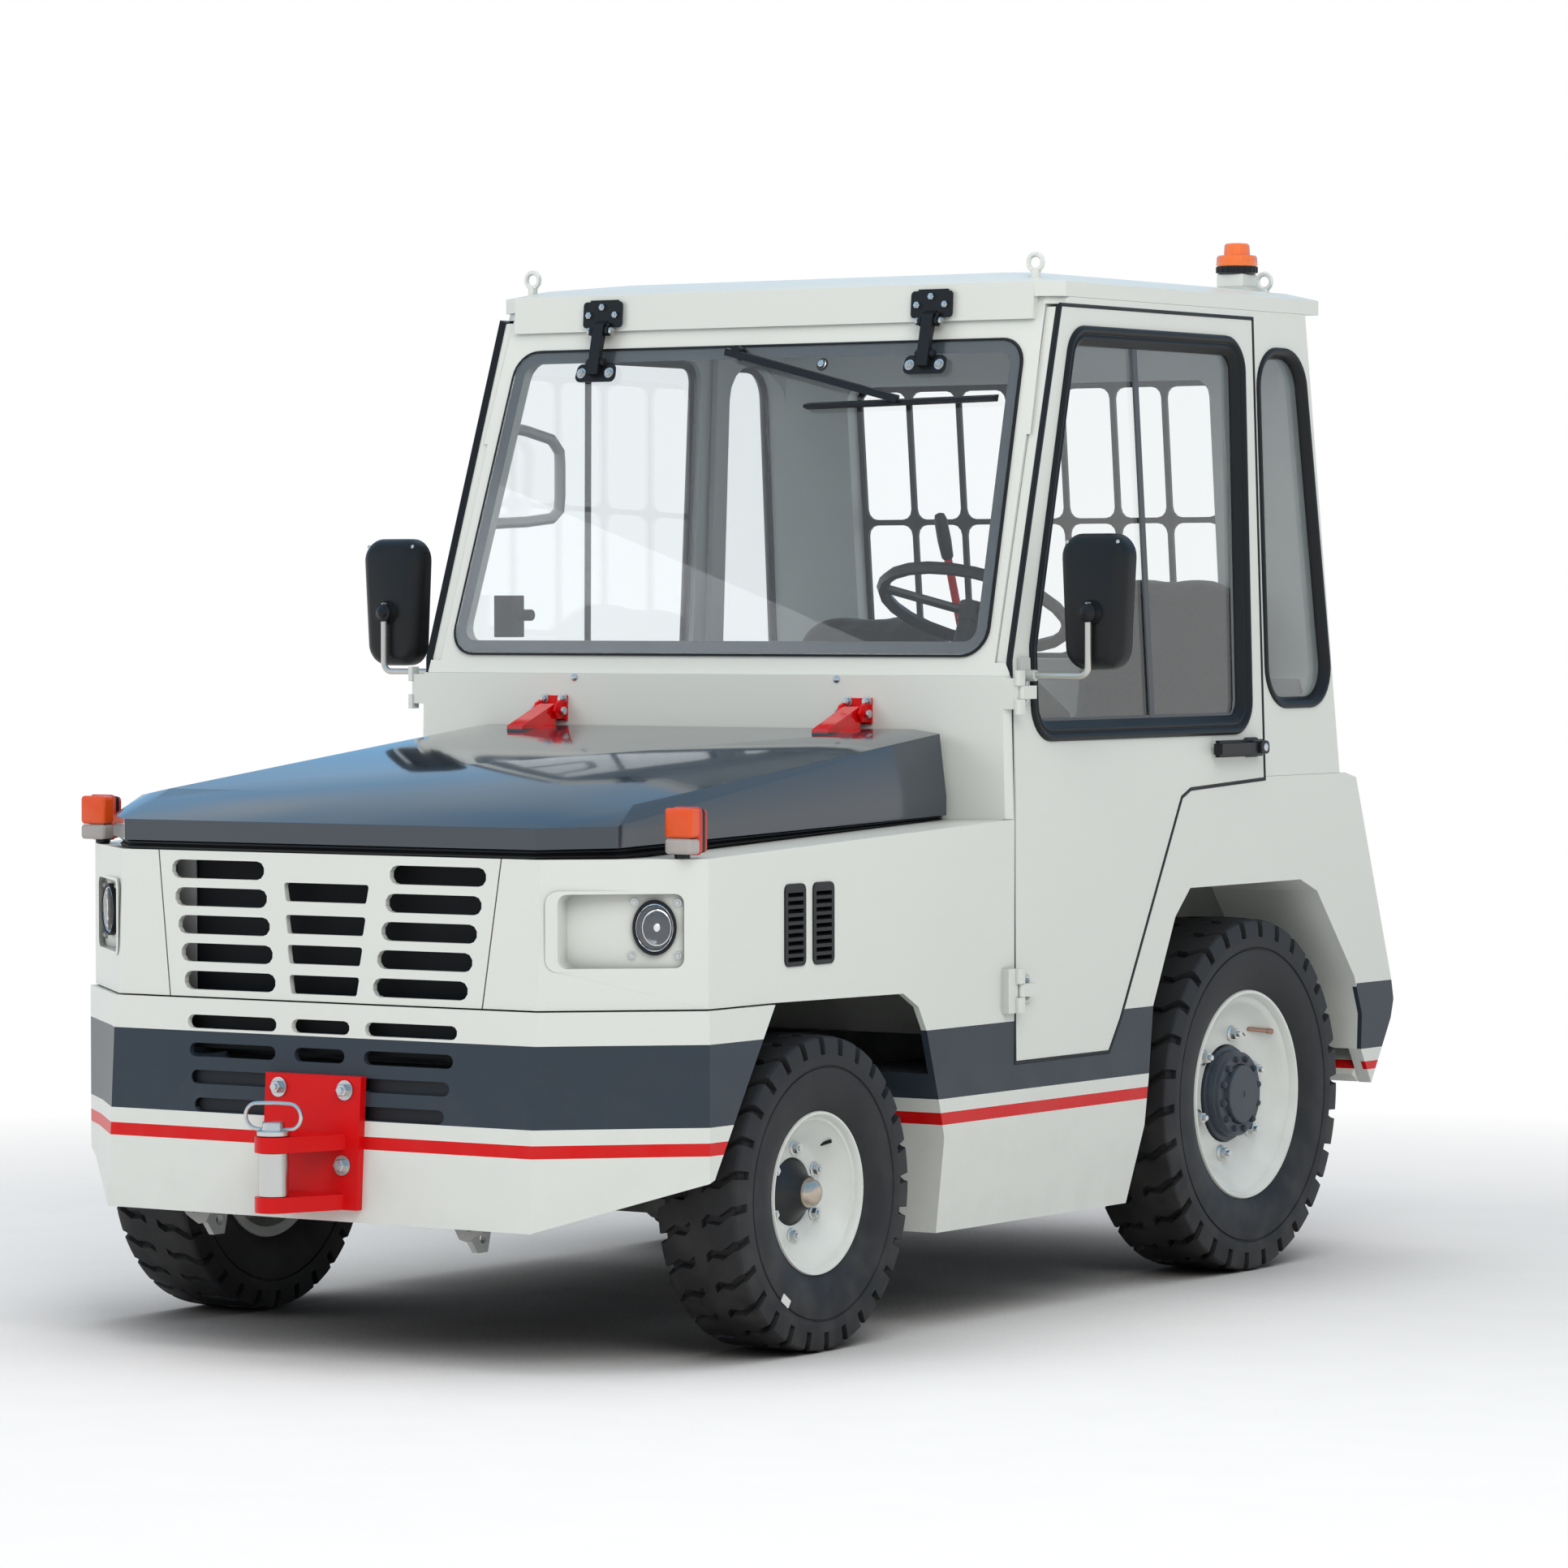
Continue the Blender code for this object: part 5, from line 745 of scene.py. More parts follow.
def painted_cavity_shade_group() -> bpy.types.NodeTree:
    """Group that paints shade and grime into a colour in hollows found by ambient occlusion.

    Returns:
        The group's tree.
    """
    takes = (("Colour", COLOUR, (0.8, 0.8, 0.8)), ("Amount", NUMBER, 0.5), ("Reach", NUMBER, 0.1))

    def fill(graph: Graph, source: bpy.types.Node) -> dict[str, bpy.types.NodeSocket]:
        """The less open the place, the more of the painted shade.

        Args:
            graph: Graph of the group.
            source: Node that hands over the group's inputs.

        Returns:
            The socket for each output of the group.
        """
        closed = graph.add(
            "ShaderNodeAmbientOcclusion", {"samples": 6}, Distance=source.outputs["Reach"],
        ).outputs["AO"]
        mask = graph.math("MULTIPLY", graph.ramp(closed, 0.22, 0.62, 1.0, 0.0), source.outputs["Amount"])
        # Painted shade and grime: a brownish dark multiply of the colour.
        shade = graph.mix(1.0, source.outputs["Colour"], (0.20, 0.19, 0.175), "MULTIPLY")
        return {"Colour": graph.mix(mask, source.outputs["Colour"], shade), "Mask": mask}

    return new_group("cavity_grime", takes, (("Colour", COLOUR), ("Mask", NUMBER)), fill)


def weave_group() -> bpy.types.NodeTree:
    """Group for a woven or leather-grained cover.

    Returns:
        The group's tree.
    """
    takes = (
        ("Colour", COLOUR, (0.1, 0.1, 0.1)), ("Thread Scale", NUMBER, 320.0), ("Contrast", NUMBER, 0.25)
    )

    def fill(graph: Graph, source: bpy.types.Node) -> dict[str, bpy.types.NodeSocket]:
        """Cells of a fine net, with painted shade darkening the valleys.

        Args:
            graph: Graph of the group.
            source: Node that hands over the group's inputs.

        Returns:
            The socket for each output of the group.
        """
        cells = graph.add(
            "ShaderNodeTexVoronoi", {"feature": "F1"}, Vector=graph.place(),
            Scale=source.outputs["Thread Scale"],
        )
        height = graph.math("SUBTRACT", 1.0, cells.outputs["Distance"], clamp=True)
        # Painted shade: the colour darkens towards the valleys of the net.
        dark = graph.math(
            "SUBTRACT", 1.0, graph.math("MULTIPLY", cells.outputs["Distance"], source.outputs["Contrast"])
        )
        tone = graph.scaled(source.outputs["Colour"], dark)
        return {"Colour": tone, "Height": height}

    return new_group("cover_grain", takes, (("Colour", COLOUR), ("Height", NUMBER)), fill)


def use_group(graph: Graph, tree: bpy.types.NodeTree, **inputs: object) -> bpy.types.Node:
    """Place a group in a material with its own values.

    Args:
        graph: Graph of the material.
        tree: Tree of the group.
        inputs: Value or socket for each input; an underscore stands for a space.

    Returns:
        The group's node.
    """
    node = graph.tree.nodes.new("ShaderNodeGroup")
    node.node_tree = tree
    for key, value in inputs.items():
        graph.feed(node.inputs[key.replace("_", " ")], value)
    return node


# Finishes

def begin_material(name: str) -> tuple[bpy.types.Material, Graph, bpy.types.Node]:
    """New material, its graph and its main shader.

    Args:
        name: Name of the material.

    Returns:
        The material, its graph and its shader.
    """
    made = bpy.data.materials.new(name)
    made["finish"] = True
    made.use_nodes = True
    return made, Graph(made.node_tree), made.node_tree.nodes["Principled BSDF"]


@dataclass(frozen=True)
class Band:
    """Level band of another colour."""

    colour: Colour
    foot: float
    top: float


@dataclass(frozen=True)
class Patch:
    """Box-shaped area of another colour, the same on both sides."""

    colour: Colour
    low: Spot
    high: Spot


@dataclass(frozen=True)
class Finish:
    """Opaque finish of paint, plastic, rubber or metal."""

    name: str
    colour: Colour
    roughness: float = 0.4
    metallic: float = 0.0
    coat: float = 0.0
    mottle: float = 0.02
    grain_scale: float = 500.0
    grain_depth: float = 0.00003
    dust: float = 0.0
    dust_top: float = 0.6
    bands: tuple[Band, ...] = ()
    patches: tuple[Patch, ...] = ()
    inner: Colour | None = None
    sheen: float = 0.5
    cavity: float = 0.0

    def material(self) -> bpy.types.Material:
        """Build the material.

        Returns:
            The material of this finish.
        """
        made, graph, shader = begin_material(self.name)
        film = use_group(
            graph, film_group(), Colour=self.colour, Mottle=self.mottle, Roughness=self.roughness,
            Grain_Scale=self.grain_scale,
        )
        colour = film.outputs["Colour"]
        # Inward faces of the cab take a darker grey as painted shade.
        if self.inner:
            middle = (0.0, LINES.y(1.85), 1.25)
            colour = use_group(
                graph, inner_group(), Colour=colour, Inner_Colour=self.inner, Middle=middle
            ).outputs[0]
        for band in self.bands:
            colour = use_group(
                graph, band_group(), Colour=colour, Band_Colour=band.colour, Foot=band.foot, Top=band.top,
            ).outputs[0]
        if self.dust:
            colour = use_group(
                graph, dust_group(), Colour=colour, Amount=self.dust, Top=self.dust_top
            ).outputs[0]
        for patch in self.patches:
            colour = use_group(
                graph, box_group(), Colour=colour, Box_Colour=patch.colour, Low=patch.low, High=patch.high,
            ).outputs[0]
        # Painted shade and grime in hollows such as wheelhouses, the lamp pocket and the step's front.
        if self.cavity:
            colour = use_group(
                graph, painted_cavity_shade_group(), Colour=colour, Amount=self.cavity, Reach=0.16
            ).outputs[0]
        graph.feed(shader.inputs["Base Color"], colour)
        graph.feed(shader.inputs["Roughness"], film.outputs["Roughness"])
        shader.inputs["Metallic"].default_value = self.metallic
        shader.inputs["Coat Weight"].default_value = self.coat
        shader.inputs["Coat Roughness"].default_value = 0.06
        shader.inputs["Specular IOR Level"].default_value = self.sheen
        graph.bump(shader, 0.6, self.grain_depth, film.outputs["Height"])
        return made


@dataclass(frozen=True)
class GlassFinish:
    """Clear or tinted glass or lens."""

    name: str
    colour: Colour
    roughness: float = 0.0
    ior: float = 1.45
    ripple: float = 0.0
    ripple_scale: float = 200.0

    def material(self) -> bpy.types.Material:
        """Build the material.

        Returns:
            The material of this glass.
        """
        made, graph, shader = begin_material(self.name)
        film = use_group(
            graph, film_group(), Colour=self.colour, Mottle=0.01, Roughness=self.roughness,
            Grain_Scale=self.ripple_scale,
        )
        graph.feed(shader.inputs["Base Color"], film.outputs["Colour"])
        shader.inputs["Roughness"].default_value = self.roughness
        shader.inputs["IOR"].default_value = self.ior
        shader.inputs["Transmission Weight"].default_value = 1.0
        if self.ripple:
            graph.bump(shader, 0.5, self.ripple, film.outputs["Height"])
        return made


@dataclass(frozen=True)
class CoverFinish:
    """Soft cover of a seat or a belt."""

    name: str
    colour: Colour
    roughness: float = 0.7
    thread_scale: float = 320.0
    depth: float = 0.0004
    sheen: float = 0.15

    def material(self) -> bpy.types.Material:
        """Build the material.

        Returns:
            The material of this cover.
        """
        made, graph, shader = begin_material(self.name)
        cover = use_group(graph, weave_group(), Colour=self.colour, Thread_Scale=self.thread_scale)
        film = use_group(
            graph, film_group(), Colour=cover.outputs["Colour"], Mottle=0.06, Roughness=self.roughness
        )
        graph.feed(shader.inputs["Base Color"], film.outputs["Colour"])
        graph.feed(shader.inputs["Roughness"], film.outputs["Roughness"])
        shader.inputs["Sheen Weight"].default_value = self.sheen
        graph.bump(shader, 0.7, self.depth, cover.outputs["Height"])
        return made


WHITE_TONE: Colour = (0.680, 0.700, 0.660)
SLATE_TONE: Colour = (0.030, 0.041, 0.055)
RED_TONE: Colour = (0.620, 0.003, 0.004)
BLACK_TONE: Colour = (0.012, 0.013, 0.014)
# Darker grey-blue for the cab's inward faces, painted shade of the closed cab.
CAB_INNER_SHADE: Colour = (0.50, 0.54, 0.54)


def enamel(name: str, **more: object) -> Finish:
    """White enamel with its own dust, bands, patches or shade."""
    return Finish(name, WHITE_TONE, 0.34, sheen=0.25, mottle=0.012, **more)


class Skin(Enum):
    """Every finish on the machine."""

    WHITE = enamel(
        "white_enamel", grain_depth=0.00004, dust=0.10, cavity=0.85,
        patches=(
            # Painted shade: near-black on the front wing's inner faces in its wheelhouse.
            Patch((0.020, 0.020, 0.021), (0.30, LINES.y(0.215), 0.50), (0.6865, LINES.y(1.215), 0.90)),
            # Painted shade: grey on the lamp pocket's inner wall and the faces beside it.
            Patch((0.16, 0.155, 0.145), (0.30, LINES.y(0.02), 0.60), (0.462, LINES.y(0.20), 0.90)),
        ),
    )
    APRON = enamel(
        "banded_apron", dust=0.12,
        bands=(Band(SLATE_TONE, 0.4315, 0.578), Band(RED_TONE, 0.381, 0.404)),
        patches=(
            # Painted shade: near-black inside the bumper's two slots.
            Patch((0.004, 0.004, 0.005), (0.0, LINES.y(-0.0155), 0.440), (0.42, LINES.y(0.06), 0.478)),
            Patch((0.004, 0.004, 0.005), (0.0, LINES.y(-0.0128), 0.485), (0.42, LINES.y(0.06), 0.522)),
        ),
    )
    STEP = enamel(
        "banded_step", dust=0.15,
        bands=(Band(SLATE_TONE, 0.430, 0.620), Band(RED_TONE, 0.381, 0.404)),
        # cavity: painted shade and grime on the step's front face.
        cavity=0.95,
    )
    FENDER = enamel(
        "fender_enamel", grain_depth=0.00004, dust=0.10, cavity=0.85,
        patches=(
            Patch(SLATE_TONE, (0.6900, LINES.y(2.585), 0.425), (0.80, LINES.y(2.80), 0.563)),
            Patch(RED_TONE, (0.6900, LINES.y(2.585), 0.381), (0.80, LINES.y(2.80), 0.398)),
        ),
    )
    TAIL = enamel(
        "banded_tail", dust=0.12,
        bands=(Band(SLATE_TONE, 0.425, 0.563), Band(RED_TONE, 0.381, 0.398)),
    )
    CAB = enamel("cab_enamel", inner=CAB_INNER_SHADE)
    DOOR = enamel(
        "door_enamel", inner=CAB_INNER_SHADE,
        patches=(Patch(BLACK_TONE, (0.7005, LINES.y(1.965), 1.040), (0.76, LINES.y(2.18), 1.085)),),
    )
    SLATE = Finish(
        "slate_gloss", SLATE_TONE, 0.10, coat=0.45, sheen=0.45, grain_depth=0.00002, grain_scale=220.0,
        mottle=0.02,
        patches=(Patch(RED_TONE, (0.318, LINES.y(1.00), 1.108), (0.402, LINES.y(1.30), 1.30)),),
    )
    RED = Finish(
        "red_gloss", RED_TONE, 0.30, sheen=0.22, grain_depth=0.00008, grain_scale=260.0, mottle=0.03
    )
    FRAME = Finish(
        "frame_black", (0.018, 0.019, 0.021), 0.55, dust=0.35, dust_top=0.9,
        patches=(
            # Painted shade: near-black on the frame's front where it shows through the bumper's slots.
            Patch((0.004, 0.004, 0.005), (0.0, LINES.y(-0.03), 0.31), (0.43, LINES.y(0.04), 0.60)),
            Patch((0.42, 0.43, 0.42), (0.285, LINES.y(0.02), 0.19), (0.315, LINES.y(0.12), 0.302)),
        ),
    )
    IRON = Finish(
        "cast_iron_dark", (0.050, 0.051, 0.054), 0.6, metallic=0.3, grain_scale=160.0, grain_depth=0.0003,
        dust=0.5
    )
    RUBBER = Finish(
        "black_rubber", (0.009, 0.010, 0.011), 0.42, sheen=0.25, grain_scale=420.0, grain_depth=0.00006
    )
    PLASTIC = Finish(
        "black_plastic", (0.009, 0.010, 0.011), 0.36, sheen=0.28, grain_scale=900.0, grain_depth=0.00010
    )
    TYRE = Finish(
        "tyre_tread", (0.018, 0.018, 0.019), 0.58, sheen=0.30, grain_scale=240.0, grain_depth=0.00025,
        mottle=0.06, dust=0.10,
    )
    ZINC = Finish(
        "bright_zinc", (0.62, 0.62, 0.60), 0.28, metallic=1.0, grain_scale=300.0, grain_depth=0.00004,
        mottle=0.05
    )
    BRONZE = Finish("hub_cap_metal", (0.52, 0.44, 0.36), 0.25, metallic=1.0, mottle=0.06)
    CHROME = Finish("lamp_reflector", (0.85, 0.86, 0.87), 0.08, metallic=1.0)
    CORE = Finish(
        "radiator_core", (0.045, 0.046, 0.050), 0.5, metallic=0.6, grain_scale=900.0, grain_depth=0.0006
    )
    HUB = Finish(
        "slate_hub", (0.042, 0.053, 0.068), 0.38, sheen=0.3, grain_scale=200.0, grain_depth=0.0001,
        dust=0.12
    )
    TAG = Finish("blank_tag", (0.72, 0.72, 0.70), 0.5)
    WHEEL = Finish("wheel_enamel", WHITE_TONE, 0.34, coat=0.2, mottle=0.03, dust=0.25, dust_top=0.7)
    DRUM = Finish("drum_black", (0.010, 0.010, 0.011), 0.45, grain_scale=200.0, grain_depth=0.0001)
    # Near-black for sheets that stand for shade behind slots and in holes.
    DARK = Finish("painted_shade_black", (0.004, 0.004, 0.005), 0.8)
    GUIDE = Finish("grey_guide", (0.34, 0.345, 0.34), 0.6, mottle=0.10)
    LUG = Finish("lug_grey", (0.36, 0.36, 0.34), 0.5, mottle=0.08, dust=0.2)
    # Painted shade: dark band of the shaded frame seen through the windshield.
    BORDER = Finish("screen_edge_painted_shade", (0.105, 0.130, 0.150), 0.08)
    CAST = Finish("cast_hinge", (0.52, 0.54, 0.50), 0.42, metallic=0.25, mottle=0.05)
    STAINLESS = Finish("satin_steel", (0.58, 0.57, 0.52), 0.30, metallic=0.75, mottle=0.04)
    HANDLE = Finish("handle_enamel", (0.50, 0.53, 0.53), 0.30)
    BEACON = Finish("beacon_amber", (0.88, 0.16, 0.003), 0.16, coat=0.9, mottle=0.06)
    COPPER = Finish("valve_brass", (0.42, 0.24, 0.17), 0.35, metallic=0.8)
    SMOKED = Finish("smoked_bowl", (0.075, 0.085, 0.095), 0.14, metallic=0.9, mottle=0.35, grain_scale=60.0)
    SIGNAL_RED = Finish("signal_rim_red", (0.50, 0.035, 0.018), 0.25, coat=0.4)
    SHADOW_BAR = Finish("pane_edge", (0.045, 0.052, 0.060), 0.30)
    AMBER_SIGNAL = Finish(
        "signal_amber", (0.70, 0.070, 0.001), 0.20, coat=0.25, sheen=0.4, grain_scale=110.0,
        grain_depth=0.0012, mottle=0.10,
    )
    RIBBED = Finish(
        "signal_clear", (0.36, 0.33, 0.31), 0.18, coat=0.3, grain_scale=160.0, grain_depth=0.0010,
        mottle=0.25,
    )
    WINDSHIELD = GlassFinish("windshield_glass", (0.93, 0.955, 0.965))
    SIDE_GLASS = GlassFinish("side_glass", (0.89, 0.92, 0.925))
    CLEAR = GlassFinish("clear_lens", (0.95, 0.96, 0.97), ripple=0.0004, ripple_scale=120.0)
    SEAT = CoverFinish("seat_cover", (0.016, 0.018, 0.021))
    BELT = CoverFinish("belt_webbing", (0.42, 0.035, 0.03), thread_scale=700.0)

    @property
    def material(self) -> bpy.types.Material:
        """The material of this finish, built at its first use.

        Returns:
            The material.
        """
        found = bpy.data.materials.get(self.value.name)
        if found and found.get("finish"):
            return found
        return self.value.material()


# Dressing of the nodes that stay

def shading_tree() -> bpy.types.NodeTree:
    """Geometry nodes that shade a solid smooth between its sharp edges.

    Returns:
        The tree, made at the first call.
    """
    name = "smooth_between_edges"
    if name in bpy.data.node_groups:
        return bpy.data.node_groups[name]
    tree = bpy.data.node_groups.new(name, "GeometryNodeTree")
    tree.interface.new_socket("Geometry", in_out="INPUT", socket_type="NodeSocketGeometry")
    angle = tree.interface.new_socket("Angle", in_out="INPUT", socket_type="NodeSocketFloat")
    angle.default_value = math.radians(32)
    tree.interface.new_socket("Geometry", in_out="OUTPUT", socket_type="NodeSocketGeometry")
    graph = Graph(tree)
    source = graph.add("NodeGroupInput")
    plain = graph.add("GeometryNodeRemoveAttribute", None, Geometry=source.outputs[0])
    plain.inputs["Name"].default_value = "custom_normal"
    smooth = graph.add("GeometryNodeSetShadeSmooth", {"domain": "FACE"}, Geometry=plain.outputs[0])
    soft = graph.add("GeometryNodeSetShadeSmooth", {"domain": "EDGE"}, Geometry=smooth.outputs[0])
    bend = graph.add("GeometryNodeInputMeshEdgeAngle")
    test = graph.add("FunctionNodeCompare", {"data_type": "FLOAT", "operation": "GREATER_THAN"})
    tree.links.new(bend.outputs["Unsigned Angle"], test.inputs["A"])
    tree.links.new(source.outputs["Angle"], test.inputs["B"])
    sharp = graph.add("GeometryNodeSetShadeSmooth", {"domain": "EDGE"}, Geometry=soft.outputs[0])
    sharp.inputs["Shade Smooth"].default_value = False
    tree.links.new(test.outputs[0], sharp.inputs["Selection"])
    sink = tree.nodes.new("NodeGroupOutput")
    tree.links.new(sharp.outputs[0], sink.inputs[0])
    return tree


@dataclass(frozen=True)
class Dress:
    """How one kept node is finished."""

    skin: Skin
    bevel: float = 0.0015
    segments: int = 2
    sharp: float = 28.0
    whole: bool = True

    def put_on(self, name: str) -> None:
        """Give a node its material and its softened edges.

        Args:
            name: Name of the node.
        """
        node = frame["nodes"][name]
        node.data.materials.clear()
        node.data.materials.append(self.skin.material)
        weld = node.modifiers.new("join_corners", "WELD")
        weld.merge_threshold = 0.00004
        if self.whole:
            flat = node.modifiers.new("whole_faces", "DECIMATE")
            flat.decimate_type = "DISSOLVE"
            flat.angle_limit = math.radians(0.4)
        shade = node.modifiers.new("shading", "NODES")
        shade.node_group = shading_tree()
        if self.bevel:
            soften(node, self.bevel, self.segments, self.sharp)
        LOG.info("dressed %s", name)


WARDROBE: dict[str, Dress] = {
    "front_bumper": Dress(Skin.APRON, 0.0025),
    "grille_panel": Dress(Skin.WHITE, 0.0, whole=False),
    "front_wing_*": Dress(Skin.WHITE, 0.0025),
    "cowl": Dress(Skin.CAB, 0.0025),
    "cab_frame": Dress(Skin.CAB, 0.0025),
    "roof": Dress(Skin.CAB, 0.003),
    "rear_fender_*": Dress(Skin.FENDER, 0.0025),
    "tail_panel": Dress(Skin.TAIL, 0.003),
    "step_*": Dress(Skin.STEP, 0.002),
    "door_*": Dress(Skin.DOOR, 0.002),
    "hood": Dress(Skin.SLATE, 0.006, 3),
    "hood_hinge_*": Dress(Skin.RED, 0.0012),
    "screen_hinge_*": Dress(Skin.PLASTIC, 0.0012),
    "wiper": Dress(Skin.PLASTIC, 0.001),
    "front_hitch": Dress(Skin.RED, 0.003, 3),
    "rear_hitch": Dress(Skin.RED, 0.003, 3),
    "chassis_frame": Dress(Skin.FRAME, 0.003),
    "engine_block": Dress(Skin.IRON, 0.008),
    "radiator": Dress(Skin.CORE, 0.002),
    "drive_shaft": Dress(Skin.IRON, 0.001),
    "front_axle": Dress(Skin.IRON, 0.003),
    "rear_axle": Dress(Skin.IRON, 0.003),
    "knuckle_*": Dress(Skin.IRON, 0.002),
    "cab_floor": Dress(Skin.FRAME, 0.001),
    "dashboard": Dress(Skin.PLASTIC, 0.008, 3),
    "steering_wheel": Dress(Skin.PLASTIC, 0.0),
    "rear_window_guard": Dress(Skin.FRAME, 0.0, whole=False),
    "windshield": Dress(Skin.WINDSHIELD, 0.0),
    "door_glass_*": Dress(Skin.SIDE_GLASS, 0.0),
    "quarter_glass_*": Dress(Skin.SIDE_GLASS, 0.0),
    "wing_vent_*": Dress(Skin.PLASTIC, 0.0, whole=False),
}


def dress_nodes() -> None:
    """Finish every node of the frame by the wardrobe."""
    for pattern, dress in WARDROBE.items():
        names = [pattern]
        if pattern.endswith("*"):
            names = [pattern[:-1] + word for _, word in SIDES]
        for name in names:
            dress.put_on(name)


# Studio

@dataclass(frozen=True)
class Studio:
    """Camera at the photograph's view, floor and soft lamps."""

    azimuth: float = 33.7129
    elevation: float = 1.6801
    roll: float = -0.0684
    lens: float = 143.64
    sensor: float = 36.0
    camera_x: float = 6.9178
    camera_s: float = -8.8766
    camera_z: float = 1.3597

    def camera(self) -> None:
        """Place the camera."""
        az, el, roll = (math.radians(a) for a in (self.azimuth, self.elevation, self.roll))
        back = Vector((math.sin(az) * math.cos(el), -math.cos(az) * math.cos(el), math.sin(el)))
        right = (-back).cross(UP).normalized()
        up = right.cross(-back)
        across = right * math.cos(roll) + up * math.sin(roll)
        over = up * math.cos(roll) - right * math.sin(roll)
        turn = Matrix((across, over, back)).transposed().to_4x4()
        data = bpy.data.cameras.new("camera")
        data.lens = self.lens
        data.sensor_width = self.sensor
        data.clip_end = 200.0
        made = bpy.data.objects.new("camera", data)
        spot = Vector((self.camera_x, LINES.y(self.camera_s), self.camera_z))
        made.matrix_world = Matrix.Translation(spot) @ turn
        bpy.context.scene.collection.objects.link(made)
        bpy.context.scene.camera = made

    def lamp(self, name: str, at: Spot, aim: Spot, size: Flat, power: float, colour: Colour) -> None:
        """Add one soft rectangular lamp.

        Args:
            name: Name of the lamp.
            at: Place of its middle.
            aim: Point that it looks at.
            size: Width and height.
            power: Power in watts.
            colour: Colour of its light.
        """
        data = bpy.data.lights.new(name, "AREA")
        data.shape = "RECTANGLE"
        data.size, data.size_y = size
        data.energy = power
        data.color = colour
        made = bpy.data.objects.new(name, data)
        made.location = at
        look = (Vector(aim) - Vector(at)).normalized()
        made.rotation_euler = look.to_track_quat("-Z", "Y").to_euler()
        made.visible_glossy = False
        bpy.context.scene.collection.objects.link(made)

    def world(self) -> None:
        """White to camera and glass, white under a pale sky to gloss, softer light on the machine."""
        world = bpy.data.worlds.new("studio")
        bpy.context.scene.world = world
        world.use_nodes = True
        graph = Graph(world.node_tree)
        base = world.node_tree.nodes["Background"]
        base.inputs["Color"].default_value = (0.93, 0.97, 1.0, 1.0)
        base.inputs["Strength"].default_value = 0.50
        white = graph.add("ShaderNodeBackground", None, Color=(1.0, 1.0, 1.0), Strength=1.0)
        rise = graph.ramp(graph.split(graph.place("Generated"))[2], 0.05, 0.13)
        clouds = graph.ramp(graph.noise(graph.place("Generated"), 2.2, 3.0), 0.45, 0.65)
        blue = graph.mix(clouds, (0.30, 0.60, 0.95), (0.66, 0.78, 0.90))
        mirrored = graph.mix(rise, (1.0, 1.0, 1.0), blue)
        sky = graph.add("ShaderNodeBackground", None, Color=mirrored, Strength=1.0)
        glossy = graph.add("ShaderNodeLightPath").outputs["Is Glossy Ray"]
        soft = graph.add("ShaderNodeMixShader", None, i0=glossy, i1=base.outputs[0], i2=sky.outputs[0])
        seen = seen_directly(graph)
        pick = graph.add("ShaderNodeMixShader", None, i0=seen, i1=soft.outputs[0], i2=white.outputs[0])
        graph.feed(world.node_tree.nodes["World Output"].inputs["Surface"], pick.outputs[0])

    def floor(self) -> None:
        """Pale floor that shows white to the camera outside the shadow, with a painted brown-black shadow
        under the machine.
        """
        work = bmesh.new()
        bmesh.ops.create_grid(work, x_segments=8, y_segments=8, size=40.0)
        data = bpy.data.meshes.new("floor")
        work.to_mesh(data)
        work.free()
        made = bpy.data.objects.new("floor", data)
        bpy.context.scene.collection.objects.link(made)
        paint, graph, shader = begin_material("pale_floor")
        tone = graph.noise(graph.place(), 6.0, 2.0)
        pale = graph.mix(tone, (0.86, 0.86, 0.86), (0.90, 0.90, 0.90))
        # Painted shadow: ambient occlusion darkens the floor's colour to brown-black under the machine.
        closed = graph.add("ShaderNodeAmbientOcclusion", {"samples": 6}, Distance=0.8).outputs["AO"]
        graph.feed(
            shader.inputs["Base Color"],
            graph.mix(graph.ramp(closed, 0.10, 0.80), (0.10, 0.085, 0.075), pale)
        )
        shader.inputs["Roughness"].default_value = 0.9
        shader.inputs["Specular IOR Level"].default_value = 0.1
        away = graph.add("ShaderNodeVectorMath", {"operation": "LENGTH"}, i0=graph.place()).outputs["Value"]
        far = graph.ramp(away, 2.3, 4.6)
        glow = graph.add("ShaderNodeEmission", None, Color=(1.0, 1.0, 1.0), Strength=1.0)
        surface = graph.add("ShaderNodeMixShader", None, i0=far, i1=shader.outputs[0], i2=glow.outputs[0])
        graph.feed(paint.node_tree.nodes["Material Output"].inputs["Surface"], surface.outputs[0])
        data.materials.append(paint)

    def build(self) -> None:
        """Set up the whole studio."""
        bpy.context.scene.view_settings.view_transform = "Standard"
        self.camera()
        self.world()
        self.floor()
        middle = (0.0, 0.0, 0.9)
        self.lamp("key_lamp", (5.5, -5.0, 6.0), middle, (5.0, 5.0), 330.0, (1.0, 0.985, 0.96))
        self.lamp("fill_lamp", (-6.0, -6.5, 4.0), middle, (6.0, 4.0), 190.0, (0.97, 0.98, 1.0))
        self.lamp("top_lamp", (0.0, 0.5, 7.0), middle, (7.0, 7.0), 170.0, (1.0, 1.0, 1.0))


def seen_directly(graph: Graph) -> bpy.types.NodeSocket:
    """1 for rays of the camera and of glass, else 0."""
    path = graph.add("ShaderNodeLightPath").outputs
    return graph.math("ADD", path["Is Camera Ray"], path["Is Transmission Ray"], clamp=True)


# Parts of the machine

@dataclass
class Sided:
    """Sub-assembly that is modelled on the left and built on one side."""

    word: str
    side: int

    def put(
        self, work: Mesher, name: str, skin: Skin, slot: str, body: str = "chassis", **look: float,
    ) -> bpy.types.Object:
        """Turn gathered forms into a piece of this side.

        Args:
            work: The gathered forms.
            name: Name of the piece, without its side.
            skin: Its finish.
            slot: Not used; passed on to the piece, which ignores it.
            body: Body that it moves with.
            look: Bevel width or sharp angle.

        Returns:
            The new object.
        """
        return work.piece(f"{name}_{self.word}", body, skin, slot, self.side, **look)


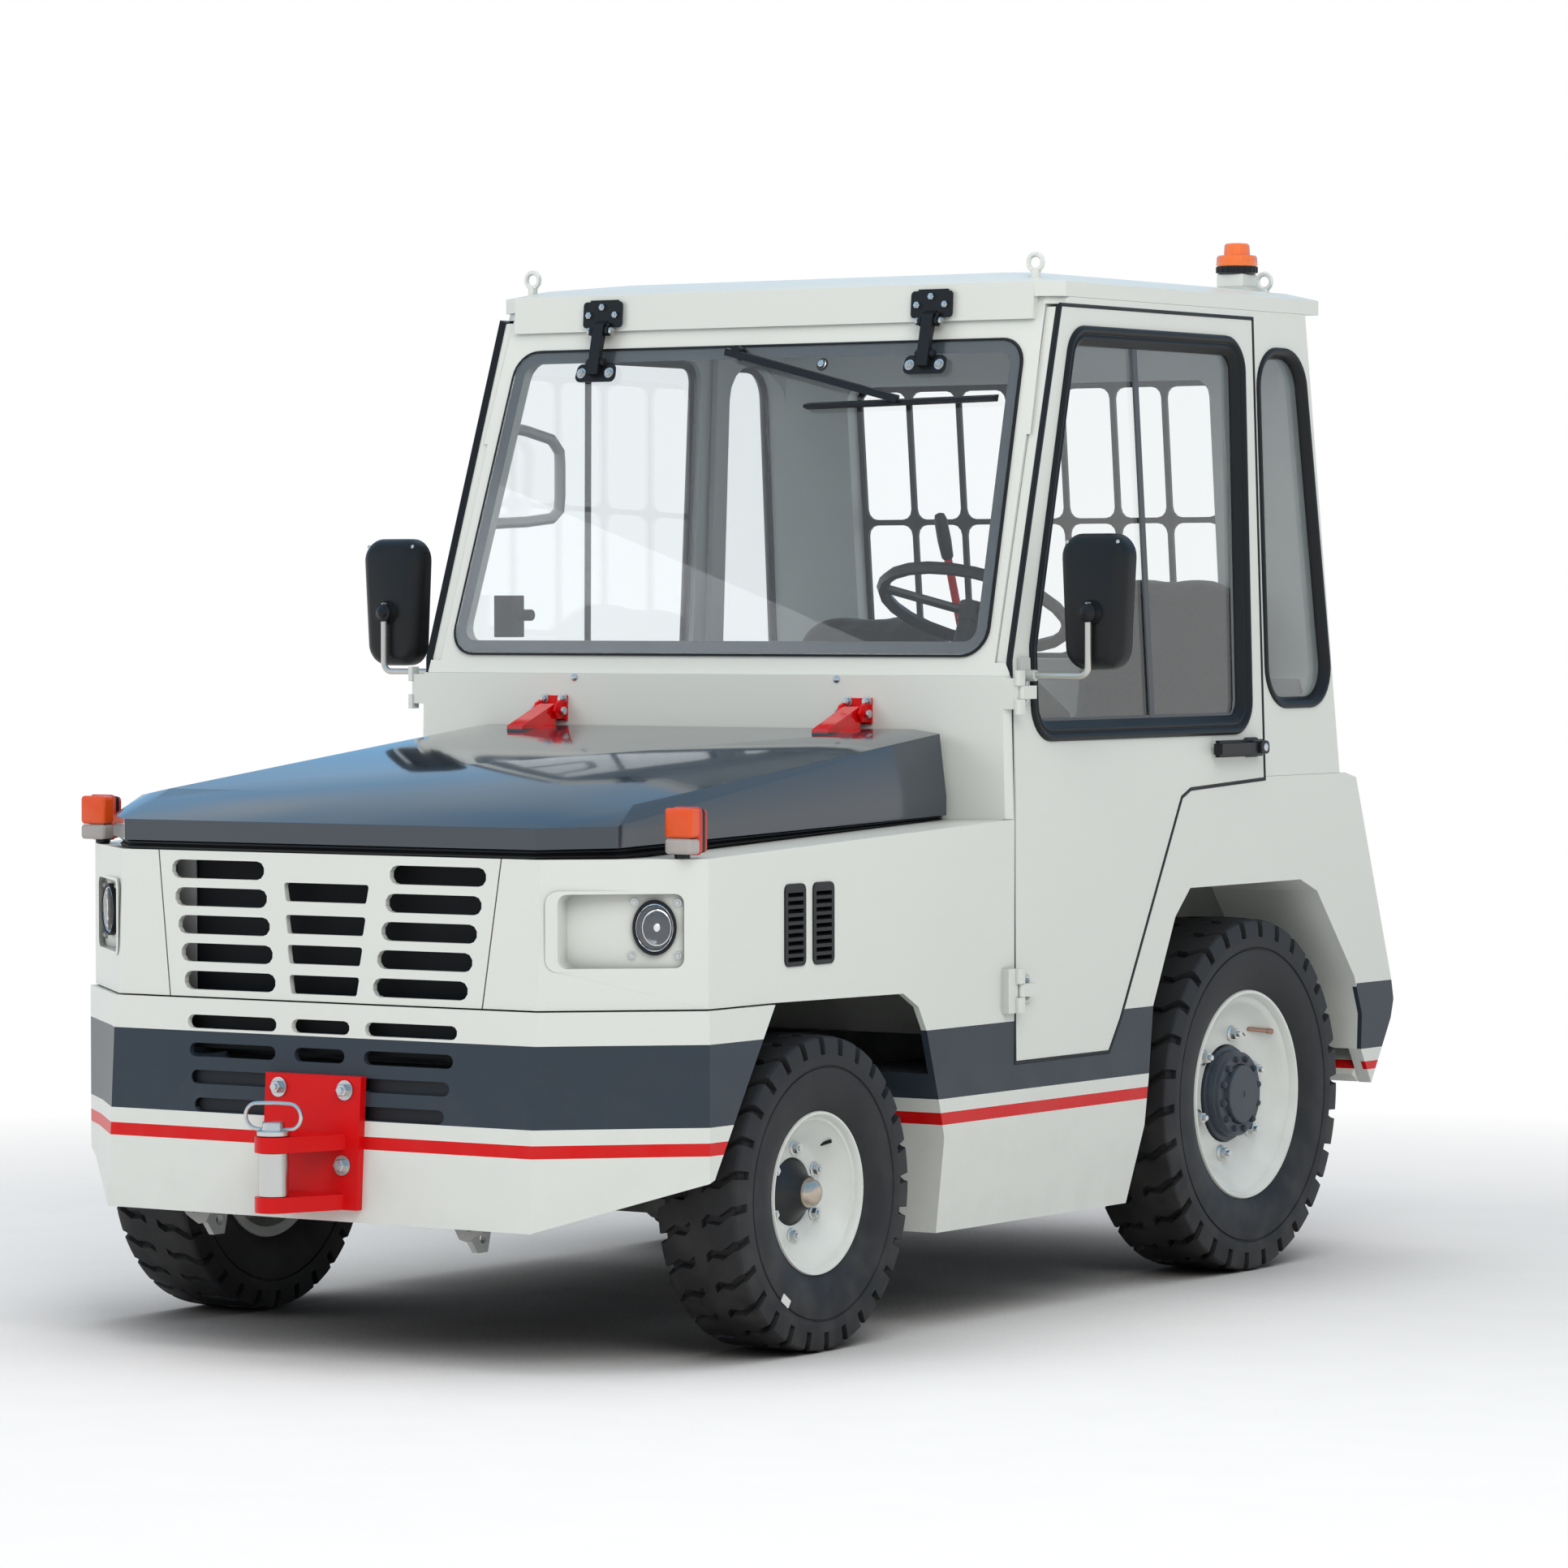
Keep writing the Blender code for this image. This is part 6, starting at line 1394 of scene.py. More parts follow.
def trim_rings(
    outline: Sequence[Flat], lift: Callable[[Flat, float], Vector], section: Sequence[Flat],
) -> list[list[Vector]]:
    """Rings of a rubber or strip that follows an outline.

    Args:
        outline: Closed outline in the surface.
        lift: Turns a point of the surface and a height over it into a world point.
        section: Points as distance outwards from the outline and height.

    Returns:
        One ring for each outline point.
    """
    count = len(outline)
    following = [*outline[1:], outline[0]]
    area = sum(here[0] * then[1] - then[0] * here[1] for here, then in zip(outline, following))
    turn = 1.0 if area > 0 else -1.0
    rings = []
    for index, point in enumerate(outline):
        here = Vector(point)
        normals = []
        for start, end in ((outline[index - 1], point), (point, outline[(index + 1) % count])):
            along = Vector(end) - Vector(start)
            if along.length > 1e-7:
                normals.append(Vector((along.y, -along.x)).normalized() * turn)
        mean = sum(normals, Vector((0.0, 0.0))).normalized()
        stretch = 1.0 / max(mean.dot(normals[0]), 0.5)
        rings.append([lift(tuple(here + mean * (reach * stretch)), height) for reach, height in section])
    return rings


def around(count: int, radius: float, out: float, start: float = 0.0) -> Iterator[Vector]:
    """Even places on a circle round a wheel's axis.

    Args:
        count: How many places.
        radius: Radius of the circle.
        out: Distance along the axis.
        start: Angle of the first place in degrees.

    Yields:
        Each place, seen from the wheel's centre.
    """
    for index in range(count):
        angle = math.radians(start + 360 * index / count)
        yield Vector((out, radius * math.cos(angle), radius * math.sin(angle)))


@dataclass(frozen=True)
class WheelPlace:
    """Where the left wheel of one axle turns, and how large its tyre is."""

    end: str
    station: float
    middle: float
    radius: float

    @property
    def hub(self) -> Vector:
        """Middle of the left wheel."""
        return Vector((self.middle, LINES.y(self.station), self.radius))


FRONT = WheelPlace("front", 0.548, 0.630, 0.288)
REAR = WheelPlace("rear", 2.176, 0.592, 0.358)


@dataclass
class Tyre(Sided):
    """Solid tyre with deep kinked grooves that open on its shoulders."""

    place: WheelPlace
    width: float
    bead: float
    pitches: int = 28
    depth: float = 0.013
    section: tuple[tuple[float, ...], ...] = (
        (0.74, 0.0, 0.0005, 0.0, 0.0, 0.0), (0.80, 0.0, 0.004, 0.0, 0.0, 0.0),
        (0.88, 0.12, 0.0, 0.0, 0.0, 0.0), (0.965, 0.30, 0.0, 0.0, 0.0, 0.0),
        (0.985, 0.46, 0.0, 0.0, 0.0, 0.0), (0.985, 0.575, 0.0, 0.0, 0.0, 0.0),
        (0.955, 0.585, 0.0, 0.0, 0.0, 0.0), (0.955, 0.600, 0.0, 0.0, 0.0, 0.0),
        (0.990, 0.612, 0.0, 0.0, 0.0, 0.0), (1.000, 0.69, 0.0, 0.0, 0.0, 0.0),
        (0.998, 0.745, 0.0, 0.0, 0.0, 0.0), (0.997, 0.750, 0.0, 0.70, 0.0, 0.0),
        (0.990, 0.86, 0.0, 1.1, 0.25, 0.02), (0.965, 0.955, 0.0, 0.9, 0.9, 0.04),
        (0.930, 1.0, -0.004, 0.5, 1.0, 0.05), (0.860, 1.0, -0.0025, 0.0, 1.0, 0.06),
        (0.560, 1.0, -0.0008, 0.0, 1.0, 0.34), (0.300, 1.0, -0.0002, 0.0, 0.9, 0.30),
        (0.160, 1.0, 0.0, 0.0, 0.85, 0.46), (0.150, 1.0, 0.0, 0.0, 0.0, 0.47),
    )

    def rows(self) -> list[tuple[float, float, float, float, float]]:
        """Section from the outer bead over the tread to the inner bead.

        The table gives shares of half the width and of the wall, a lift in metres, the
        groove's depth sideways and down as shares, and its shift.

        Returns:
            Rows of sideways place, radius, groove depth along the side, groove depth along
            the radius, and the groove's shift in pitches.
        """
        half = self.width / 2
        wall = self.place.radius - self.bead
        deep = self.depth
        outer = [
            (across * half, self.bead + share * wall + lift, sideways * deep, down * deep, shift)
            for across, share, lift, sideways, down, shift in self.section
        ]
        inner = [(-x, r, -sideways, down, 1.0 - shift) for x, r, sideways, down, shift in reversed(outer)]
        return outer + inner

    def build(self) -> None:
        """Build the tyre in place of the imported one."""
        work = Mesher()
        rows = self.rows()
        cuts = ((0.0, 1.0), (0.19, 1.0), (0.225, 0.0), (0.46, 0.0), (0.72, 0.0), (0.965, 0.0))
        end = self.place.end
        centre = self.place.hub
        rings = []
        for pitch in range(self.pitches):
            for share, cut in cuts:
                ring = []
                for across, radius, sideways, down, shift in rows:
                    angle = 2 * math.pi * (pitch + share + shift) / self.pitches
                    reach = radius - down * cut
                    x = across - sideways * cut
                    ring.append(centre + Vector((x, reach * math.cos(angle), reach * math.sin(angle))))
                rings.append(ring)
        work.loft(rings, caps=False, loop=True)
        made = self.put(
            work, f"tread_{end}", Skin.TYRE, "tyre_rubber", f"{end}_wheel_{self.word}", sharp=26.0
        )
        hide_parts(f"{end}_tyre_{self.word}")


@dataclass
class FrontRim(Sided):
    """Dished white rim with its nuts, the black drum in its hole and the bright cap."""

    radius: float = 0.145
    half: float = 0.0683
    nut_circle: float = 0.079
    nut_count: int = 6

    def build(self) -> None:
        """Build rim, drum, cap and nuts."""
        body = f"front_wheel_{self.word}"
        hub = FRONT.hub
        lip = self.half + 0.006
        profile = [
            (lip - 0.004, self.radius + 0.004), (lip, self.radius + 0.0025), (lip, self.radius - 0.001),
            (lip - 0.004, self.radius - 0.005), (lip - 0.012, self.radius - 0.007),
            (lip - 0.013, self.radius - 0.0125), (lip - 0.017, self.radius - 0.0145),
            (lip - 0.022, self.radius - 0.020), (0.036, 0.112), (0.024, 0.098), (0.018, 0.092),
            (0.016, 0.086), (0.016, 0.066), (0.014, 0.062), (0.006, 0.062), (0.006, 0.100),
            (0.0, self.radius - 0.022), (-lip + 0.004, self.radius - 0.016), (-lip, self.radius - 0.001),
            (-lip, self.radius + 0.0025), (-lip + 0.004, self.radius + 0.004),
            (-lip + 0.008, self.radius - 0.001), (lip - 0.008, self.radius - 0.001),
        ]
        rim = Mesher()
        rim.lathe(profile, hub, OUT, 72, closed=True)
        made = self.put(rim, "rim_shell", Skin.WHEEL, "white_paint", body, sharp=40.0)
        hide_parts(f"front_rim_{self.word}")
        drum = Mesher()
        drum.lathe(
            [
                (-0.066, 0.0), (-0.066, 0.055), (0.004, 0.0605), (0.012, 0.0605), (0.016, 0.056),
                (0.026, 0.044), (0.040, 0.034), (0.052, 0.030), (0.054, 0.0),
            ],
            hub, OUT, 40,
        )
        for spot in around(8, 0.050, 0.0135):
            drum.dome(hub + spot, OUT, 0.0045)
        self.put(drum, "hub_drum", Skin.DRUM, "cast_iron", body, sharp=32.0)
        cap = Mesher()
        cap.lathe(
            [
                (0.050, 0.0), (0.050, 0.0275), (0.056, 0.0275), (0.058, 0.0255), (0.064, 0.0245),
                (0.0685, 0.020), (0.0710, 0.012), (0.0718, 0.0),
            ],
            hub, OUT, 32,
        )
        self.put(cap, "hub_cap", Skin.BRONZE, "zinc_steel", body, sharp=50.0)
        nuts = Mesher()
        for spot in around(self.nut_count, self.nut_circle, 0.016, 27):
            nuts.lathe(
                [(-0.001, 0.0135), (0.0025, 0.0135), (0.0045, 0.0095), (0.0045, 0.0)], hub + spot, OUT, 20
            )
            nuts.bolt(hub + spot + OUT * 0.004, OUT, 0.0175, washer=False)
        self.put(nuts, "wheel_nuts", Skin.ZINC, "zinc_steel", body, sharp=30.0)
        valve = Mesher()
        valve.rod(hub + Vector((0.020, 0.070, 0.078)), hub + Vector((0.050, 0.078, 0.088)), 0.0035, 10)
        self.put(valve, "valve_front", Skin.RUBBER, "black_plastic", body)


@dataclass
class RearRim(Sided):
    """Deep white rim with a slate planetary hub, its bolts, the flat cap and the wheel nuts."""

    radius: float = 0.207
    half: float = 0.0741
    nut_circle: float = 0.122
    nut_count: int = 6

    def build(self) -> None:
        """Build rim, hub, bolts, nuts and valve."""
        body = f"rear_wheel_{self.word}"
        hub = REAR.hub
        lip = self.half + 0.006
        profile = [
            (lip - 0.004, self.radius + 0.005), (lip, self.radius + 0.003), (lip, self.radius - 0.002),
            (lip - 0.004, self.radius - 0.006), (lip - 0.014, self.radius - 0.010),
            (lip - 0.016, self.radius - 0.018), (lip - 0.022, self.radius - 0.023),
            (0.048, self.radius - 0.032), (0.038, self.radius - 0.040), (0.032, self.radius - 0.050),
            (0.029, self.radius - 0.058), (0.028, 0.100), (0.018, 0.094), (0.014, 0.094),
            (0.014, self.radius - 0.030), (-lip + 0.006, self.radius - 0.016), (-lip, self.radius - 0.002),
            (-lip, self.radius + 0.003), (-lip + 0.004, self.radius + 0.005),
            (-lip + 0.009, self.radius - 0.001), (lip - 0.009, self.radius - 0.001),
        ]
        rim = Mesher()
        rim.lathe(profile, hub, OUT, 96, closed=True)
        made = self.put(rim, "rim_shell_rear", Skin.WHEEL, "white_paint", body, sharp=40.0)
        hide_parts(f"rear_rim_{self.word}")
        case = Mesher()
        case.lathe(
            [
                (-0.068, 0.0), (-0.068, 0.075), (0.010, 0.093), (0.034, 0.0965), (0.036, 0.0955),
                (0.037, 0.088), (0.050, 0.087), (0.052, 0.0855), (0.060, 0.085), (0.062, 0.083),
                (0.062, 0.0615), (0.060, 0.0605), (0.062, 0.0595), (0.070, 0.0590), (0.072, 0.0570),
                (0.0722, 0.006), (0.0705, 0.005), (0.0705, 0.0),
            ],
            hub, OUT, 64,
        )
        self.put(case, "hub_case", Skin.HUB, "slate_paint", body, sharp=32.0)
        screws = Mesher()
        for spot in around(12, 0.0722, 0.0615, 12):
            screws.bolt(hub + spot, OUT, 0.0125, washer=False)
        self.put(screws, "hub_screws", Skin.HUB, "slate_paint", body, sharp=30.0)
        nuts = Mesher()
        for spot in around(self.nut_count, self.nut_circle, 0.028, 20):
            nuts.lathe(
                [(-0.001, 0.0165), (0.003, 0.0165), (0.006, 0.0115), (0.006, 0.0)], hub + spot, OUT, 20
            )
            nuts.bolt(hub + spot + OUT * 0.005, OUT, 0.021, washer=False)
            nuts.rod(hub + spot, hub + spot + OUT * 0.024, 0.0062, 12)
        self.put(nuts, "wheel_nuts_rear", Skin.ZINC, "zinc_steel", body, sharp=30.0)
        # Painted shade: a thin near-black plate stands for the valve hole in the hub.
        port = Mesher()
        slot = rounded_box((0.068, 0.112), (0.094, 0.144), 0.012, 5)
        port.prism([hub + Vector((0.0282, y, z)) for y, z in slot], Vector((0.0006, 0.0, 0.0)))
        self.put(port, "valve_port", Skin.DARK, "black_plastic", body)
        valve = Mesher()
        valve.rod(hub + Vector((0.030, 0.086, 0.126)), hub + Vector((0.054, 0.128, 0.120)), 0.0042, 12)
        valve.rod(hub + Vector((0.053, 0.126, 0.1203)), hub + Vector((0.060, 0.139, 0.1185)), 0.0055, 12)
        self.put(valve, "valve_rear", Skin.COPPER, "zinc_steel", body)


@dataclass
class Running:
    """All four wheels and the blank tag on a front tyre."""

    tag_out: float = 0.7158
    tag_angle: float = -0.6039
    tag_reach: float = 0.2221

    def build(self) -> None:
        """Build tyres, rims and tag."""
        for side, word in SIDES:
            Tyre(word, side, FRONT, 0.175, 0.1455).build()
            Tyre(word, side, REAR, 0.190, 0.2075, pitches=30, depth=0.015).build()
            FrontRim(word, side).build()
            RearRim(word, side).build()
        self.tag()

    def tag(self) -> None:
        """Blank white tag on the side of the near front tyre."""
        angle = self.tag_angle
        out = Vector((0.0, math.sin(angle), -math.cos(angle)))
        along_rim = Vector((0.0, math.cos(angle), math.sin(angle)))
        at = Vector((self.tag_out, *FRONT.hub.yz)) + out * self.tag_reach
        corners = rounded_box((-0.014, -0.008), (0.014, 0.008), 0.002, 3)
        work = Mesher()
        work.prism(
            [at + along_rim * along + out * across for along, across in corners], Vector((0.0008, 0.0, 0.0))
        )
        work.piece("blank_tag", "front_wheel_left", Skin.TAG, "tyre_rubber", 1)


@dataclass
class Headlamp(Sided):
    """Round lamp in its pocket: rubber bezel, bright bowl, bulb and domed lens, with the panel's screws."""

    x: float = 0.6175
    z: float = 0.784
    radius: float = 0.0488
    narrow: float = 0.80

    def build(self) -> None:
        """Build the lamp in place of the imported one."""
        floor = Vector((0.8357, 0.5492, 0.0))
        ahead = Vector((floor.y, -floor.x, 0.0))
        root = Vector((self.x, LINES.y(LINES.pocket_s(self.x)), self.z)) + ahead * 0.0004
        inner = root + floor * 0.0050
        big = self.radius
        squeeze = Matrix.Translation(root) @ Matrix.Scale(self.narrow, 4, floor) @ Matrix.Translation(-root)
        bezel = Mesher()
        bezel.lathe(
            [
                (0.0, big - 0.0115), (0.0, big), (0.0085, big), (0.0105, big - 0.0015),
                (0.0108, big - 0.0035), (0.0095, big - 0.0050), (0.0075, big - 0.0055),
                (0.0060, big - 0.0075), (0.0025, big - 0.0105),
            ],
            root, ahead, 56, closed=True,
        )
        ring = Mesher()
        ring.lathe(
            [
                (0.0062, big - 0.0072), (0.0084, big - 0.0060), (0.0092, big - 0.0074),
                (0.0080, big - 0.0088)
            ],
            root, ahead, 56, closed=True,
        )
        ring.lathe(
            [(0.0052, 0.0305), (0.0070, 0.0320), (0.0078, 0.0305), (0.0060, 0.0290)], inner, ahead, 48,
            closed=True
        )
        bowl = Mesher()
        bowl.lathe(
            [(0.0008, 0.0), (0.0008, big - 0.0118), (0.0022, big - 0.0118), (0.0016, 0.030), (0.0016, 0.0)],
            root, ahead, 48
        )
        bowl.lathe(
            [
                (0.0018, 0.0292), (0.0050, 0.0290), (0.0035, 0.0235), (0.0026, 0.0150), (0.0021, 0.0060),
                (0.0020, 0.0)
            ],
            inner, ahead, 40,
        )
        bulb = Mesher()
        bulb.lathe(
            [(0.0022, 0.0), (0.0022, 0.0075), (0.0046, 0.0070), (0.0058, 0.0045), (0.0062, 0.0)], inner,
            ahead, 24
        )
        lens = Mesher()
        lens.lathe(
            [
                (0.0082, 0.0), (0.0082, big - 0.0095), (0.0092, big - 0.0095), (0.0112, big - 0.017),
                (0.0128, 0.016), (0.0134, 0.0)
            ],
            root, ahead, 56,
        )
        for work in (bezel, ring, bowl, bulb, lens):
            bmesh.ops.transform(work.mesh, matrix=squeeze, verts=work.mesh.verts)
        made = self.put(bezel, "lamp_bezel", Skin.PLASTIC, "black_plastic", sharp=35.0)
        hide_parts(f"headlamp_{self.word}")
        self.put(ring, "lamp_ring", Skin.CHROME, "zinc_steel")
        self.put(bowl, "lamp_bowl", Skin.SMOKED, "zinc_steel", sharp=60.0)
        self.put(bulb, "lamp_bulb", Skin.CHROME, "zinc_steel", sharp=40.0)
        self.put(lens, "lamp_lens", Skin.CLEAR, "lamp_glass", sharp=50.0)
        screws = Mesher()
        for x, z in ((0.588, 0.8285), (0.6515, 0.8275), (0.584, 0.7355), (0.6515, 0.7345)):
            screws.bolt(Vector((x, LINES.y(LINES.pocket_s(x)) - 0.0006, z)), ahead, 0.0085)
        self.put(screws, "pocket_screws", Skin.ZINC, "zinc_steel")


@dataclass
class TurnSignal(Sided):
    """Combined lamp: ribbed amber over clear, red rim, black housing with a second face behind."""

    x: Flat = (0.635, 0.699)
    s: Flat = (0.151, 0.205)
    z: Flat = (0.912, 0.997)

    def shell(self, work: Mesher, levels: Flat, stations: Flat, margin: float, radius: float) -> None:
        """Add one rounded block that spans the lamp's width.

        Args:
            work: Mesher that takes the block.
            levels: Heights of its foot and top.
            stations: Stations of its front and back.
            margin: Distance inside the lamp's width.
            radius: Radius of its corners.
        """
        x0, x1 = self.x
        corners = [
            (x0 + margin, levels[0]), (x1 - margin, levels[0]), (x1 - margin, levels[1]),
            (x0 + margin, levels[1])
        ]
        ring = rounded(corners, radius, 4)
        front, back = stations
        steps = ((front, 0.006), (front + 0.0015, 0.0025), (front + 0.005, 0.0), (back, 0.0))
        rings = []
        for station, shrink in steps:
            shape = grown(ring, -shrink)
            rings.append([Vector((x, LINES.y(station), z)) for x, z in shape])
        work.loft(rings)

    def build(self) -> None:
        """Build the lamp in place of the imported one."""
        split = self.z[0] + 0.030
        amber = Mesher()
        self.shell(
            amber, (split + 0.0004, self.z[1] - 0.002), (self.s[0] + 0.002, self.s[0] + 0.030), 0.003, 0.007
        )
        made = self.put(amber, "signal_amber", Skin.AMBER_SIGNAL, "amber_lens")
        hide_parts(f"turn_signal_{self.word}")
        clear = Mesher()
        self.shell(
            clear, (self.z[0] + 0.002, split - 0.0004), (self.s[0] + 0.002, self.s[0] + 0.030), 0.003, 0.007
        )
        self.put(clear, "signal_clear", Skin.RIBBED, "lamp_glass")
        rim = Mesher()
        self.shell(rim, self.z, (self.s[0] + 0.028, self.s[0] + 0.034), 0.0, 0.010)
        self.put(rim, "signal_rim", Skin.SIGNAL_RED, "red_paint")
        case = Mesher()
        self.shell(
            case, (self.z[0] + 0.003, self.z[1] - 0.003), (self.s[0] + 0.034, self.s[1] - 0.006), 0.004,
            0.008
        )
        case.rod(
            Vector((0.661, LINES.y(0.178), 0.9052)), Vector((0.661, LINES.y(0.178), self.z[0] + 0.006)),
            0.014, 20,
        )
        self.put(case, "signal_case", Skin.PLASTIC, "black_plastic")
        back = Mesher()
        self.shell(
            back, (self.z[0] + 0.004, self.z[1] - 0.004), (self.s[1] - 0.006, self.s[1]), 0.004, 0.008
        )
        self.put(back, "signal_back", Skin.SIGNAL_RED, "red_paint")


@dataclass
class Rubbers:
    """Seals and rubber frames of doors, door windows, quarter windows and windshield."""

    pane_foot: float = 1.772
    pane_head: float = 1.742
    rail_z: float = 1.126

    def build(self) -> None:
        """Build every rubber on both sides."""
        rear = REAR.station
        door = [
            (1.235, 0.485), (rear - 0.598, 0.485), (rear - 0.555, 0.546), (rear - 0.317, 0.972),
            (rear - 0.280, 0.988), (rear + 0.016, 1.001), (rear + 0.020, 1.925), (1.455, 1.925),
            (1.235, 1.246),
        ]
        window = rounded(
            [(1.318, 1.110), (2.125, 1.110), (2.137, 1.870), (1.500, 1.870), (1.318, 1.270)], 0.050, 8
        )
        quarter = rounded([(2.219, 1.150), (2.478, 1.150), (2.396, 1.862), (2.219, 1.862)], 0.075, 9)
        seal = [
            (0.0004, -0.012), (0.0004, 0.0002), (0.0012, 0.0018), (0.0034, 0.0012), (0.0056, 0.0018),
            (0.0072, 0.0004), (0.0072, -0.0010), (0.0020, -0.012),
        ]
        frame_section = [
            (-0.018, -0.0135), (-0.018, -0.0095), (-0.0165, -0.0075), (-0.010, -0.0040), (-0.0065, 0.0010),
            (-0.0030, 0.0035), (0.0005, 0.0032), (0.0030, 0.0012), (0.0050, 0.0016), (0.0080, 0.0060),
            (0.0120, 0.0085), (0.0165, 0.0080), (0.0200, 0.0050), (0.0212, 0.0006), (0.0205, -0.0010),
            (0.0000, -0.0012), (-0.0002, -0.0135),
        ]
        slim = [
            (-0.012, -0.0135), (-0.012, -0.0100), (-0.0075, -0.0040), (-0.0040, 0.0012), (0.0, 0.0042),
            (0.0050, 0.0060), (0.0095, 0.0045), (0.0115, 0.0004), (0.0108, -0.0010), (0.0002, -0.0012),
            (0.0, -0.0135),
        ]
        for side, word in SIDES:
            leaf = f"door_{word}_body"
            for name, outline, section, body in (
                (f"door_seal_{word}", door, seal, "chassis"),
                (f"window_rubber_{word}", window, frame_section, leaf),
                (f"quarter_rubber_{word}", quarter, slim, "chassis"),
            ):
                work = Mesher()
                work.loft(trim_rings(outline, LINES.on_side, section), caps=False, loop=True)
                work.piece(name, body, Skin.RUBBER, "black_plastic", side, sharp=40.0)
            self.slider(side, word, leaf)
        self.screen()

    def slider(self, side: int, word: str, leaf: str) -> None:
        """Upright bar and rail of the sliding panes.

        Args:
            side: 1 for left, -1 for right.
            word: Name of the side.
            leaf: Body of the door.
        """
        work = Mesher()
        bar = ((-0.011, -0.0128), (-0.009, -0.0095), (0.009, -0.0095), (0.011, -0.0128))
        ends = ((self.pane_foot, 1.120), (self.pane_head, 1.858))
        work.loft([[LINES.on_side((station + ds, z), out) for ds, out in bar] for station, z in ends])
        rail = ((0.0, -0.0132), (0.0, -0.0105), (0.008, -0.0105), (0.008, -0.0132))
        work.loft(
            [
                [
                    LINES.on_side((station, self.rail_z + dz), out) for dz, out in rail
                ] for station in (1.345, 2.100)
            ]
        )
        work.piece(f"pane_bars_{word}", leaf, Skin.SHADOW_BAR, "black_plastic", side, bevel=0.0008)

    def screen(self) -> None:
        """Dark border at the edge of the windshield, painted shade of the frame seen through the glass, and
        the seal round it.
        """
        corners = [(-0.632, 1.256), (0.632, 1.256), (0.600, 1.862), (-0.600, 1.862)]
        outline = rounded(corners, 0.050, 8)
        work = Mesher()
        border = [(-0.024, 0.0004), (-0.024, 0.0009), (-0.0005, 0.0009), (-0.0005, 0.0004)]
        lip = [(0.0003, -0.0002), (0.0003, 0.0062), (0.0016, 0.0072), (0.0040, 0.0060), (0.0050, 0.0002)]
        work.loft(trim_rings(outline, LINES.on_screen, lip), caps=False, loop=True)
        work.piece("screen_seal", "chassis", Skin.RUBBER, "black_plastic", 1, sharp=40.0)
        # Painted shade: dark band laid on the glass's edge.
        inner = Mesher()
        inner.loft(trim_rings(outline, LINES.on_screen, border), caps=False, loop=True)
        inner.piece("screen_border", "chassis", Skin.BORDER, "black_plastic", 1)


@dataclass
class HitchPin:
    """Zinc pin with its spacer between the lugs, head and wire handle."""

    name: str
    node: str
    station: float
    foot: float
    top: float
    gap: Flat
    radius: float = 0.0195
    sleeve: float = 0.0270

    def build(self) -> None:
        """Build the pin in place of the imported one."""
        base = Vector((0.0, LINES.y(self.station), self.foot))
        work = Mesher()
        length = self.top - self.foot + 0.0004
        work.lathe(
            [
                (0.0, 0.012), (0.003, self.radius), (length, self.radius), (length, 0.028),
                (length + 0.002, 0.030), (length + 0.009, 0.030), (length + 0.011, 0.028),
                (length + 0.011, 0.021), (length + 0.024, 0.020), (length + 0.026, 0.018),
                (length + 0.026, 0.0),
            ],
            base, UP, 40,
        )
        low, high = self.gap[0] - self.foot, self.gap[1] - self.foot
        work.lathe(
            [
                (low + 0.0005, self.radius + 0.0002), (low + 0.0005, self.sleeve - 0.001),
                (low + 0.0015, self.sleeve), (high - 0.0015, self.sleeve),
                (high - 0.0005, self.sleeve - 0.001), (high - 0.0005, self.radius + 0.0002),
            ],
            base, UP, 40, closed=True,
        )
        level = self.top + 0.036
        side = Vector((0.98, 0.20, 0.0)).normalized()
        middle = Vector((0.0, LINES.y(self.station), level))
        path = []
        for index in range(40):
            angle = 2 * math.pi * index / 40
            reach = 0.026 * math.cos(angle) + math.copysign(0.029, math.cos(angle)) * min(
                1.0, abs(math.cos(angle)) * 3
            )
            path.append(middle + side * reach + UP * (0.024 * math.sin(angle)))
        work.tube(path, 0.0036, 10, closed=True)
        made = work.piece(self.name, "chassis", Skin.ZINC, "zinc_steel", 1, sharp=32.0)
        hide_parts(self.node)


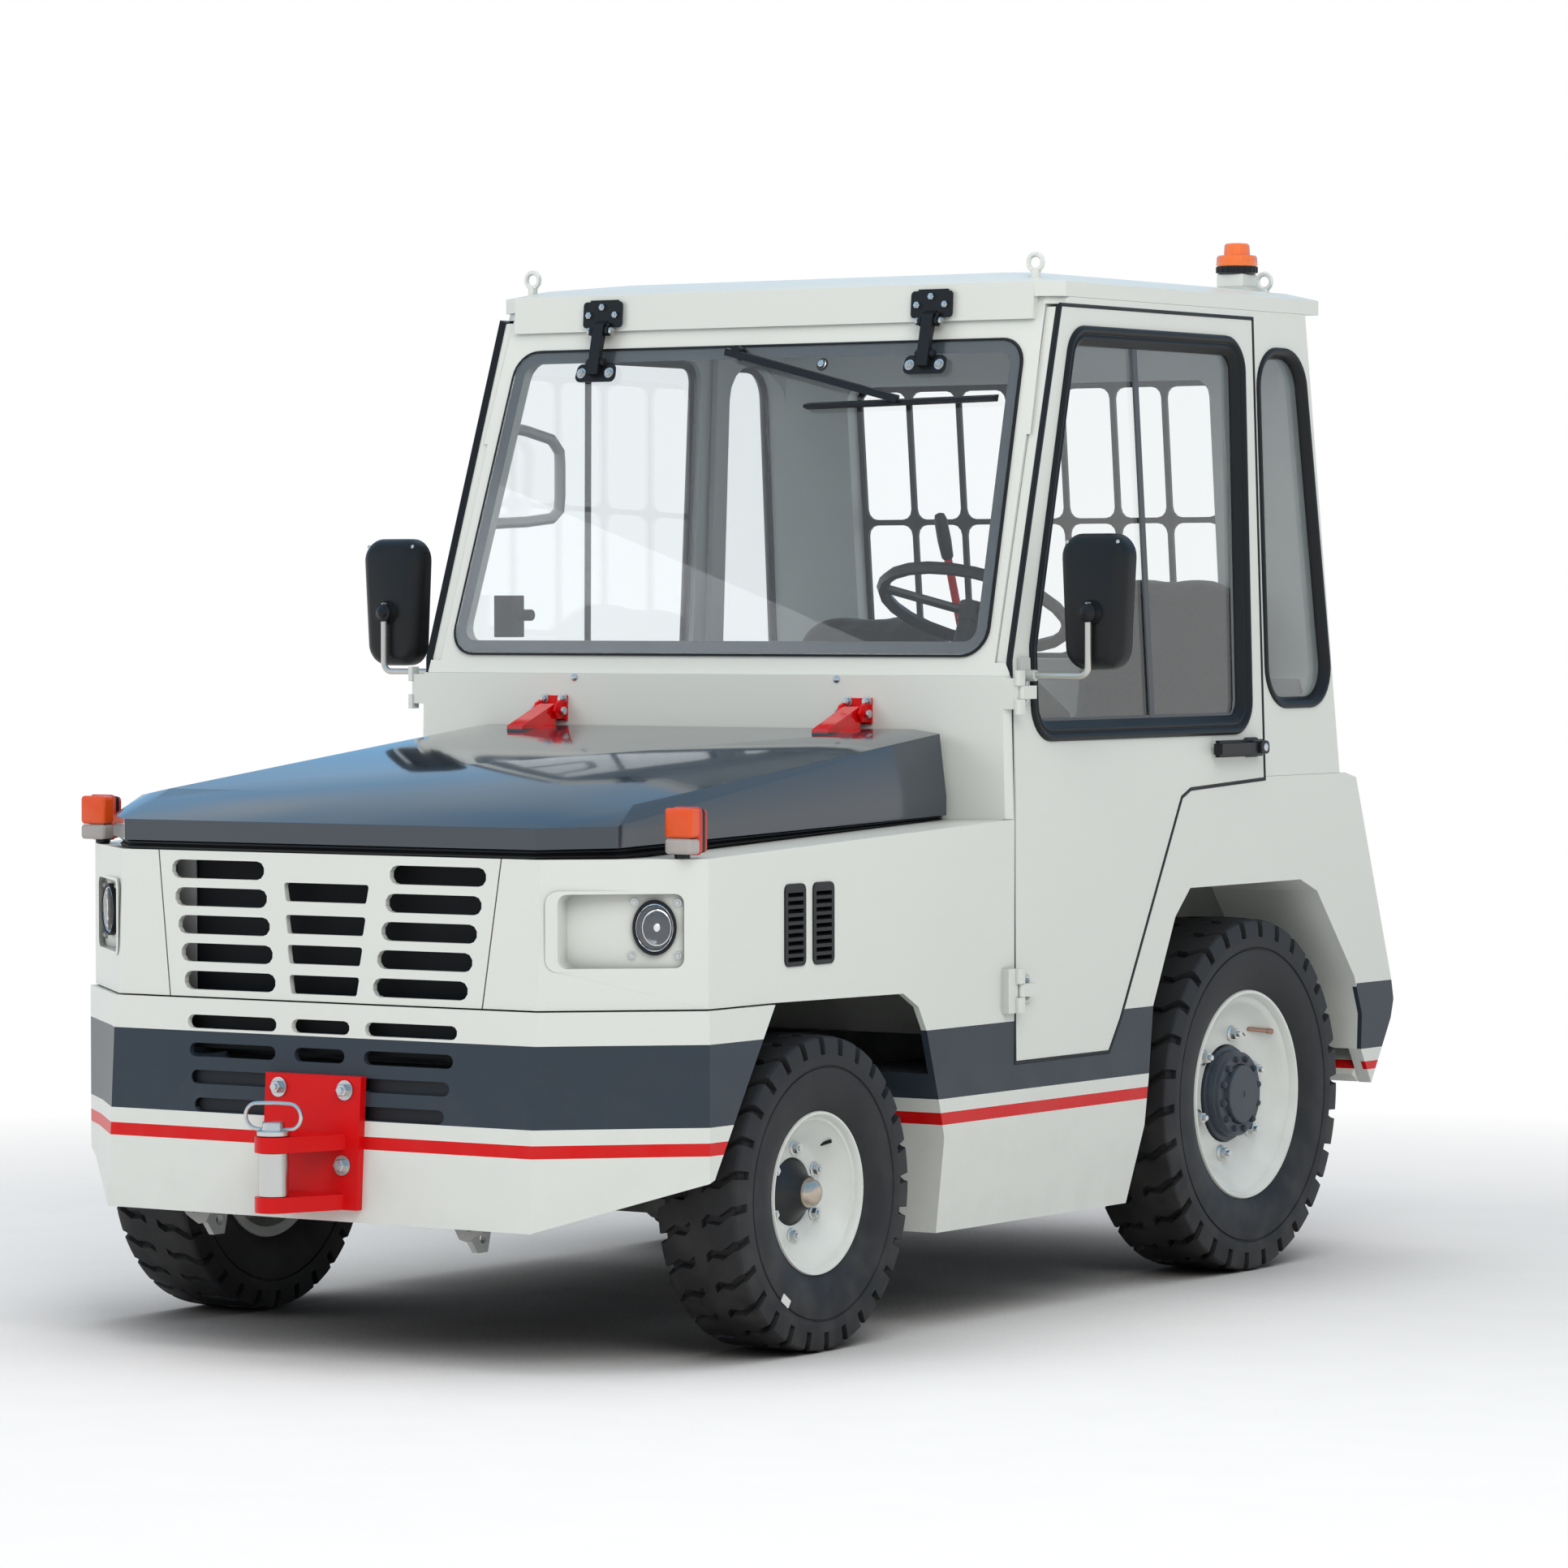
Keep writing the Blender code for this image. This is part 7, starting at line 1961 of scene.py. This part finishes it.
@dataclass
class Fasteners:
    """Bolts and screws of hitches, hinges and cowl."""

    screen_hinge_x: float = 0.392
    hood_hinge_x: float = 0.360
    door_hinge_levels: Flat = (0.620, 1.185)
    tie_down_x: float = 0.312
    nozzle: Flat = (0.144, 1.823)

    def hitches(self) -> None:
        """Four bolts on each hitch plate."""
        work = Mesher()
        for x, z in ((-0.076, 0.486), (0.074, 0.486), (-0.076, 0.352), (0.074, 0.352)):
            face = LINES.apron_s(z) - 0.0165
            work.bolt(Vector((x, LINES.y(face), z)), Vector((0.0, -1.0, 0.06)), 0.021)
        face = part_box("rear_hitch")[0].y + 0.016
        for x in (-0.092, 0.092):
            for z in (0.376, 0.466):
                work.bolt(Vector((x, face + 0.0002, z)), Vector((0.0, 1.0, 0.0)), 0.019)
        work.piece("hitch_bolts", "chassis", Skin.ZINC, "zinc_steel")

    def cowl(self) -> None:
        """Two screws at the belt crease and the washer nozzle over the windshield."""
        work = Mesher()
        for x in (-0.3125, 0.3090):
            work.dome(Vector((x, LINES.y(1.2118), 1.2080)), FORWARD, 0.0075)
        work.lathe(
            [
                (0.0, 0.0095), (0.003, 0.0095), (0.004, 0.0075), (0.009, 0.0070), (0.010, 0.0050),
                (0.010, 0.0)
            ],
            LINES.on_screen(self.nozzle, 0.0004), Vector((0.0, -1.0, 0.32)), 24,
        )
        work.piece("cowl_screws", "chassis", Skin.ZINC, "zinc_steel")
        ring = Mesher()
        ring.lathe(
            [(-0.0002, 0.0135), (0.002, 0.0130), (0.0022, 0.0096), (-0.0002, 0.0096)],
            LINES.on_screen(self.nozzle, 0.0004), Vector((0.0, -1.0, 0.32)), 24, closed=True,
        )
        ring.piece("nozzle_washer", "chassis", Skin.RUBBER, "black_plastic")

    def screen_hinges(self) -> None:
        """Bolts, pivots and knuckles of the windshield's two hinges."""
        for side, word in SIDES:
            bolts = Mesher()
            middle = self.screen_hinge_x
            for reach, z in ((-0.032, 1.934), (0.0, 1.950), (0.032, 1.934)):
                face = LINES.y(1.4213 + LINES.visor_lean(z))
                bolts.bolt(
                    Vector((middle + reach, face, z)), Vector((0.0, -1.0, 0.075)), 0.0125, washer=False
                )
            for reach in (-0.034, 0.034):
                bolts.bolt(
                    LINES.on_screen((middle + reach, 1.817), 0.0165), Vector((0.0, -1.0, 0.32)), 0.0125
                )
            pin = Vector((middle, LINES.y(1.4150), 1.9020))
            bolts.bar(pin, 0.024, 0.0048, 16)
            for reach in (-0.024, 0.024):
                bolts.rod(pin + OUT * reach, pin + OUT * (reach * 1.22), 0.0085, 20)
            bolts.piece(f"screen_hinge_bolts_{word}", "chassis", Skin.ZINC, "zinc_steel", side)
            lugs = Mesher()
            plate = rounded_box((middle - 0.048, 1.909), (middle + 0.048, 1.9615), 0.008, 4)
            lugs.prism(
                [Vector((x, LINES.y(1.4237 + LINES.visor_lean(z)) - 0.0004, z)) for x, z in plate],
                Vector((0.0, -0.0020, 0.0)),
            )
            foot_plate = rounded(
                [
                    (middle - 0.050, 1.799), (middle + 0.050, 1.799), (middle + 0.046, 1.835),
                    (middle - 0.046, 1.835)
                ],
                0.012, 4
            )
            lugs.prism(
                [LINES.on_screen((x, z), 0.0132) for x, z in foot_plate], Vector((0.0, -0.0030, 0.0010))
            )
            for reach in (-0.0185, 0.0185):
                centre = pin + OUT * reach
                lugs.bar(centre, 0.0035, 0.0105)
                lugs.box(
                    (centre.x - 0.0035, centre.y - 0.002, centre.z),
                    (centre.x + 0.0035, LINES.y(1.4235), centre.z + 0.016),
                )
            foot = LINES.on_screen((middle, 1.838), 0.0200)
            lugs.bar(foot, 0.021, 0.0090)
            lugs.piece(f"screen_hinge_lugs_{word}", "chassis", Skin.PLASTIC, "black_plastic", side)

    def hood_hinges(self) -> None:
        """Bolts on the red hood hinges."""
        for side, word in SIDES:
            bolts = Mesher()
            for reach in (-0.022, 0.022):
                at = Vector((self.hood_hinge_x + reach, LINES.y(1.2055), 1.1655))
                bolts.bolt(at, FORWARD, 0.0125)
            pin = Vector((self.hood_hinge_x, LINES.y(1.190), 1.142))
            for reach in (-0.034, 0.034):
                bolts.rod(pin + OUT * reach, pin + OUT * (reach * 1.16), 0.0082, 20)
            bolts.piece(f"hood_hinge_bolts_{word}", "chassis", Skin.ZINC, "zinc_steel", side)

    def door_hinges(self) -> None:
        """Cast leaves with two screws each, on both doors."""
        for side, word in SIDES:
            leaf = Mesher()
            screws = Mesher()
            for level in self.door_hinge_levels:
                low, high = level - 0.029, level + 0.029
                outline = rounded_box((1.243, low), (1.275, high), 0.005, 3)
                leaf.pad(outline, 0.0004, 0.0052)
                for shift in (-0.017, 0.017):
                    screws.bolt(
                        LINES.on_side((1.264, level + shift), 0.0056), Vector((1.0, 0.0, 0.03)), 0.0095
                    )
            leaf.piece(
                f"door_hinge_leaves_{word}", f"door_{word}_body", Skin.CAST, "zinc_steel", side, bevel=0.001
            )
            screws.piece(f"door_hinge_screws_{word}", f"door_{word}_body", Skin.ZINC, "zinc_steel", side)

    def handles(self) -> None:
        """Boss and lock at the rear end of each door handle."""
        for side, word in SIDES:
            boss = Mesher()
            outline = rounded_box((2.106, 1.043), (2.164, 1.083), 0.013, 5)
            boss.pad(outline, 0.0005, 0.0085)
            post = rounded_box((2.121, 1.050), (2.156, 1.077), 0.010, 5)
            boss.pad(post, 0.0085, 0.0280)
            boss.piece(
                f"handle_boss_{word}", f"door_{word}_body", Skin.PLASTIC, "black_plastic", side, bevel=0.002
            )
            lock = Mesher()
            lock.lathe(
                [
                    (-0.001, 0.0), (-0.001, 0.0085), (0.0012, 0.0080), (0.0016, 0.0060), (0.0009, 0.0050),
                    (0.0009, 0.0)
                ],
                LINES.on_side((2.1385, 1.0635), 0.0368), Vector((1.0, 0.0, 0.03)).normalized(), 24,
            )
            lock.piece(f"handle_lock_{word}", f"door_{word}_body", Skin.ZINC, "zinc_steel", side)

    def lugs(self) -> None:
        """Tie-down plates under the apron, with their eyes."""
        work = Mesher()
        for side in (-1, 1):
            plate = [
                (0.245, 0.300), (0.352, 0.300), (0.352, 0.262), (0.334, 0.238), (0.305, 0.222),
                (0.288, 0.226)
            ]
            outline = rounded([(side * x, z) for x, z in (plate if side > 0 else plate[::-1])], 0.006, 3)
            work.prism([Vector((x, LINES.y(0.026), z)) for x, z in outline], Vector((0.0, -0.008, 0.0)))
            work.lathe(
                [(-0.001, 0.010), (0.0025, 0.013), (0.0035, 0.011), (0.0025, 0.0085), (-0.001, 0.0085)],
                Vector((side * self.tie_down_x, LINES.y(0.018), 0.252)), FORWARD, 20, closed=True,
            )
        work.piece("tie_down_plates", "chassis", Skin.LUG, "zinc_steel", bevel=0.0008)

    def build(self) -> None:
        """Build every fastener."""
        self.handles()
        self.lugs()
        self.hitches()
        self.cowl()
        self.screen_hinges()
        self.hood_hinges()
        self.door_hinges()


@dataclass
class Mirror(Sided):
    """Door mirror: bracket, bent steel arm, ball joint and a tapered black head with its glass."""

    station: float = 1.275
    reach: float = 0.835
    head_x: Flat = (0.757, 0.908)
    head_z: Flat = (1.228, 1.486)
    depth: float = 0.048

    def build(self) -> None:
        """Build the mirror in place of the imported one."""
        body = f"door_{self.word}_body"
        y = LINES.y(self.station)
        level = 1.2165
        x0, x1 = self.head_x
        z0, z1 = self.head_z
        head = Mesher()
        ring = rounded([(x0 + 0.012, z0), (x1 - 0.014, z0), (x1, z1), (x0, z1)], 0.044, 8)
        front = y + 0.013
        rings = []
        for along, shrink in (
            (0.0, 0.022), (0.003, 0.014), (0.008, 0.007), (0.015, 0.0025), (0.022, 0.0), (self.depth, 0.0)
        ):
            rings.append([Vector((x, front + along, z)) for x, z in grown(ring, -shrink)])
        rings.append([Vector((x, front + self.depth, z)) for x, z in grown(ring, -0.005)])
        rings.append([Vector((x, front + self.depth - 0.006, z)) for x, z in grown(ring, -0.007)])
        head.loft(rings)
        ball = Vector((self.reach, y + 0.002, 1.336))
        head.lathe(
            [
                (-0.004, 0.014), (-0.002, 0.0185), (0.006, 0.0190), (0.014, 0.0235), (0.020, 0.0260),
                (0.024, 0.026)
            ],
            ball - Vector((0.0, 0.006, 0.0)), Vector((0.0, 1.0, 0.0)), 28,
        )
        head.lathe(
            [
                (-0.017, 0.0), (-0.016, 0.006), (-0.011, 0.013), (-0.004, 0.0175), (0.004, 0.0185),
                (0.012, 0.016),
            ],
            ball, Vector((0.0, 1.0, 0.0)), 28,
        )
        made = self.put(head, "mirror_head", Skin.PLASTIC, "black_plastic", body, sharp=40.0)
        arm = Mesher()
        start = Vector((0.700, y, level))
        corner = Vector((self.reach, y, level))
        bend = [
            corner + Vector((-0.018 + 0.018 * math.sin(a), 0.0, 0.018 - 0.018 * math.cos(a)))
            for a in (math.pi / 2 * k / 6 for k in range(7))
        ]
        arm.tube([start, *bend, Vector((self.reach, y, 1.325))], 0.0062, 14)
        arm.dome(Vector((self.reach, y, 1.3525)), UP, 0.0070)
        for x in (x0 + 0.020, x1 - 0.020):
            arm.dome(Vector((x, front + 0.0075, z1 - 0.016)), Vector((0.0, -1.0, 0.35)), 0.0040)
        self.put(arm, "mirror_arm", Skin.STAINLESS, "zinc_steel", body)
        foot = Mesher()
        outline = rounded_box((1.2505, 1.205), (1.2880, 1.252), 0.005, 3)
        foot.pad(outline, 0.0004, 0.0080)
        foot.rod(Vector((0.699, y, level)), Vector((0.722, y, level)), 0.0110, 20)
        self.put(foot, "mirror_foot", Skin.CAST, "zinc_steel", body, bevel=0.001)
        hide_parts(f"mirror_{self.word}")
        glass = Mesher()
        glass.prism(
            [Vector((x, front + self.depth - 0.0062, z)) for x, z in grown(ring, -0.0075)],
            Vector((0.0, 0.0012, 0.0))
        )
        self.put(glass, "mirror_glass", Skin.CHROME, "lamp_glass", body)


@dataclass
class Beacon:
    """Amber beacon: white box, black ring, ribbed lens in two steps."""

    x: float = 0.520
    station: float = 2.397
    pad: float = 2.0033

    def build(self) -> None:
        """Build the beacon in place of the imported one."""
        base = Vector((self.x, LINES.y(self.station), self.pad))
        box = Mesher()
        half = 0.031
        box.box((self.x - half, base.y - half, self.pad), (self.x + half, base.y + half, self.pad + 0.0275))
        made = box.piece("beacon_box", "chassis", Skin.WHEEL, "white_paint", bevel=0.003)
        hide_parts("beacon")
        ring = Mesher()
        ring.lathe(
            [
                (0.0276, 0.0), (0.0276, 0.036), (0.029, 0.040), (0.030, 0.0415), (0.0425, 0.0425),
                (0.0435, 0.041), (0.0435, 0.0)
            ],
            base, UP, 40,
        )
        for index in range(20):
            angle = 2 * math.pi * index / 20
            spoke = Vector((math.cos(angle), math.sin(angle), 0.0))
            ring.rod(base + spoke * 0.0415 + UP * 0.0305, base + spoke * 0.0415 + UP * 0.0425, 0.0022, 8)
        ring.piece("beacon_ring", "chassis", Skin.PLASTIC, "black_plastic")
        lens = Mesher()
        rings = []
        for height, radius, rib in (
            (0.0437, 0.0410, 0.0), (0.0460, 0.0420, 0.0008), (0.0620, 0.0405, 0.0008),
            (0.0655, 0.0385, 0.0004), (0.0670, 0.0300, 0.0), (0.0675, 0.0265, 0.0),
            (0.0700, 0.0262, 0.0006), (0.0870, 0.0250, 0.0006), (0.0905, 0.0225, 0.0),
            (0.0915, 0.0140, 0.0),
        ):
            circle = []
            for index in range(72):
                angle = 2 * math.pi * index / 72
                reach = radius + (rib if index % 3 == 0 else -rib)
                circle.append(base + Vector((reach * math.cos(angle), reach * math.sin(angle), height)))
            rings.append(circle)
        lens.loft(rings)
        lens.piece("beacon_lens", "chassis", Skin.BEACON, "amber_lens", sharp=50.0)


@dataclass
class Gasket:
    """Ribbed rubber on the body's rim that the hood closes on."""

    side_x: float = 0.5630
    nose_x: float = 0.4560
    rear_s: float = 1.180
    corner_s: float = 0.120
    nose_s: float = 0.0165

    def build(self) -> None:
        """Build the strip from the left rear round the nose to the right rear."""
        half = [
            ((self.side_x, self.rear_s), (1.0, 0.0)), ((self.side_x, self.corner_s), (1.0, -0.2)),
            ((self.nose_x, self.nose_s), (0.45, -1.0)),
        ]
        path = half + [((-x, s), (-nx, ny)) for (x, s), (nx, ny) in reversed(half)]
        rings = []
        for (x, s), (nx, ny) in path:
            share = min(max((s - 0.202) / 1.027, 0.0), 1.0)
            low = 0.905 + 0.039 * share + 0.0003
            high = 0.922 + 0.029 * min(s / 1.18, 1.0) - 0.0008
            normal = Vector((nx, ny, 0.0)).normalized()
            rise = high - low
            section = (
                (-0.006, 0.0), (0.0035, 0.0), (0.0065, 0.18), (0.0065, 0.30), (0.0025, 0.42),
                (0.0010, 0.50), (0.0025, 0.58), (0.0065, 0.70), (0.0065, 0.84), (0.0035, 1.0),
                (-0.006, 1.0),
            )
            base = Vector((x, LINES.y(s), low))
            rings.append([base + normal * out + Vector((0.0, 0.0, rise * up)) for out, up in section])
        work = Mesher()
        work.loft(rings)
        work.piece("hood_gasket", "chassis", Skin.RUBBER, "black_plastic", sharp=50.0)


@dataclass
class SlotShade:
    """Near-black sheets of painted shade between the grille and the radiator and over the front wheels, and
    two grey strips.
    """

    half: float = 0.462
    apron_half: float = 0.440
    wheel_x: float = 0.648
    sheet: float = 0.003

    def build(self) -> None:
        """Dark plates of painted shade behind the slots, and pale plates."""
        dark = Mesher()
        dark.box((-self.half, LINES.y(0.064), 0.600), (self.half, LINES.y(0.064 + self.sheet), 0.900))
        dark.box((-self.apron_half, LINES.y(0.026), 0.545), (self.apron_half, LINES.y(0.030), 0.645))
        for side in (-1, 1):
            low, high = sorted((side * self.wheel_x, side * (self.wheel_x + self.sheet)))
            dark.box((low, LINES.y(0.300), 0.660), (high, LINES.y(0.480), 0.850))
        dark.piece("slot_shade_sheets", "chassis", Skin.DARK, "frame_paint")
        pale = Mesher()
        for x0, x1 in ((-0.440, -0.385), (-0.379, -0.335)):
            pale.box((x0, LINES.y(0.052), 0.645), (x1, LINES.y(0.055), 0.895))
        pale.piece("pale_slot_strips", "chassis", Skin.GUIDE, "frame_paint")


@dataclass
class Cushion:
    """One stuffed part of a seat, blown up as a cloth bag."""

    name: str
    outline: tuple[Flat, ...]
    thickness: float
    origin: Spot
    along: Spot
    normal: Spot
    voxel: float = 0.009
    steps: int = 12
    most: float = 0.012

    def bag(self) -> bpy.types.Object:
        """Flat sewn bag with rounded rims.

        Returns:
            The bag, not yet blown up.
        """
        start = Vector(self.origin)
        along = Vector(self.along).normalized()
        normal = Vector(self.normal).normalized()
        work = Mesher()
        rings = []
        for level, shrink in ((0.0, 0.022), (0.006, 0.010), (0.018, 0.0), (self.thickness - 0.018, 0.0),
                              (self.thickness - 0.006, 0.010), (self.thickness, 0.022)):
            ring = []
            for x, up in grown(self.outline, -shrink):
                ring.append(start + OUT * x + along * up + normal * level)
            rings.append(ring)
        work.loft(rings)
        mesh = work.mesh
        bmesh.ops.recalc_face_normals(mesh, faces=mesh.faces)
        data = bpy.data.meshes.new(self.name)
        mesh.to_mesh(data)
        mesh.free()
        made = bpy.data.objects.new(self.name, data)
        bpy.context.scene.collection.objects.link(made)
        return made

    def build(self, node: str | None = None) -> None:
        """Blow the bag up and cover it.

        Args:
            node: Packed seat that this part stands for, if any.
        """
        made = self.bag()
        mesh_it = made.modifiers.new("weave", "REMESH")
        mesh_it.mode = "VOXEL"
        mesh_it.voxel_size = self.voxel
        settle(made)
        before = [vert.co.copy() for vert in made.data.vertices]
        cloth = made.modifiers.new("filling", "CLOTH")
        cloth.settings.quality = 4
        cloth.settings.mass = 0.25
        cloth.settings.use_pressure = True
        cloth.settings.uniform_pressure_force = 4.0
        cloth.settings.effector_weights.gravity = 0.0
        cloth.point_cache.frame_start = 1
        cloth.point_cache.frame_end = self.steps
        for step in range(1, self.steps + 1):
            bpy.context.scene.frame_set(step)
            bpy.context.view_layer.update()
        settle(made)
        bpy.context.scene.frame_set(1)
        for vert, was in zip(made.data.vertices, before):
            move = vert.co - was
            if move.length > self.most:
                vert.co = was + move.normalized() * self.most
        smooth = made.modifiers.new("drape", "SMOOTH")
        smooth.factor = 0.6
        smooth.iterations = 4
        settle(made)
        made.data.materials.clear()
        made.data.materials.append(Skin.SEAT.material)
        made.data.shade_smooth()
        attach(made, "chassis")
        if node:
            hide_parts(node)
        LOG.info("cushion %s", self.name)


def settle(target: bpy.types.Object) -> None:
    """Turn what an object's modifiers give now into its own mesh.

    Args:
        target: The object.
    """
    graph = bpy.context.evaluated_depsgraph_get()
    result = bpy.data.meshes.new_from_object(target.evaluated_get(graph), depsgraph=graph)
    old = target.data
    target.modifiers.clear()
    target.data = result
    bpy.data.meshes.remove(old)


@dataclass
class Seat:
    """Seat with cushion, leaning back with rounded shoulders and pan."""

    name: str
    x: float
    top: float
    foot: float = 0.985

    def build(self) -> None:
        """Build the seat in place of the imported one."""
        base = rounded([(-0.215, 0.0), (0.215, 0.0), (0.205, 0.40), (-0.205, 0.40)], 0.055, 6)
        back_height = self.top - self.foot
        back = rounded([(-0.195, 0.0), (0.195, 0.0), (0.205, back_height), (-0.205, back_height)], 0.120, 9)
        Cushion(
            f"{self.name}_cushion", tuple(base), 0.105, (self.x, LINES.y(1.925), 0.890), (0.0, 1.0, -0.03),
            (0.0, 0.03, 1.0),
        ).build(f"{self.name}_seat")
        Cushion(
            f"{self.name}_back", tuple(back), 0.090, (self.x, LINES.y(2.372), self.foot), (0.0, 0.16, 1.0),
            (0.0, -1.0, 0.16),
        ).build()
        pan = Mesher()
        pan.box((self.x - 0.19, LINES.y(1.955), 0.806), (self.x + 0.19, LINES.y(2.32), 0.888))
        pan.piece(f"{self.name}_pan", "chassis", Skin.PLASTIC, "black_plastic", bevel=0.008)


@dataclass
class Cabin:
    """Grab handle, lever, belt and fittings seen through the glass."""

    rail_x: float = -0.618
    lever_x: float = 0.038
    strap_xs: Flat = (0.580, 0.135)
    strap_s: float = 2.16

    def build(self) -> None:
        """Build the fittings inside the cab."""
        rail = Mesher()
        points = [
            (1.400, 1.712), (1.470, 1.706), (1.560, 1.690), (1.588, 1.665), (1.590, 1.640), (1.590, 1.575),
            (1.586, 1.545), (1.560, 1.528), (1.470, 1.520), (1.345, 1.515),
        ]
        rail.tube([Vector((self.rail_x, LINES.y(s), z)) for s, z in points], 0.0115, 14)
        rail.piece("grab_handle", "chassis", Skin.HANDLE, "white_paint")
        lever = Mesher()
        foot = Vector((self.lever_x, LINES.y(2.26), 0.845))
        joint = Vector((self.lever_x, LINES.y(2.045), 1.447))
        lever.rod(foot, joint, 0.0085, 14)
        lever.piece("lever_rod", "chassis", Skin.RED, "red_paint")
        grip = Mesher()
        way = (joint - foot).normalized()
        grip.lathe(
            [(0.0, 0.010), (0.004, 0.0125), (0.040, 0.0145), (0.085, 0.0135), (0.096, 0.010), (0.100, 0.0)],
            joint - way * 0.002, way, 24,
        )
        grip.piece("lever_grip", "chassis", Skin.PLASTIC, "black_plastic")
        belt = Mesher()
        strap = ((0.0, 0.96), (0.045, 0.96), (0.115, 1.10), (0.070, 1.10))
        for x in self.strap_xs:
            corners = [Vector((x, LINES.y(self.strap_s + back), z)) for back, z in strap]
            belt.prism(corners, Vector((0.0025, 0.0, 0.0)))
        belt.piece("belt_straps", "chassis", Skin.BELT, "red_paint")
        box = Mesher()
        box.box((-0.648, LINES.y(1.400), 1.285), (-0.600, LINES.y(1.440), 1.370))
        box.rod(Vector((-0.60, LINES.y(1.42), 1.33)), Vector((-0.565, LINES.y(1.42), 1.33)), 0.012, 14)
        box.piece("pillar_latch", "chassis", Skin.PLASTIC, "black_plastic", bevel=0.003)


def main() -> None:
    """Build the looks in order."""
    logging.basicConfig(level=logging.INFO, format="%(message)s")
    Studio().build()
    dress_nodes()
    Running().build()
    for side, word in SIDES:
        Headlamp(word, side).build()
        TurnSignal(word, side).build()
        Mirror(word, side).build()
    Rubbers().build()
    HitchPin("front_pin", "hitch_pin", -0.1459, 0.275, 0.408, (0.301, 0.380)).build()
    HitchPin("rear_pin", "rear_hitch_pin", 2.816, 0.358, 0.486, (0.384, 0.458)).build()
    Fasteners().build()
    Beacon().build()
    Gasket().build()
    SlotShade().build()
    Seat("driver", 0.360, 1.405).build()
    Seat("passenger", -0.350, 1.325).build()
    Cabin().build()


if __name__ == "__main__":
    main()
